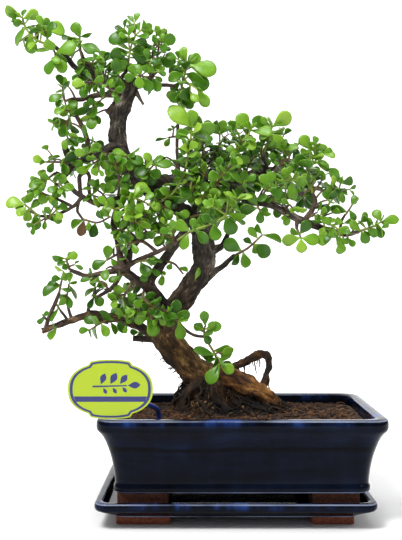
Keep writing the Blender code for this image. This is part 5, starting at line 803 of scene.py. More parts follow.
        stems=[[(-29, 304, 7), (-33, 316, 10), (-34, 328, 10), (-33, 340, 8), (-33, 349, 7)],
            [(-34, 316, 10), (-24, 324, 12), (-19, 335, 10), (-18, 347, 8)]],
        blades=[(-33, 349, -39, 364, -1, 30), (-33, 349, -27, 360, -1, 20), (-18, 347, -24, 359, 1, 65),
            (-18, 347, -13, 360, -2, 20)],
        pairs=[(0, 6, 13, 70, 17), (1, 8, 13, 30, 17)]),
    "upper_mid": dict(
        stems=[[(4, 306, 5), (0, 316, -4), (-2, 328, -8), (2, 340, -8), (-4, 352, -6)], [(1, 336, -8),
            (8, 343, -10), (10, 351, -10)]],
        blades=[(-4, 352, -9, 360, 0, 50), (-4, 352, 5, 356, -2, 30), (10, 351, -1, 366, -2, 20),
            (10, 351, 31, 346, -4, 30)],
        pairs=[(0, 6, 13, 30, 18), (1, 4, 12, 70, 15)]),
    "upper_right_tip": dict(
        stems=[[(22, 330, 17), (26, 338, 10), (30, 347, 5), (31, 354, 3)], [(25, 336, 12), (34, 333, 4)]],
        blades=[(31, 354, 49, 366, -2, 25), (31, 354, 12, 361, -2, 25), (30, 348, 42, 337, -5, 30),
            (30, 348, 43, 352, 3, 75), (30, 348, 19, 343, -4, 25)],
        pairs=[(0, 4, 13, 20, 18), (1, 4, 12, 70, 15)]),
    "far_stub_tip": dict(
        stems=[[(29, 312, 10), (33, 318, 4), (40, 322, 0), (47, 325, -2), (42, 332, -4)]],
        blades=[(42, 332, 56, 335, -3, 20), (42, 332, 34, 340, -3, 30)],
        pairs=[(0, 4, 13, 40, 17)]),
    "beam_top": dict(
        stems=[[(32, 280.5, -9), (34, 289, -14), (34, 298, -18), (40, 304, -20), (49, 304, -20)]],
        blades=[(49, 304, 41, 315, -2, 10), (49, 304, 51, 286, -3, 5), (49, 304, 64, 302, -3, 40),
            (34, 298, 19, 308, -3, 20), (34, 297, 42, 284, -4, 30), (34, 299, 23, 296, -5, 40),
            (34, 290, 26, 284, -4, 30), (42, 304, 33, 312, 4, 40), (49, 304, 56, 311, 4, 40)]),
    "beam_hang": dict(fused=True,
        stems=[[(16, 281, -15), (18, 278, -21), (20, 276, -22)]],
        blades=[(20, 277, 20, 264, -2, 10), (18, 278, 1, 275, -3, 40), (18, 279, 9, 292, -4, 20),
            (20, 276, 30, 272, 3, 45)]),
    "riser_top": dict(
        stems=[[(69, 292.5, -10), (66, 304, -8), (66, 318, -8), (67, 332, -8)], [(66, 316, -8),
            (72, 321, -11), (78, 329, -11)]],
        blades=[(67, 332, 58, 346, -1, 10), (67, 332, 83, 334, -3, 15), (78, 329, 90, 325, -2, 50),
            (72, 321, 84, 313, -3, 25), (66, 330, 57, 332, 4, 30), (66, 318, 52, 326, -3, 25)],
        pairs=[(0, 6, 13, 30, 18)]),
    "fork_right": dict(
        stems=[[(84, 281.5, -15), (89, 288, -14), (94, 296, -13), (95, 301, -13)]],
        blades=[(95, 301, 85, 315, -2, 10), (95, 301, 107, 305, 2, 50), (93, 296, 79, 301, 3, 65),
            (93, 296, 98, 284, -4, 15), (89, 288, 83, 298, -2, 30), (88, 287, 78, 291, -3, 20),
            (86, 284, 80, 276, -4, 25), (90, 290, 101, 292, 4, 30)]),
    "twig_right": dict(fused=True,
        stems=[[(100, 273, -17), (103, 278, -17), (106, 281, -17)]],
        blades=[(105, 280, 109, 290, -2, 10), (103, 277, 109, 267, -3, 15), (102, 277, 85, 285, 3, 40),
            (101, 275, 86, 277, -3, 45)]),
    "right_tip": dict(
        stems=[[(113, 256.5, -20), (119, 259, -21), (126, 261, -22), (133, 265, -22)]],
        blades=[(133, 265, 150, 269, -2, 35), (133, 265, 127, 277, 2, 30), (126, 261, 121, 269, -2, 30),
            (128, 262, 134, 250, -2, 20), (119, 259, 130, 253, -4, 40), (114, 257, 120, 245, -2, 50),
            (114, 257, 103, 265, -3, 25), (116, 258, 121, 250, 4, 20), (119, 259, 112, 267, 2, 75)]),
    "under_right": dict(fused=True,
        stems=[[(101, 252, -20), (102, 249.5, -23)]],
        blades=[(102, 250, 108, 242, -2, 5), (102, 250, 96, 243, -1, 20)]),
    "green_hang": dict(
        stems=[[(77, 277.5, -17), (80, 272, -21), (81, 266, -24), (80, 260, -26)], [(81, 266, -24),
            (88, 262, -26), (93, 257, -27), (95, 249, -28)]],
        blades=[(80, 260, 79, 243, -3, 5), (81, 266, 69, 264, -3, 60), (92, 259, 103, 257, -3, 20),
            (89, 261, 84, 252, 4, 30), (95, 249, 96, 235, -1, 60), (80, 271, 85, 280, -2, 50),
            (81, 266, 91, 268, -3, 40)]),
    "hang_round": dict(
        stems=[[(54, 258, -22), (57, 254, -25), (58, 250, -26)]],
        blades=[(58, 250, 59, 236, -2, 0), (57, 250, 41, 247, -2, 30), (58, 250, 75, 248, -3, 35),
            (57, 252, 48, 259, 3, 40), (57, 253, 66, 266, -3, 25)]),
    "beam_mid": dict(fused=True,
        stems=[[(43, 277, -16), (47, 281, -21), (50, 278, -24)]],
        blades=[(50, 278, 64, 277, -2, 40), (48, 280, 40, 287, -3, 30)]),
    "beam_low": dict(fused=True,
        stems=[[(41, 274, -17), (43, 271, -22)]],
        blades=[(43, 271, 46, 262, -2, 20)]),
    "inner_top": dict(
        stems=[[(-38, 289, -7), (-41, 292, -18), (-45, 296, -26), (-44, 303, -30)], [(-41, 292, -18),
            (-34, 288, -26), (-28, 288, -30)]],
        pairs=[(0, 8, 12, 20, 17), (1, 5, 12, 60, 17)]),
    "trunk_front": dict(
        stems=[[(-66, 283, -6), (-70, 279, -18), (-76, 275, -25), (-83, 272, -28)], [(-70, 279, -18),
            (-64, 274, -24), (-58, 272, -27)]],
        pairs=[(0, 8, 12, 70, 17), (1, 5, 12, 20, 15)]),
    "inner_side": dict(fused=True,
        stems=[[(-77, 221, -22), (-82, 221, -28), (-86, 219, -30)]],
        blades=[(-86, 219, -90, 209, -2, 30), (-83, 221, -74, 216, -4, 30), (-86, 219, -92, 224, 2, 50)]),
    "inner_hang": dict(fused=True,
        stems=[[(-75, 219, -22), (-72, 216, -26)]],
        blades=[(-72, 216, -72, 205, -2, 10)]),
    "inner_arc": dict(fused=True,
        stems=[[(-70, 228, -20), (-62, 227, -25), (-57, 222, -26), (-52, 216, -26)]],
        blades=[(-57, 222, -48, 219, -2, 50), (-62, 227, -66, 220, -3, 60)]),
    "inner_upper": dict(
        stems=[[(-58, 246, -20), (-63, 250, -27), (-70, 252, -30), (-76, 256, -31)]],
        blades=[(-70, 252, -80, 246, -3, 30), (-70, 252, -74, 244, 4, 20), (-63, 250, -61, 262, -3, 20),
            (-76, 256, -86, 251, 3, 40)],
        pairs=[(0, 4, 12, 20, 15)]),
    "trunk_leaf": dict(fused=True,
        stems=[[(-40, 208, -12), (-41, 211, -15)]],
        blades=[(-41, 211, -37, 222, -1, 5)]),
    "riser_top_leaves": dict(
        stems=[[(-113, 272, -18), (-116, 276, -28), (-122, 280, -34)], [(-115, 275, -25), (-108, 280, -32),
            (-101, 282, -36)]],
        pairs=[(0, 5, 12, 20, 17), (1, 5, 12, 60, 17)]),
    "back_low_tip": dict(
        stems=[[(-98, 190.5, 46), (-103, 186, 56), (-110, 184, 62)], [(-100, 189, 50), (-96, 198, 58),
            (-98, 204, 62)]],
        pairs=[(0, 5, 12, 20, 18), (1, 5, 12, 60, 18)]),
    "back_mid_tip": dict(
        stems=[[(-12, 282.5, 64), (-8, 292, 72), (-6, 304, 78), (-10, 316, 80)], [(-8, 292, 72),
            (4, 298, 80), (16, 304, 84)]],
        pairs=[(0, 6, 13, 20, 19), (1, 6, 13, 60, 19)]),
    "back_left_tip": dict(
        stems=[[(-136, 332, 60), (-146, 328, 66), (-157, 322, 70)], [(-140, 331, 62), (-148, 322, 56),
            (-156, 314, 52)]],
        pairs=[(0, 6, 13, 30, 18), (1, 6, 13, 70, 18)]),
    "back_right_tip": dict(
        stems=[[(38, 316, 58), (44, 324, 66), (40, 334, 70), (34, 342, 72)], [(44, 324, 66), (54, 322, 70),
            (64, 318, 70)]],
        pairs=[(0, 6, 13, 20, 19), (1, 6, 13, 60, 18)]),
    "back_top_tip": dict(
        stems=[[(-98, 408, 52), (-100, 400, 62), (-108, 394, 68), (-118, 392, 70)], [(-99, 404, 57),
            (-92, 398, 62), (-86, 396, 62)]],
        pairs=[(0, 5, 13, 30, 18), (1, 5, 13, 70, 18)]),
    "back_far_tip": dict(
        stems=[[(60, 292, 50), (68, 298, 58), (70, 308, 60)], [(66, 296, 55), (78, 294, 62),
            (88, 290, 64)]],
        pairs=[(0, 6, 13, 40, 18), (1, 6, 13, 10, 18)]),
    "back_centre": dict(
        stems=[[(14, 313, 44), (10, 324, 50), (6, 334, 54), (-2, 340, 56)], [(10, 324, 50), (22, 330, 54),
            (30, 336, 56)]],
        pairs=[(0, 6, 13, 20, 19), (1, 6, 13, 70, 18)]),
    "back_trunk": dict(
        stems=[[(-62, 284, 8), (-62, 288, 24), (-70, 294, 38), (-80, 302, 46)], [(-62, 288, 24),
            (-50, 290, 38), (-40, 296, 46)]],
        pairs=[(0, 8, 13, 30, 18), (1, 8, 13, 60, 18)]),
    "back_heart": dict(
        stems=[[(-106, 313, 28), (-102, 306, 40), (-94, 300, 48)], [(-103, 308, 36), (-110, 300, 46),
            (-114, 290, 50)]],
        pairs=[(0, 6, 13, 20, 18), (1, 6, 13, 60, 18)]),
    "back_beam": dict(
        stems=[[(-46, 305, 6), (-44, 312, 24), (-40, 324, 36), (-36, 336, 42)], [(-43, 315, 28),
            (-28, 316, 40), (-16, 322, 46)]],
        pairs=[(0, 8, 13, 70, 18), (1, 6, 13, 20, 18)]),
}

blade_count = sum(len(spray.get("blades", ())) for spray in SPRAYS.values())
print("shoots:", len(SPRAYS), "leaves read one by one:", blade_count)

# %% [markdown]
# ## Smooth lines through the readings
# A limb bends gently between the points that were read, so a Catmull-Rom curve runs through them: it
# passes through every point and leaves each in the direction of its neighbours. A second function keeps
# only the points that a plain body needs, one every few millimetres and one at each bend.

# %% Lines and plain bodies
GAP = 0.3                      # clear space that a plain leaf or stem keeps, mm
STEM_STEP = 13.0               # longest straight piece of a plain stem, mm
SEAT_TRIALS, SEAT_STEP = 120, 0.2   # places tried for a stem's foot, and how far apart, mm
PAIR_STEP = 1.15               # how much wider the pairs stand than they were read
PAIR_REACH = 3.0               # leaves whose feet are this near belong to one pair, mm
LEAF_T = 2.1                   # thickness of a full-grown leaf, mm
LEAF_ASPECT = 0.6              # width of a plain leaf as a share of its length
LEAF_OUTLINE = ((0.55, 1.0), (1.0, 0.62))


def loft(rings):
    """Points and faces of a closed body through rings of equal count, with a flat cap at each end."""
    count = len(rings[0])
    verts = [p for ring in rings for p in ring]
    faces = [tuple(reversed(range(count)))]
    for row in range(len(rings) - 1):
        a, b = row * count, (row + 1) * count
        for i in range(count):
            j = (i + 1) % count
            faces.append((a + i, a + j, b + j, b + i))
    last = (len(rings) - 1) * count
    faces.append(tuple(range(last, last + count)))
    return verts, faces


def smooth_path(points, spacing):
    """Points along a smooth curve through (x, y, z, thickness) rows, about a spacing apart."""
    rows = [Vector(p) for p in points]
    rows = [2 * rows[0] - rows[1]] + rows + [2 * rows[-1] - rows[-2]]
    path = []
    for i in range(1, len(rows) - 2):
        a, b, c, d = rows[i - 1:i + 3]
        steps = max(1, round((c - b).to_3d().length / spacing))
        for k in range(steps):
            t = k / steps
            path.append(0.5 * (2 * b + (c - a) * t + (2 * a - 5 * b + 4 * c - d) * t * t
                               + (3 * b - a - 3 * c + d) * t ** 3))
    path.append(rows[-2])
    return path


def thin_path(path, spacing, bend=180.0):
    """Both ends of a path, and each point a spacing on from the last one kept or past a bend in degrees."""
    kept = [path[0]]
    heading = (path[1] - path[0]).to_3d()
    for point, after in zip(path[1:-1], path[2:]):
        length = (point - kept[-1]).to_3d().length
        ahead = (after - point).to_3d()
        bent = length > 3.0 and heading.angle(ahead) > math.radians(bend)
        if bent or (length > spacing and (point - path[-1]).to_3d().length > spacing * 0.6):
            kept.append(point)
            heading = ahead
    return kept + [path[-1]]


def plain_tube(path, sides, swell=None, phase=0.3):
    """A closed round body along a path of (x, y, z, thickness), its ends flat."""
    centres = [p.to_3d() for p in path]
    side = None
    rings = []
    for i, centre in enumerate(centres):
        ahead = centres[min(i + 1, len(centres) - 1)] - centres[max(i - 1, 0)]
        ahead.normalize()
        if side is None:
            side = ahead.orthogonal().normalized()
        side = (side - ahead * side.dot(ahead)).normalized()
        across = ahead.cross(side)
        ring = []
        for k in range(sides):
            a = phase + 2 * math.pi * k / sides
            r = path[i][3] / 2 * (swell(i, a) if swell else 1.0)
            ring.append(centre + (side * math.cos(a) + across * math.sin(a)) * r)
        rings.append(ring)
    return loft(rings)


def bark_swell(i, a):
    """Shallow ridges and swellings of the bark round the trunk."""
    ridges = 0.05 * math.sin(3 * a + i * 0.7) + 0.04 * math.sin(5 * a - i * 0.45)
    return 1 + ridges + 0.04 * math.sin(i * 1.3)


def limb_path(rows, spacing=None):
    """A limb's plain line: its readings at their real places, with few points."""
    points = [(*seen(x, z, y), d) for x, z, y, d in rows]
    return thin_path(smooth_path(points, 2.0), spacing or max(12.0, 2.0 * rows[0][3]))


print("the trunk's line has", len(limb_path(TRUNK, 13.0)), "points")

# %% [markdown]
# ## The plain wood that the leaves must clear
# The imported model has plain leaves, rolled about their own lines until they touch neither wood nor one
# another. The finer leaves here go to exactly the same places, so the same plain bodies are made once
# more, only as lists of points in a search tree, and the same test is run with the same seeded draws.

# %% The plain wood as one search tree
BALL = (-7.0, 0.0, 54.0, 43.0)
BALL_BOTTOM, BALL_SIDES = 62.0, 22
MOUND = ((BALL_BOTTOM, 1.0, 0, 0), (89.0, 1.0, 0, 0), (93.0, 0.90, -2, 0.04), (98.0, 0.76, -4, 0.09),
         (104.0, 0.65, -7, 0.10), (110.0, 0.56, -11, 0.10), (117.0, 0.44, -16, 0.08),
         (125.0, 0.33, -24, 0.06))


def mound_ring(z, share, x_shift, ridges, sides):
    """A level of the root mound, furrowed by a share of its width."""
    x, y, half_x, half_y = BALL
    ring = []
    for k in range(sides):
        a = 2 * math.pi * k / sides
        r = share * (1 - ridges + ridges * math.sin(7 * a + 0.05 * z) * math.sin(3 * a + 1))
        ring.append(Vector((x + x_shift + half_x * r * math.cos(a), y + half_y * r * math.sin(a), z)))
    return ring


def search_tree(bodies):
    """One search tree over several bodies' faces."""
    verts, faces = [], []
    for points, sides in bodies:
        start = len(verts)
        verts += [Vector(p) for p in points]
        faces += [[start + i for i in side] for side in sides]
    return BVHTree.FromPolygons(verts, faces)


bodies = [loft([mound_ring(*row, BALL_SIDES) for row in MOUND]),
          plain_tube(limb_path(TRUNK, 13.0), 10, bark_swell)]
for n, rows in enumerate(LIMBS.values()):
    thick = max(row[3] for row in rows)
    sides = 7 if thick > 7.5 else (5 if thick > 4.4 else 4)
    bodies.append(plain_tube(limb_path(rows), sides, phase=0.2 + 0.37 * n))
wood_tree = search_tree(bodies)
print("plain wood bodies:", len(bodies))

# %% Lines of the wood, and where a stem starts on it
def wood_axes():
    """Every straight piece of limb and trunk axis: its ends, and the thickness at each."""
    axes = []
    for rows in [TRUNK] + list(LIMBS.values()):
        path = limb_path(rows)
        axes += [(a.to_3d(), b.to_3d(), a[3], b[3], i == len(path) - 2)
                 for i, (a, b) in enumerate(zip(path, path[1:]))]
    return axes


def nearest_on(axes, point):
    """The nearest axis point to a point: place, thickness, direction there and whether it ends there."""
    best = None
    for a, b, da, db, last in axes:
        t = max(0.0, min(1.0, (point - a).dot(b - a) / (b - a).length_squared))
        place = a.lerp(b, t)
        gap = (point - place).length - (da + (db - da) * t) / 2
        if best is None or gap < best[0]:
            best = (gap, place, da + (db - da) * t, (b - a).normalized(), last and t > 0.98)
    return best[1:]


def stem_path(points, d0, d1):
    """A stem's smooth path through its points, its thickness running from d0 to d1."""
    count = len(points) - 1
    path = smooth_path([(*p, d0 + (d1 - d0) * i / count) for i, p in enumerate(points)], 2.0)
    return thin_path(path, STEM_STEP, 42.0)


def seat(points, axes, d0, d1, fused, wood):
    """Start a stem on the wood: inside it where it is fused, else at the first place clear of it."""
    place, thick, along, at_end = nearest_on(axes, points[0])
    out = (points[1] - place).normalized()
    if fused:
        return [place - along * 1.5 if at_end else place + out * max(0.0, thick / 2 - 1.2)] + points[1:]
    for step in range(SEAT_TRIALS):
        trial = [place + out * SEAT_STEP * step] + points[1:]
        path = [p + Vector((0, 0, 0, 2 * GAP)) for p in stem_path(trial, d0, d1)]
        path[0] = path[0] + Vector((*((path[0] - path[1]).to_3d().normalized() * GAP), 0))
        grown = BVHTree.FromPolygons(*plain_tube(path, 3))
        if not grown.overlap(wood):
            break
    return trial


print("straight pieces of limb:", len(wood_axes()))

# %% Plain leaves, and the two ways of placing them
def leaf(base, tip, face, inflate=0.0):
    """Points and faces of one fleshy leaf: an obovate blade, flat above and keeled below."""
    along = tip - base
    length = along.length
    along.normalize()
    across = along.cross(face).normalized()
    up = across.cross(along).normalized()
    half = LEAF_ASPECT * length / 2 + inflate
    thick = LEAF_T * (0.6 + 0.4 * min(1.0, length / 16)) + inflate
    droop = -0.10 * length

    def at(t, s, h):
        return base + along * t * (length + inflate) + across * s * half + up * (h + droop * t * t)

    left = [at(t, -w, 0.3 * thick + inflate) for t, w in LEAF_OUTLINE]
    right = [at(t, w, 0.3 * thick + inflate) for t, w in reversed(LEAF_OUTLINE)]
    verts = [base - along * 0.3] + left + right + [at(0.55, 0, -0.7 * thick)]
    faces = [(1, 0, 4), (2, 1, 4), (3, 2, 4)] + [(i, (i + 1) % 5, 5) for i in range(5)]
    return verts, faces


def stem_axes(stems):
    """Every straight piece of the stems, as wood_axes gives the wood's."""
    return [(a, b, 2.0, 2.0, False) for path in stems for a, b in zip(path, path[1:])]


def blade_leaves(stems, rows, rng):
    """The leaves that were read one by one from the front."""
    axes = stem_axes(stems)
    for x0, z0, x1, z1, depth, roll in rows:
        guess = min((seen(x0, z0, y) for y in range(-60, 60, 3)),
                    key=lambda p: (p - nearest_on(axes, p)[0]).length)
        base = nearest_on(axes, guess)[0]
        tip = seen(x1, z1, base.y + depth)
        view = (Vector(EYE) - base).normalized()
        roll = math.radians(roll + rng.uniform(-6, 6)) * rng.choice((-1, 1))
        face = Matrix.Rotation(roll, 3, (tip - base).normalized()) @ view
        yield base, tip, face


def pair_leaves(stems, rows, rng):
    """Opposite leaves by rule: each pair turned a quarter from the last, opening towards the tip."""
    for stem, first, step, turn, size in rows:
        path = stems[stem]
        lengths = [0.0]
        for a, b in zip(path, path[1:]):
            lengths.append(lengths[-1] + (b - a).length)
        total = lengths[-1]
        count = max(1, round((total - first) / (step * PAIR_STEP)))
        nodes = [total - 0.8 - n * (total - first) / count for n in reversed(range(count))]
        for n, at in enumerate(nodes):
            i = max(k for k in range(len(path) - 1) if lengths[k] <= at)
            ahead = (path[i + 1] - path[i]).normalized()
            base = path[i] + ahead * (at - lengths[i])
            side = ahead.orthogonal().normalized()
            spin = math.radians(turn + 90 * n + rng.uniform(-18, 18))
            side = Matrix.Rotation(spin, 3, ahead) @ side
            last = n == len(nodes) - 1
            for sign in (1, -1):
                spread = math.radians(rng.uniform(34, 48) if last else rng.uniform(56, 82))
                size_here = size * (0.72 if last else 1.0) * rng.uniform(0.85, 1.12)
                out = ahead * math.cos(spread) + side * sign * math.sin(spread)
                face = ahead * math.sin(spread) - side * sign * math.cos(spread)
                face = (face + Vector((0, -0.25, 0.35))).normalized()
                out = (out + Vector((0, 0, rng.uniform(-0.12, 0.12)))).normalized()
                yield base, base + out * size_here, face


def clear_of(base, tip, face, name, fused, placed):
    """Whether a leaf crosses nothing but its own stem and the leaf that it is paired with."""
    verts, faces = leaf(base, tip, face, GAP)
    tree = BVHTree.FromPolygons(verts, faces)
    beyond_base = BVHTree.FromPolygons(*leaf(base + (tip - base) * 0.14, tip, face, GAP))
    centre = sum(verts, Vector()) / len(verts)
    for other, other_centre, reach, owner, root in placed:
        if (centre - other_centre).length > reach + 14:
            continue
        if owner == name and (root is None or (root - verts[0]).length < PAIR_REACH):
            continue
        if (beyond_base if fused and owner == "wood" else tree).overlap(other):
            return False
    return True


print("helpers: leaf, blade_leaves, pair_leaves, clear_of")

# %% [markdown]
# ## Lay out every shoot
# First the stems are laid, then the leaves that were read one by one, then those set by rule. Each leaf
# is noted with its shoot, its base, its tip and the way that its upper side faces.

# %% Lay out the stems and the leaves
def lay(name, base, tip, face, fused, gap_turns=(0, 25, -25, 50, -50, 75)):
    """Roll a leaf about its own line until it is clear, and note it; whether there was room."""
    for turn in gap_turns:
        axis = (tip - base).normalized()
        turned = Matrix.Rotation(math.radians(turn), 3, axis) @ face
        nearer = (axis + Vector((0, -0.004 * abs(turn), 0))).normalized()
        moved = base + nearer * (tip - base).length
        if clear_of(base, moved, turned, name, fused, placed):
            verts, faces = leaf(base, moved, turned)
            centre = sum(verts, Vector()) / len(verts)
            placed.append((BVHTree.FromPolygons(verts, faces), centre, 12.0, name, verts[0]))
            grown_leaves.append((name, base, moved, turned))
            return True
    return False


axes = wood_axes()
placed = [(wood_tree, Vector(), 1e6, "wood", None)]
thin_stems, starts, grown_leaves = {}, {}, []
for name, spray in SPRAYS.items():
    fused = spray.get("fused", False)
    thin_stems[name] = []
    for n, rows in enumerate(spray["stems"]):
        points = [seen(*row) for row in rows]
        d0, d1 = (2.6, 1.7) if n == 0 else (1.9, 1.5)
        if n == 0:
            starts[name] = nearest_on(axes, points[0])[0]
            if nearest_on(axes, points[0])[1] < 3.2:
                d0 = 2.2
            points = seat(points, axes, d0, d1, fused, wood_tree)
        else:
            laid = [[p.to_3d() for p in path] for path in thin_stems[name]]
            points[0] = nearest_on(stem_axes(laid), points[0])[0]
        path = stem_path(points, d0, d1)
        thin_stems[name].append(path)
        verts, faces = plain_tube(path, 3)
        centre = sum(verts, Vector()) / len(verts)
        reach = max((v - centre).length for v in verts)
        placed.append((BVHTree.FromPolygons(verts, faces), centre, reach, name, None))
left_out = 0
for kind, layer in (("blades", blade_leaves), ("pairs", pair_leaves)):
    for number, (name, spray) in enumerate(SPRAYS.items()):
        rng = random.Random(101 * number + len(kind))
        stems = [[p.to_3d() for p in path] for path in thin_stems[name]]
        for base, tip, face in layer(stems, spray.get(kind, ()), rng):
            left_out += not lay(name, base, tip, face, spray.get("fused", False))
print("leaves:", len(grown_leaves), "left out:", left_out)

# %% [markdown]
# ## The rest of the leaves
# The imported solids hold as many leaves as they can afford, but a dwarf jade is fuller. More leaves go
# between the first ones: every stem gets further pairs, and short side twigs with two or three pairs each.
# The windows through which one sees the white behind the tree stay open, because they give the crown its
# shape, so nothing new is set there.

# %% Fill the crown
WINDOWS = ((-108, -64, 328, 402), (-132, -118, 338, 380), (-62, -18, 198, 252), (-24, 66, 150, 262),
           (-162, -118, 224, 286), (-230, -150, 180, 250))


def in_window(point):
    """Whether a place is seen through one of the openings of the crown."""
    scale = abs(EYE.y) / (point.y - EYE.y)
    x, z = EYE.x + (point.x - EYE.x) * scale, EYE.z + (point.z - EYE.z) * scale
    return any(x0 < x < x1 and z0 < z < z1 for x0, x1, z0, z1 in WINDOWS)


def outward(point):
    """The way out of the crown at a place: to the front, to the back, and up to the light."""
    side = max(-1.0, min(1.0, (point.y - 12.0) / 18.0))
    return Vector((0.004 * (point.x + 60.0), side, 0.45))


first_count = len(grown_leaves)
more_twigs = {name: [] for name in SPRAYS}
for number, (name, spray) in enumerate(SPRAYS.items()):
    rng = random.Random(7000 + number)
    stems = [[p.to_3d() for p in path] for path in thin_stems[name]]
    sizes = [(tip - base).length for owner, base, tip, _ in grown_leaves[:first_count] if owner == name]
    usual = sum(sizes) / len(sizes) if sizes else 14.0
    for stem in range(len(stems)):
        length = sum((b - a).length for a, b in zip(stems[stem], stems[stem][1:]))
        for reach in (9.0, 16.0, 24.0, 33.0):
            if length < reach + 6.0:
                break
            i, left = 0, length - reach
            while left > (stems[stem][i + 1] - stems[stem][i]).length:
                left -= (stems[stem][i + 1] - stems[stem][i]).length
                i += 1
            ahead = (stems[stem][i + 1] - stems[stem][i]).normalized()
            foot = stems[stem][i] + ahead * left
            out = Matrix.Rotation(rng.uniform(0, 6.28), 3, ahead) @ ahead.orthogonal().normalized()
            out = (out + ahead * 0.8 + Vector((0, -0.15, 0.25))).normalized()
            tip = foot + out * rng.uniform(8.0, 16.0)
            if in_window(tip):
                continue
            side = [foot, foot.lerp(tip, 0.5) + Vector((0, 0, 1.0)), tip]
            more_twigs[name].append([Vector((*p, d)) for p, d in zip(side, (1.7, 1.5, 1.3))])
            stems.append(side)
    rows = [(stem, rng.uniform(2.0, 5.0), rng.uniform(5.0, 7.0), rng.uniform(0, 90),
             usual * rng.uniform(0.85, 1.05)) for stem in range(len(stems))]
    for base, tip, face in pair_leaves(stems, rows, rng):
        if not in_window(tip) and not in_window(base):
            face = (face + outward(tip)).normalized()
            lay(name, base, tip, face, spray.get("fused", False), (0, 30, -30, 60, -60, 90))
print("leaves with the rest:", len(grown_leaves), "more twigs:", sum(len(t) for t in more_twigs.values()))

# %% [markdown]
# ## Bark
# The trunk of a dwarf jade is soft and swollen. Its bark is grey-brown, thin and wrinkled, with fine cracks
# that run along the limb, and warmer where old skin has flaked off. Twigs are smoother, and grey-brown too.
# Every point of a limb will carry its place as if the limb were straight. The cracks come from a noise on
# that place, stretched along the limb, so they follow its bends; low down the bark turns to warmer tints.

# %% Make the barks
WARM_FULL, WARM_NONE = 0.15, 0.23   # heights in metres, from warm bark at the foot to plain bark above


def make_bark(name, stops, size, depth, roughness, warm=None):
    """Cracked bark, its cracks of a size and depth in mm; low down it takes the warm stops, if given."""
    mat, shader = new_material(name, Roughness=roughness)
    at = add(mat, "TexCoord").outputs["Object"]
    straight = add(mat, "Attribute", attribute_name="grain").outputs["Vector"]
    grain = add(mat, "Mapping", {"Vector": straight, "Scale": (1.0, 1.0, 0.36)})
    cracks = add(mat, "TexNoise", {"Vector": grain.outputs["Vector"], "Scale": per(size), "Detail": 9.0,
                                   "Roughness": 0.74, "Distortion": 0.5})
    patches = add(mat, "TexNoise", {"Vector": at, "Scale": per(26), "Detail": 3.0})
    mixed = add(mat, "Mix", {"Factor": 0.45, "A": cracks.outputs["Fac"], "B": patches.outputs["Fac"]})
    ramp = add(mat, "ValToRGB", {"Fac": mixed.outputs["Result"]}, stops=stops)
    if warm:
        height = add(mat, "SeparateXYZ", {"Vector": at})
        low = add(mat, "MapRange", {"Value": height.outputs["Z"], "From Min": WARM_NONE,
                                    "From Max": WARM_FULL})
        tan = add(mat, "ValToRGB", {"Fac": mixed.outputs["Result"]}, stops=warm)
        ramp = add(mat, "MixRGB", {"Fac": low.outputs["Result"], "Color1": ramp.outputs["Color"],
                                   "Color2": tan.outputs["Color"]})
    link(mat, ramp.outputs["Color"], shader.inputs["Base Color"])
    bump = add(mat, "Bump", {"Height": cracks.outputs["Fac"], "Strength": 0.9, "Distance": depth * MM})
    link(mat, bump.outputs["Normal"], shader.inputs["Normal"])
    return mat


trunk_bark = make_bark("Wrinkled jade bark",
                       ((0.40, "#080605"), (0.47, "#241D18"), (0.55, "#50473D"), (0.64, "#ADA294")),
                       3.4, 3.6, 0.9,
                       ((0.40, "#0A0503"), (0.47, "#2C1B0C"), (0.55, "#5C4020"), (0.64, "#B0884F")))
root_bark = make_bark("Root bark, flaked to its warm inner skin",
                      ((0.40, "#050302"), (0.48, "#1A0F07"), (0.56, "#40280F"), (0.66, "#8E6030")),
                      2.8, 2.6, 0.9)
flaked_bark = make_bark("Root flaked to its orange inner skin",
                        ((0.40, "#0E0703"), (0.46, "#43270F"), (0.53, "#8A5A26"), (0.63, "#CF9A54")),
                        3.4, 3.4, 0.85)
twig_bark = make_bark("Smooth grey-brown twig bark",
                      ((0.36, "#17100C"), (0.47, "#33251D"), (0.57, "#574639"), (0.70, "#8A7766")),
                      2.0, 0.9, 0.8)
root_hair, shader = new_material("Dry pale root hair", Roughness=0.8, Base_Color=colour("#7C5C38"))
print("barks:", trunk_bark.name, "/", root_bark.name, "/", twig_bark.name)

# %% [markdown]
# ## The trunk
# A limb is a tube whose thickness changes along its line. A curve with a round bevel does that well: each
# point of the curve carries its own radius. The curve is made a mesh. A noise that is stretched along the
# limb then pushes the skin in and out in ribs, and a clouds texture dents it, as in swollen, wrinkled bark.

# %% Tubes along lines
def tube(name, lines, sides, mat):
    """One mesh of round tubes; each line is a row of (x, y, z, thickness) points in millimetres."""
    curve = bpy.data.curves.new(name, "CURVE")
    curve.dimensions = "3D"
    curve.bevel_depth = 1.0
    curve.bevel_resolution = sides // 2 - 2
    curve.use_fill_caps = True
    for line in lines:
        spline = curve.splines.new("POLY")
        spline.points.add(len(line) - 1)
        for point, row in zip(spline.points, line):
            point.co = (*place(row), 1.0)
            point.radius = row[3] / 2 * MM
    pick(show(name, curve))
    bpy.ops.object.convert(target="MESH")
    obj = bpy.context.object
    obj.data.materials.clear()
    obj.data.materials.append(mat)
    bpy.ops.object.shade_smooth()
    return obj


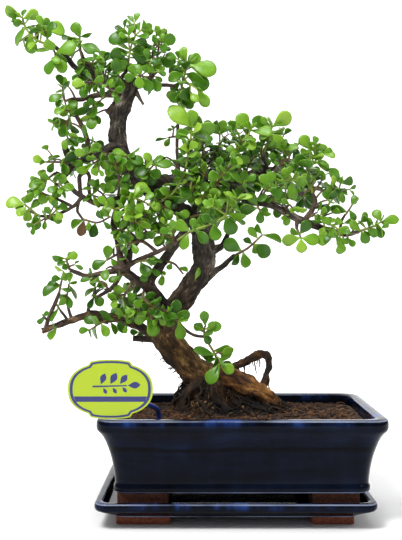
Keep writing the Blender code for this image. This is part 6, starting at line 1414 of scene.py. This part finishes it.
def straighten(obj, lines):
    """Note each point's place as if the limb were straight: two ways across it, one along it, in metres."""
    marks = []
    for line in lines:
        run, across = 0.0, None
        for before, point, after in zip([line[0]] + line[:-1], line, line[1:] + [line[-1]]):
            ahead = (place(after) - place(before)).normalized()
            across = ahead.orthogonal() if across is None else across - ahead * across.dot(ahead)
            across.normalize()
            run += (place(point) - place(before)).length
            marks.append((place(point), ahead, across, run))
    tree = KDTree(len(marks))
    for n, mark in enumerate(marks):
        tree.insert(mark[0], n)
    tree.balance()
    grain = obj.data.attributes.new("grain", "FLOAT_VECTOR", "POINT")
    for v, value in zip(obj.data.vertices, grain.data):
        spot, ahead, across, run = marks[tree.find(v.co)[1]]
        off = v.co - spot
        value.vector = (off.dot(across), off.dot(ahead.cross(across)), run + off.dot(ahead))


def rib(obj, size, strength):
    """Push the skin in and out in ribs that run along the limb; size and strength in millimetres."""
    normals = [v.normal.copy() for v in obj.data.vertices]
    for v, value, normal in zip(obj.data.vertices, obj.data.attributes["grain"].data, normals):
        x, y, run = value.vector
        v.co += normal * noise(Vector((x, y, 0.3 * run)) / (size * MM)) * strength * MM


def line_of(rows, spacing):
    """A fine smooth line through readings (x, z, y, thickness)."""
    return smooth_path([(*seen(x, z, y), d) for x, z, y, d in rows], spacing)


def dent(obj, size, strength):
    """Push the skin in and out by a soft texture; size and strength in millimetres."""
    pattern = bpy.data.textures.new(obj.name + "_dents", "CLOUDS")
    pattern.noise_scale = size * MM
    push = obj.modifiers.new("dents", "DISPLACE")
    push.texture = pattern
    push.texture_coords = "GLOBAL"
    push.strength = strength * MM
    push.mid_level = 0.5
    bpy.context.view_layer.objects.active = obj
    bpy.ops.object.modifier_apply(modifier="dents")


trunk_line = line_of(TRUNK, 1.3)
trunk = tube("trunk_bole", [trunk_line], 60, trunk_bark)
straighten(trunk, [trunk_line])
rib(trunk, 8.0, 2.4)
rib(trunk, 3.4, 1.2)
for size, strength in ((16.0, 4.0), (5.0, 2.4), (2.4, 1.4)):
    dent(trunk, size, strength)
print("trunk faces:", len(trunk.data.polygons))

# %% The limbs and the roots
ROOTS = ("buttress", "arched_root", "left_root", "front_root", "back_root")
thick, thin, roots, flaked = [], [], [], []
for name, rows in LIMBS.items():
    line = line_of(rows, 1.2 if name in ROOTS else 2.0)
    if name == "buttress":
        flaked.append(line)
    elif name in ROOTS:
        roots.append(line)
    elif max(row[3] for row in rows) > 7.5:
        thick.append(line)
    else:
        thin.append(line)
limbs = tube("limbs", thick, 18, trunk_bark)
straighten(limbs, thick)
rib(limbs, 3.5, 1.0)
dent(limbs, 6.0, 1.6)
twigs = tube("twigs", thin, 10, twig_bark)
straighten(twigs, thin)
dent(twigs, 3.0, 0.8)
big_roots = tube("big_roots", roots, 28, root_bark)
straighten(big_roots, roots)
flaked_root = tube("flaked_root", flaked, 44, flaked_bark)
straighten(flaked_root, flaked)
for root in (big_roots, flaked_root):
    rib(root, 5.0, 2.6)
    dent(root, 7.0, 3.0)
    dent(root, 2.2, 1.6)
print("limbs", len(thick), "twigs", len(thin), "roots", len(roots))

# %% [markdown]
# ## The root mound
# The root ball stands out of the peat as a mound of fine dark roots, all running down and outwards from
# the foot of the trunk. A lofted mound gives the body, and three hundred thin roots lie over it. Shorter
# hairs stick out every way, also below the arched root and the leaning trunk, and crumbs of bark and peat
# are caught between them.

# %% The mound and its fine roots
def shape_at(table, t):
    """The value at t in a table of (t, value) pairs, straight between them."""
    for (a, va), (b, vb) in zip(table, table[1:]):
        if t <= b:
            return va + (vb - va) * (t - a) / (b - a)
    return table[-1][1]


rings = [mound_ring(*row, 72) for row in MOUND]
verts, faces = loft(rings)
mesh = bpy.data.meshes.new("mound")
mesh.from_pydata([place(v) for v in verts], [], faces)
mound = show("mound", mesh)
mound.data.materials.append(root_bark)
pick(mound)
bpy.ops.object.mode_set(mode="EDIT")
bpy.ops.mesh.select_all(action="SELECT")
bpy.ops.mesh.normals_make_consistent(inside=False)
bpy.ops.mesh.subdivide(number_cuts=1)
bpy.ops.object.mode_set(mode="OBJECT")
bpy.ops.object.shade_smooth()
straighten(mound, [[(BALL[0] - 12, BALL[1], z) for z in (62, 84, 106, 128)]])
dent(mound, 7.0, 4.0)
dent(mound, 2.6, 2.4)
STRANDS, MOUND_HAIRS, ARCH_HAIRS, FOOT_HAIRS, CAUGHT_CRUMBS = 300, 520, 34, 40, 420
rng = random.Random(7)
strands = []
for n in range(STRANDS):
    a, swing, top = rng.uniform(0, 2 * math.pi), rng.gauss(0, 0.5), rng.uniform(97, 126)
    thickness, curl, strand = rng.choice((0.7, 0.8, 1.0, 1.4, 2.2)), rng.choice((0, 0, 0.05, 0.16)), []
    for z, share, x_shift, _ in reversed(MOUND[1:]):
        if z < top:
            turn = a + swing * (125.0 - z) / 36.0 + rng.uniform(-0.2, 0.2)
            grow = share + rng.uniform(-0.01, 0.05) + curl * math.sin(math.pi * (top - z) / (top - 88.0))
            strand.append((BALL[0] + x_shift + BALL[2] * grow * math.cos(turn),
                           BALL[1] + BALL[3] * grow * math.sin(turn), z + rng.uniform(-1, 1), thickness))
    if len(strand) > 1:
        strands.append(smooth_path(strand, 3.0))
fine_roots = tube("fine_roots", strands, 6, root_bark)
straighten(fine_roots, strands)


def on_mound(turn, z):
    """A place on the mound's skin, and the way out of it."""
    share = shape_at([(row[0], row[1]) for row in MOUND], z)
    x = BALL[0] + shape_at([(row[0], row[2]) for row in MOUND], z) + BALL[2] * share * math.cos(turn)
    y = BALL[1] + BALL[3] * share * math.sin(turn)
    return Vector((x, y, z)), Vector((math.cos(turn), math.sin(turn), 0.4))


hairs = []
for n in range(MOUND_HAIRS):
    foot, out = on_mound(rng.uniform(0, 6.28), rng.uniform(87, 119))
    way = Vector([rng.uniform(-1, 1) for _ in range(3)]) * rng.uniform(3, 9)
    hairs.append([Vector((*p, rng.uniform(0.45, 0.9))) for p in
                  (foot - way, foot + out * rng.uniform(1.5, 4.5), foot + way - out * 0.5)])
arch = [p for p in line_of(LIMBS["arched_root"], 2.0) if p.z > 112.0]
for n in range(ARCH_HAIRS):
    point = rng.choice(arch)
    foot = point.to_3d() + Vector((rng.uniform(-2, 2), rng.uniform(-2, 2), -point[3] * 0.3))
    drop = Vector((rng.uniform(-2.5, 2.5), rng.uniform(-2, 2), -rng.uniform(3, 15)))
    hairs.append([Vector((*p, rng.uniform(0.7, 1.4))) for p in
                  (foot, foot + drop * 0.5 + Vector((rng.uniform(-1, 1), 0, 0)), foot + drop)])
leaning = [p for p in trunk_line if p.z < 150.0]
for n in range(FOOT_HAIRS):
    point = rng.choice(leaning)
    foot = point.to_3d() + Vector((-point[3] * 0.40, rng.uniform(-6, 6), -point[3] * 0.2))
    hairs.append([Vector((*p, rng.uniform(0.6, 1.0))) for p in
                  (foot, foot + Vector((-rng.uniform(1, 3), 0, -1.0)),
                   foot + Vector((-rng.uniform(3, 6), rng.uniform(-2, 2), -rng.uniform(0, 4))))])
hairs = [smooth_path(hair, 2.5) for hair in hairs]
dark_lines = hairs[::3] + hairs[1::3]
dark_hairs = tube("dark_hairs", dark_lines, 6, root_bark)
straighten(dark_hairs, dark_lines)
pale_hairs = tube("pale_hairs", hairs[2::3], 6, root_hair)
bpy.ops.mesh.primitive_ico_sphere_add(subdivisions=1, radius=0.5, location=(0, 0, 0))
crumb = bpy.context.object


def crumb_at(point, rng, mat):
    """A small angular crumb, flattened and turned at random, at a place in millimetres."""
    mesh = crumb.data.copy()
    size = rng.choice((1.2, 1.6, 2.2, 3.0, 4.2)) * MM
    turn = Matrix.Rotation(rng.uniform(0, 6.28), 4, (rng.uniform(-1, 1), rng.uniform(-1, 1), 1))
    stretch = Matrix.Diagonal((size * rng.uniform(0.8, 1.8), size, size * rng.uniform(0.6, 1.0), 1.0))
    mesh.transform(Matrix.Translation(place(point)) @ turn @ stretch)
    mesh.materials.append(mat)
    return show("crumb", mesh)


caught = [crumb_at(sum(on_mound(rng.uniform(0, 6.28), rng.uniform(87, 117)), Vector()), rng,
                   rng.choice((root_bark, root_bark, root_hair))) for _ in range(CAUGHT_CRUMBS)]
wood = join([trunk, limbs, twigs, big_roots, flaked_root, mound, fine_roots, dark_hairs, pale_hairs]
            + caught, "jade_wood")
print("wood faces:", len(wood.data.polygons))

# %% [markdown]
# ## A leaf
# The leaf is a flat fleshy spoon: widest past the middle, rounded at the tip, narrowed to almost nothing
# at its foot, and about two millimetres thick. A ball is a good start, because it is closed and has a
# ring of points at every step of its length. Each ring is scaled to the leaf's width and thickness there
# and pushed down a little, so that the leaf bows back. It is made one unit long, and every copy is scaled.

# %% Shape one leaf from a ball
LEAF_WIDTH = ((0.0, 0.09), (0.1, 0.15), (0.25, 0.42), (0.43, 0.76), (0.62, 1.0), (0.77, 0.96), (0.9, 0.70),
              (0.97, 0.38), (1.0, 0.08))


def shape_leaf(name, bow, cup, fold, twist):
    """A leaf from x = 0 to 1, one unit wide, its upper side facing +Z, twisted by degrees at the tip."""
    bpy.ops.mesh.primitive_uv_sphere_add(segments=8, ring_count=9, radius=0.5, location=(0, 0, 0))
    made = bpy.context.object
    made.name = name
    bpy.ops.object.mode_set(mode="EDIT")
    bpy.ops.mesh.select_all(action="SELECT")
    bpy.ops.transform.rotate(value=math.radians(90), orient_axis="Y", center_override=(0, 0, 0))
    bpy.ops.transform.translate(value=(0.5, 0, 0))
    bpy.ops.object.mode_set(mode="OBJECT")
    mesh = made.data
    along = mesh.attributes.new("leaf_along", "FLOAT", "POINT")
    rim = mesh.attributes.new("leaf_rim", "FLOAT", "POINT")
    for n, v in enumerate(mesh.vertices):
        t = min(1.0, max(0.0, v.co.x))
        radius = math.sqrt(max(1e-6, 0.25 - (t - 0.5) ** 2))
        y, z = (v.co.y / radius, v.co.z / radius) if radius > 0.01 else (0.0, 0.0)
        half = shape_at(LEAF_WIDTH, t)
        thick = 0.060 * min(1.0, 0.55 + half * 0.6)
        across, up = y * half * 0.5, z * thick + cup * (y * half) ** 2 + fold * abs(y * half)
        turn = math.radians(twist) * t
        v.co.y = across * math.cos(turn) - up * math.sin(turn)
        v.co.z = across * math.sin(turn) + up * math.cos(turn) - bow * t * t
        along.data[n].value = t
        rim.data[n].value = abs(y)
    bpy.ops.object.shade_smooth()
    return made


leaf_shapes = [shape_leaf(*row) for row in (
    ("leaf_flat", 0.08, 0.0, 0.02, 6), ("leaf_bowed", 0.24, 0.03, 0.0, -14),
    ("leaf_cupped", -0.05, 0.16, 0.0, 12), ("leaf_folded", 0.12, 0.0, 0.20, -8),
    ("leaf_twisted", 0.16, 0.06, 0.05, 34))]
print("leaf faces:", [len(shape.data.polygons) for shape in leaf_shapes])

# %% [markdown]
# ## Leaf green and stem green
# A jade leaf is smooth, with a thin waxy skin over wet green flesh, so it has a soft gloss and lets a
# little light through. Young leaves are yellow-green, old ones deep green. Each leaf carries one number,
# its tone, and the colour is looked up from that, with paler flesh at its foot and along its rim. The tone
# also holds painted shade: it is lower for leaves further back and deep in the crown.

# %% Make the leaf and stem materials
leaf_green, shader = new_material("Fleshy jade leaf", Roughness=0.33, IOR=1.45, Specular_IOR_Level=0.33)
shader.inputs["Subsurface Weight"].default_value = 0.12
shader.inputs["Subsurface Radius"].default_value = (0.4, 1.0, 0.15)
shader.inputs["Subsurface Scale"].default_value = 0.0012
tone = add(leaf_green, "Attribute", attribute_name="leaf_tone")
along = add(leaf_green, "Attribute", attribute_name="leaf_along")
rim = add(leaf_green, "Attribute", attribute_name="leaf_rim")
at = add(leaf_green, "TexCoord").outputs["Object"]
mottle = add(leaf_green, "TexNoise", {"Vector": at, "Scale": per(6), "Detail": 3.0})
shift = add(leaf_green, "MapRange", {"Value": mottle.outputs["Fac"], "To Min": -0.09, "To Max": 0.09})
summed = add(leaf_green, "Math", {0: tone.outputs["Fac"], 1: shift.outputs["Result"]}, operation="ADD")
green = add(leaf_green, "ValToRGB", {"Fac": summed.outputs["Value"]},
            stops=((0.0, "#102A04"), (0.30, "#264F0A"), (0.55, "#447512"), (0.80, "#679421"),
                   (1.0, "#8CB036")))
foot = add(leaf_green, "MapRange", {"Value": along.outputs["Fac"], "From Min": 0.28, "From Max": 0.0,
                                    "To Max": 0.75})
edge = add(leaf_green, "MapRange", {"Value": rim.outputs["Fac"], "From Min": 0.80, "From Max": 1.0,
                                    "To Max": 0.45})
both = add(leaf_green, "Math", {0: foot.outputs["Result"], 1: edge.outputs["Result"]}, operation="MAXIMUM")
pale = add(leaf_green, "MixRGB", {"Fac": both.outputs["Value"], "Color1": green.outputs["Color"],
                                  "Color2": colour("#93B840")})
link(leaf_green, pale.outputs["Color"], shader.inputs["Base Color"])
bump = add(leaf_green, "Bump", {"Height": mottle.outputs["Fac"], "Strength": 0.25, "Distance": 0.0006})
link(leaf_green, bump.outputs["Normal"], shader.inputs["Normal"])


def make_stem(name, stops):
    """Skin of a shoot, mottled between the colours given."""
    mat, shader = new_material(name, Roughness=0.45)
    at = add(mat, "TexCoord").outputs["Object"]
    mottle = add(mat, "TexNoise", {"Vector": at, "Scale": per(11), "Detail": 4.0})
    skin = add(mat, "ValToRGB", {"Fac": mottle.outputs["Fac"]}, stops=stops)
    link(mat, skin.outputs["Color"], shader.inputs["Base Color"])
    return mat


young_stem = make_stem("Young green jade stem", ((0.35, "#5C5A1E"), (0.48, "#74802A"), (0.65, "#8FA63C")))
old_stem = make_stem("Jade stem turning to bark", ((0.35, "#36211A"), (0.50, "#5A3E28"), (0.68, "#75702F")))
print("leaf materials:", leaf_green.name, "/", young_stem.name, "/", old_stem.name)

# %% [markdown]
# ## Grow the shoots
# Every shoot is one piece: its stems as tubes, and a copy of a leaf for each place in the list, turned so
# that it points from base to tip with its upper side towards its face. Each copy has its own mesh, scaled
# to the leaf's length, and all copies are joined to the stems.

# %% Grow every shoot
LEAF_ASPECTS = (0.60, 0.76)
# Tone shift per shoot: positive values give a lighter green and young green stems; negative values darken
# shoots deep in the crown and behind it, as painted shade.
SHOOT_TONE_AND_SHADE = {"bright_shoot": 0.16, "front_bright": 0.12, "far_tip": 0.08, "upper_tip": 0.05, "right_tip": 0.04,
          "right_crest": 0.06, "top_shoot": 0.05, "green_hang": 0.04, "out_tip": 0.08, "arm_green": 0.06,
          "riser_top": 0.1, "riser_top_leaves": 0.1, "inner_top": 0.08, "beam_top": 0.1, "upper_mid": 0.08,
          "upper_right_tip": 0.1, "fork_right": 0.06, "knot_drop": -0.05, "back_heart": -0.1,
          "back_trunk": -0.1, "back_beam": -0.05}


def leaf_copy(shape, base, tip, face, tone_value, width):
    """A copy of a leaf shape with its own mesh, from base to tip."""
    along = (tip - base).normalized()
    across = along.cross(face).normalized()
    up = across.cross(along).normalized()
    length = (tip - base).length
    turn = Matrix((along, up.cross(along), up)).transposed()
    mesh = shape.data.copy()
    size = Matrix.Diagonal((length, length * width, length)).to_4x4()
    mesh.transform(Matrix.Translation(place(base)) @ turn.to_4x4() @ size @ Matrix.Scale(MM, 4))
    values = mesh.attributes.new("leaf_tone", "FLOAT", "POINT")
    values.data.foreach_set("value", [tone_value] * len(mesh.vertices))
    return show(shape.name, mesh)


for shape in leaf_shapes:
    shape.data.materials.append(leaf_green)
shoots = {}
for number, (name, spray) in enumerate(SPRAYS.items()):
    rng = random.Random(500 + number)
    lines = []
    for n, path in enumerate(thin_stems[name]):
        line = smooth_path(path, 2.0)
        if n == 0 and (starts[name] - line[0].to_3d()).length > 0.5:
            line = [Vector((*starts[name], line[0][3]))] + line
        lines.append(line)
    lines += [smooth_path(path, 2.0) for path in more_twigs[name]]
    stems = tube(name + "_stems", lines, 8, young_stem if SHOOT_TONE_AND_SHADE.get(name, 0) > 0.03 else old_stem)
    parts = [stems]
    axes_here = [(a.to_3d(), b.to_3d(), 1.0, 1.0, False) for line in lines for a, b in zip(line, line[1:])]
    own = [row for row in grown_leaves if row[0] == name]
    for _, base, tip, face in own:
        root = nearest_on(axes_here, base)[0]
        young = min((root - line[-1].to_3d()).length for line in lines)
        tone_value = 0.46 + 0.20 * math.exp(-young / 8.0) + SHOOT_TONE_AND_SHADE.get(name, 0.0) + rng.gauss(0, 0.13)
        # Painted shade: leaves further back get a darker tone, leaves in front a lighter one.
        tone_value -= 0.002 * base.y
        shown = (face + outward(tip) * 0.35 + Vector([rng.gauss(0, 0.25) for _ in range(3)])).normalized()
        parts.append(leaf_copy(rng.choice(leaf_shapes), root, tip + (root - base), shown,
                               min(0.98, max(0.03, tone_value)), rng.uniform(*LEAF_ASPECTS)))
    shoots[name] = join(parts, name + "_shoot")
print("shoots grown:", len(shoots))

# %% [markdown]
# ## Shoots straight from the wood
# A jade also sprouts from its bare wood. Short shoots with two to four pairs of leaves stand along the
# limbs, outwards from the crown, and round it off at the back and sides.

# %% Grow shoots on the limbs
rng = random.Random(77)
BARE = ROOTS + ("cut_stub", "hanging")
BACK_SHARE, FRONT_SHARE = 0.6, 0.2
sprouts = []
for name, rows in LIMBS.items():
    if name in BARE:
        continue
    line = line_of(rows, 5.0)
    for point, after in zip(line[1:], line[2:] + [line[-1]]):
        if rng.random() > (BACK_SHARE if name.startswith("back") else FRONT_SHARE):
            continue
        foot, ahead = point.to_3d(), (after - point).to_3d()
        if ahead.length < 0.1:
            ahead = (point - line[0]).to_3d()
        ahead.normalize()
        around = Matrix.Rotation(rng.uniform(0, 6.28), 3, ahead) @ ahead.orthogonal().normalized()
        out = (around + ahead * 0.5 + outward(foot) * 0.9).normalized()
        tip = foot + out * (point[3] / 2 + rng.uniform(10.0, 24.0))
        if in_window(tip):
            continue
        bend = foot.lerp(tip, 0.5) + Vector((rng.uniform(-2, 2), rng.uniform(-2, 2), 1.5))
        stem = [foot, bend, tip]
        before = len(grown_leaves)
        rows_here = [(0, point[3] / 2 + 5.0, rng.uniform(4.5, 6.0), rng.uniform(0, 90),
                      rng.uniform(13.0, 17.5))]
        for base, leaf_tip, face in pair_leaves([stem], rows_here, rng):
            if not in_window(leaf_tip):
                face = (face + outward(leaf_tip)).normalized()
                lay("sprouts", base, leaf_tip, face, True, (0, 40, -40, 80))
        if len(grown_leaves) > before:
            sprouts.append([Vector((*p, d)) for p, d in zip(stem, (2.2, 1.9, 1.4))])
parts = [tube("sprout_stems", [smooth_path(path, 2.0) for path in sprouts], 8, old_stem)]
for owner, base, tip, face in grown_leaves:
    if owner == "sprouts":
        shown = (face + Vector([rng.gauss(0, 0.25) for _ in range(3)])).normalized()
        # Painted shade: leaves further back get a darker tone, leaves in front a lighter one.
        tone_value = min(0.98, max(0.03, 0.52 + rng.gauss(0, 0.13) - 0.002 * base.y))
        parts.append(leaf_copy(rng.choice(leaf_shapes), base, tip, shown, tone_value,
                               rng.uniform(*LEAF_ASPECTS)))

# %% One withered leaf
withered, shader = new_material("Withered jade leaf", Roughness=0.6, Base_Color=colour("#5E3F1C"))
stem_lines = stem_axes([[p.to_3d() for p in path] for paths in thin_stems.values() for path in paths])
dry_base = nearest_on(stem_lines, seen(-153, 277, -28))[0]
dry = leaf_copy(leaf_shapes[3], dry_base, dry_base + Vector((-4.0, -1.0, -15.0)), Vector((0.2, -1, 0.1)),
                0.5, LEAF_ASPECT)
dry.data.materials[0] = withered
sprout_piece = join(parts + [dry], "sprouts")
for shape in leaf_shapes:
    bpy.data.objects.remove(shape)
print("sprouts on the wood:", len(sprouts), "leaves in all:", len(grown_leaves))

# %% Let the pieces stand for their solids
on_wood = [shoot for name, shoot in shoots.items() if SPRAYS[name].get("fused")]
for name, shoot in shoots.items():
    if not SPRAYS[name].get("fused"):
        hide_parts(name)
        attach(shoot, "root")
trunk_shoots = join(on_wood + [sprout_piece], "trunk_shoots")
for piece, slot_name in ((wood, "jade_bark"), (trunk_shoots, "jade_leaf")):
    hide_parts("trunk")
    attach(piece, "root")

# %% [markdown]
# ## The peat
# The soil is peat: dark brown, crumbly, full of small fibres, and higher round the roots. A fine grid is
# fitted to the inside of the pot, raised towards the root mound and roughened; its rim is then drawn down
# so that it is a body and not a sheet. Loose crumbs lie on top.

# %% Make the peat
peat, shader = new_material("Damp crumbly peat", Roughness=0.95)
at = add(peat, "TexCoord").outputs["Object"]
crumb_grain = add(peat, "TexNoise", {"Vector": at, "Scale": per(2.4), "Detail": 6.0, "Roughness": 0.7})
tint = add(peat, "ValToRGB", {"Fac": crumb_grain.outputs["Fac"]},
           stops=((0.36, "#090402"), (0.47, "#201208"), (0.57, "#4A2D17"), (0.70, "#93683E")))
link(peat, tint.outputs["Color"], shader.inputs["Base Color"])
bump = add(peat, "Bump", {"Height": crumb_grain.outputs["Fac"], "Strength": 1.0, "Distance": 0.0012})
link(peat, bump.outputs["Normal"], shader.inputs["Normal"])
chips, shader = new_material("Pale bark chips and root fibre", Roughness=0.9, Base_Color=colour("#6A4526"))
print("soil materials:", peat.name, "/", chips.name)

# %% Fill the pot
SOIL_X, SOIL_Y, SOIL_EDGE, SOIL_CROWN = 112.6, 77.6, 84.5, 91.0


def soil_height(x, y):
    """The peat's level at a place: it rises from the wall to the root mound."""
    out = math.hypot((x - BALL[0]) / BALL[2], (y - BALL[1]) / BALL[3])
    near = min(1.0, max(0.0, (2.2 - out) / 1.2))
    return SOIL_EDGE + (SOIL_CROWN - SOIL_EDGE) * near ** 1.5


bpy.ops.mesh.primitive_grid_add(x_subdivisions=120, y_subdivisions=84, size=2, location=(0, 0, 0))
soil = bpy.context.object
for v in soil.data.vertices:
    reach = max(abs(v.co.x), abs(v.co.y))
    soft = reach / max(1e-6, (abs(v.co.x) ** 9 + abs(v.co.y) ** 9) ** (1 / 9))
    x, y = v.co.x * soft * SOIL_X, v.co.y * soft * SOIL_Y
    v.co = place((x, y, soil_height(x, y)))
dent(soil, 9.0, 2.6)
dent(soil, 3.0, 1.6)
pick(soil)
bpy.ops.object.mode_set(mode="EDIT")
bpy.ops.mesh.select_all(action="SELECT")
bpy.ops.mesh.region_to_loop()
for depth, shrink in ((20, 0.965), (27, 0.92)):
    bpy.ops.mesh.extrude_edges_move(TRANSFORM_OT_translate={"value": (0, 0, -depth * MM)})
    bpy.ops.transform.resize(value=(shrink, shrink, 1), center_override=place((0, 0, 60)))
bpy.ops.mesh.fill()
bpy.ops.mesh.select_all(action="SELECT")
bpy.ops.mesh.normals_make_consistent(inside=False)
bpy.ops.object.mode_set(mode="OBJECT")
bpy.ops.object.shade_smooth()
soil.data.materials.append(peat)
print("soil faces:", len(soil.data.polygons))

# %% Scatter crumbs
CRUMBS, FIBRES = 1100, 520
rng = random.Random(3)
crumbs = []
for n in range(CRUMBS):
    x, y = rng.uniform(-108, 108), rng.uniform(-73, 73)
    if math.hypot((x - BALL[0]) / BALL[2], (y - BALL[1]) / BALL[3]) < 0.8:
        continue
    spot = Vector((x, y, soil_height(x, y) + rng.uniform(0.0, 0.8)))
    crumbs.append(crumb_at(spot, rng, peat if n % 6 else chips))
bpy.data.objects.remove(crumb)
fibres = []
for n in range(FIBRES):
    x, y, turn = rng.uniform(-106, 106), rng.uniform(-71, 71), rng.uniform(0, 6.28)
    length, bend, z = rng.uniform(2, 6), rng.uniform(-1.5, 1.5), soil_height(x, y) + 0.6
    across = Vector((-math.sin(turn), math.cos(turn), 0))
    ahead, middle, fibre = Vector((math.cos(turn), math.sin(turn), 0)), Vector((x, y, z)), []
    for s, lift in ((-1, 0), (0, rng.uniform(0.2, 1.4)), (1, 0)):
        spot = middle + ahead * length * s + across * bend * (1 - s * s) + Vector((0, 0, lift))
        fibre.append(Vector((*spot, rng.uniform(0.5, 1.1))))
    fibres.append(fibre)
dark = tube("dark_fibres", [smooth_path(line, 2.5) for line in fibres[::2]], 6, peat)
pale_ones = tube("pale_fibres", [smooth_path(line, 2.5) for line in fibres[1::2]], 6, chips)
soil = join([soil, dark, pale_ones] + crumbs, "peat_fill")
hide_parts("soil")
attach(soil, "root")
print("crumbs:", len(crumbs))

# %% [markdown]
# ## The plant label
# The label is a printed oval of lime plastic on a blue stake. The print is a thin layer of ink, so it is
# built as flat shapes that stand a hair proud of the plate: a navy rim, a band and a leafy sprig.

# %% Make the plastics
lime, shader = new_material("Lime moulded plastic", Roughness=0.32, Base_Color=colour("#A6BC1A"), IOR=1.47)
ink, shader = new_material("Navy printed ink", Roughness=0.4, Base_Color=colour("#2A2F6B"))
blue_plastic, shader = new_material("Blue moulded plastic", Roughness=0.35, Base_Color=colour("#1E3A8A"),
                                    IOR=1.47)
print("plastics:", lime.name, "/", ink.name, "/", blue_plastic.name)

# %% Cut the plate and print it
PLATE = Vector((-112.0, -85.0, 119.3))
PLATE_X, PLATE_Z, PLATE_T, INK_T = 72.0, 45.0, 1.0, 0.06


def plate_outline(share, count=96):
    """The oval of the plate with its two tabs, at a share of its size."""
    points = []
    for k in range(count):
        a = 2 * math.pi * k / count
        c, s = math.cos(a), math.sin(a)
        r = (abs(c) ** 2.4 + abs(s) ** 2.4) ** (-1 / 2.4)
        x, z = PLATE_X / 2 * c * r, PLATE_Z / 2 * s * r
        tab = min(1.0, max(0.0, (PLATE_X * 0.26 - abs(x)) / 1.6))
        points.append((x * share, (z + math.copysign(2.6, z) * tab) * share))
    return points


def flat_shape(name, loops, front, back, mat):
    """A thin body between a front and a back depth; a second loop is its hole."""
    bm = bmesh.new()
    edges = []
    for loop in loops:
        ring = [bm.verts.new(place(PLATE + Vector((x, front, z)))) for x, z in loop]
        edges += [bm.edges.new((a, b)) for a, b in zip(ring, ring[1:] + ring[:1])]
    filled = bmesh.ops.triangle_fill(bm, edges=edges, use_beauty=True)
    faces = [f for f in filled["geom"] if isinstance(f, bmesh.types.BMFace)]
    drawn = bmesh.ops.extrude_face_region(bm, geom=faces, use_keep_orig=True)
    for v in (g for g in drawn["geom"] if isinstance(g, bmesh.types.BMVert)):
        v.co.y += (back - front) * MM
    bmesh.ops.recalc_face_normals(bm, faces=bm.faces)
    mesh = bpy.data.meshes.new(name)
    bm.to_mesh(mesh)
    bm.free()
    mesh.materials.append(mat)
    return show(name, mesh)


def leaf_loop(x, z, length, turn):
    """The outline of a small printed leaf that starts at a place and points along an angle."""
    there = [(1, k / 12) for k in range(12)]
    back_again = [(-1, 1 - k / 12) for k in range(12)]
    rim = [(t * length, side * math.sin(math.pi * t ** 1.3) * length * 0.26)
           for side, t in there + back_again]
    c, s = math.cos(math.radians(turn)), math.sin(math.radians(turn))
    return [(x + u * c - v * s, z + u * s + v * c) for u, v in rim]


plate = flat_shape("plate", [plate_outline(1.0)], 0.0, PLATE_T, lime)
rim_print = flat_shape("rim_print", [plate_outline(0.95), plate_outline(0.885)], -INK_T, 0.2, ink)
band = flat_shape("band", [[(-29, -10.5), (29, -10.5), (31, -6.0), (-31, -6.0)]], -INK_T, 0.2, ink)
stalk = flat_shape("stalk", [[(-15, 1.6), (14, 2.6), (14, 3.6), (-15, 3.2)]], -INK_T, 0.2, ink)
sprig = [flat_shape("sprig", [leaf_loop(x, z, length, turn)], -INK_T, 0.2, ink)
         for x, z, length, turn in ((-8, 4.0, 10, 70), (-6, 1.4, 6, -62), (0, 4.2, 11, 62),
                                    (2, 1.6, 6, -58), (8, 4.4, 10, 52), (10, 2.0, 6, -50),
                                    (14.5, 3.1, 11, 4))] + [stalk]
label = join([plate, rim_print, band] + sprig, "plant_label")
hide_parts("label_plate")
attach(label, "root")
print("label faces:", len(label.data.polygons))

# %% Mould the stake
back = PLATE.y + PLATE_T + GAP
bend = [(PLATE.x + 4, back + 1.9, PLATE.z - 2, 3.0), (PLATE.x + 16, back + 3.0, PLATE.z - 7, 3.6),
        (-81, -62, 103, 4.2), (-74.5, -47, 97, 4.4), (-73, -42, 90, 4.4), (-73, -42, 76, 4.0),
        (-73, -42, 60, 2.0)]
stake = tube("label_rod", [smooth_path(bend, 1.5)], 14, blue_plastic)
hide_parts("label_stake")
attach(stake, "root")
netting, shader = new_material("Black plastic netting", Roughness=0.6, Base_Color=colour("#15161A"))
for name in ("drain_mesh_1", "drain_mesh_2"):
    mesh = bpy.data.objects[name].data
    mesh.materials.clear()
    mesh.materials.append(netting)
print("stake faces:", len(stake.data.polygons))
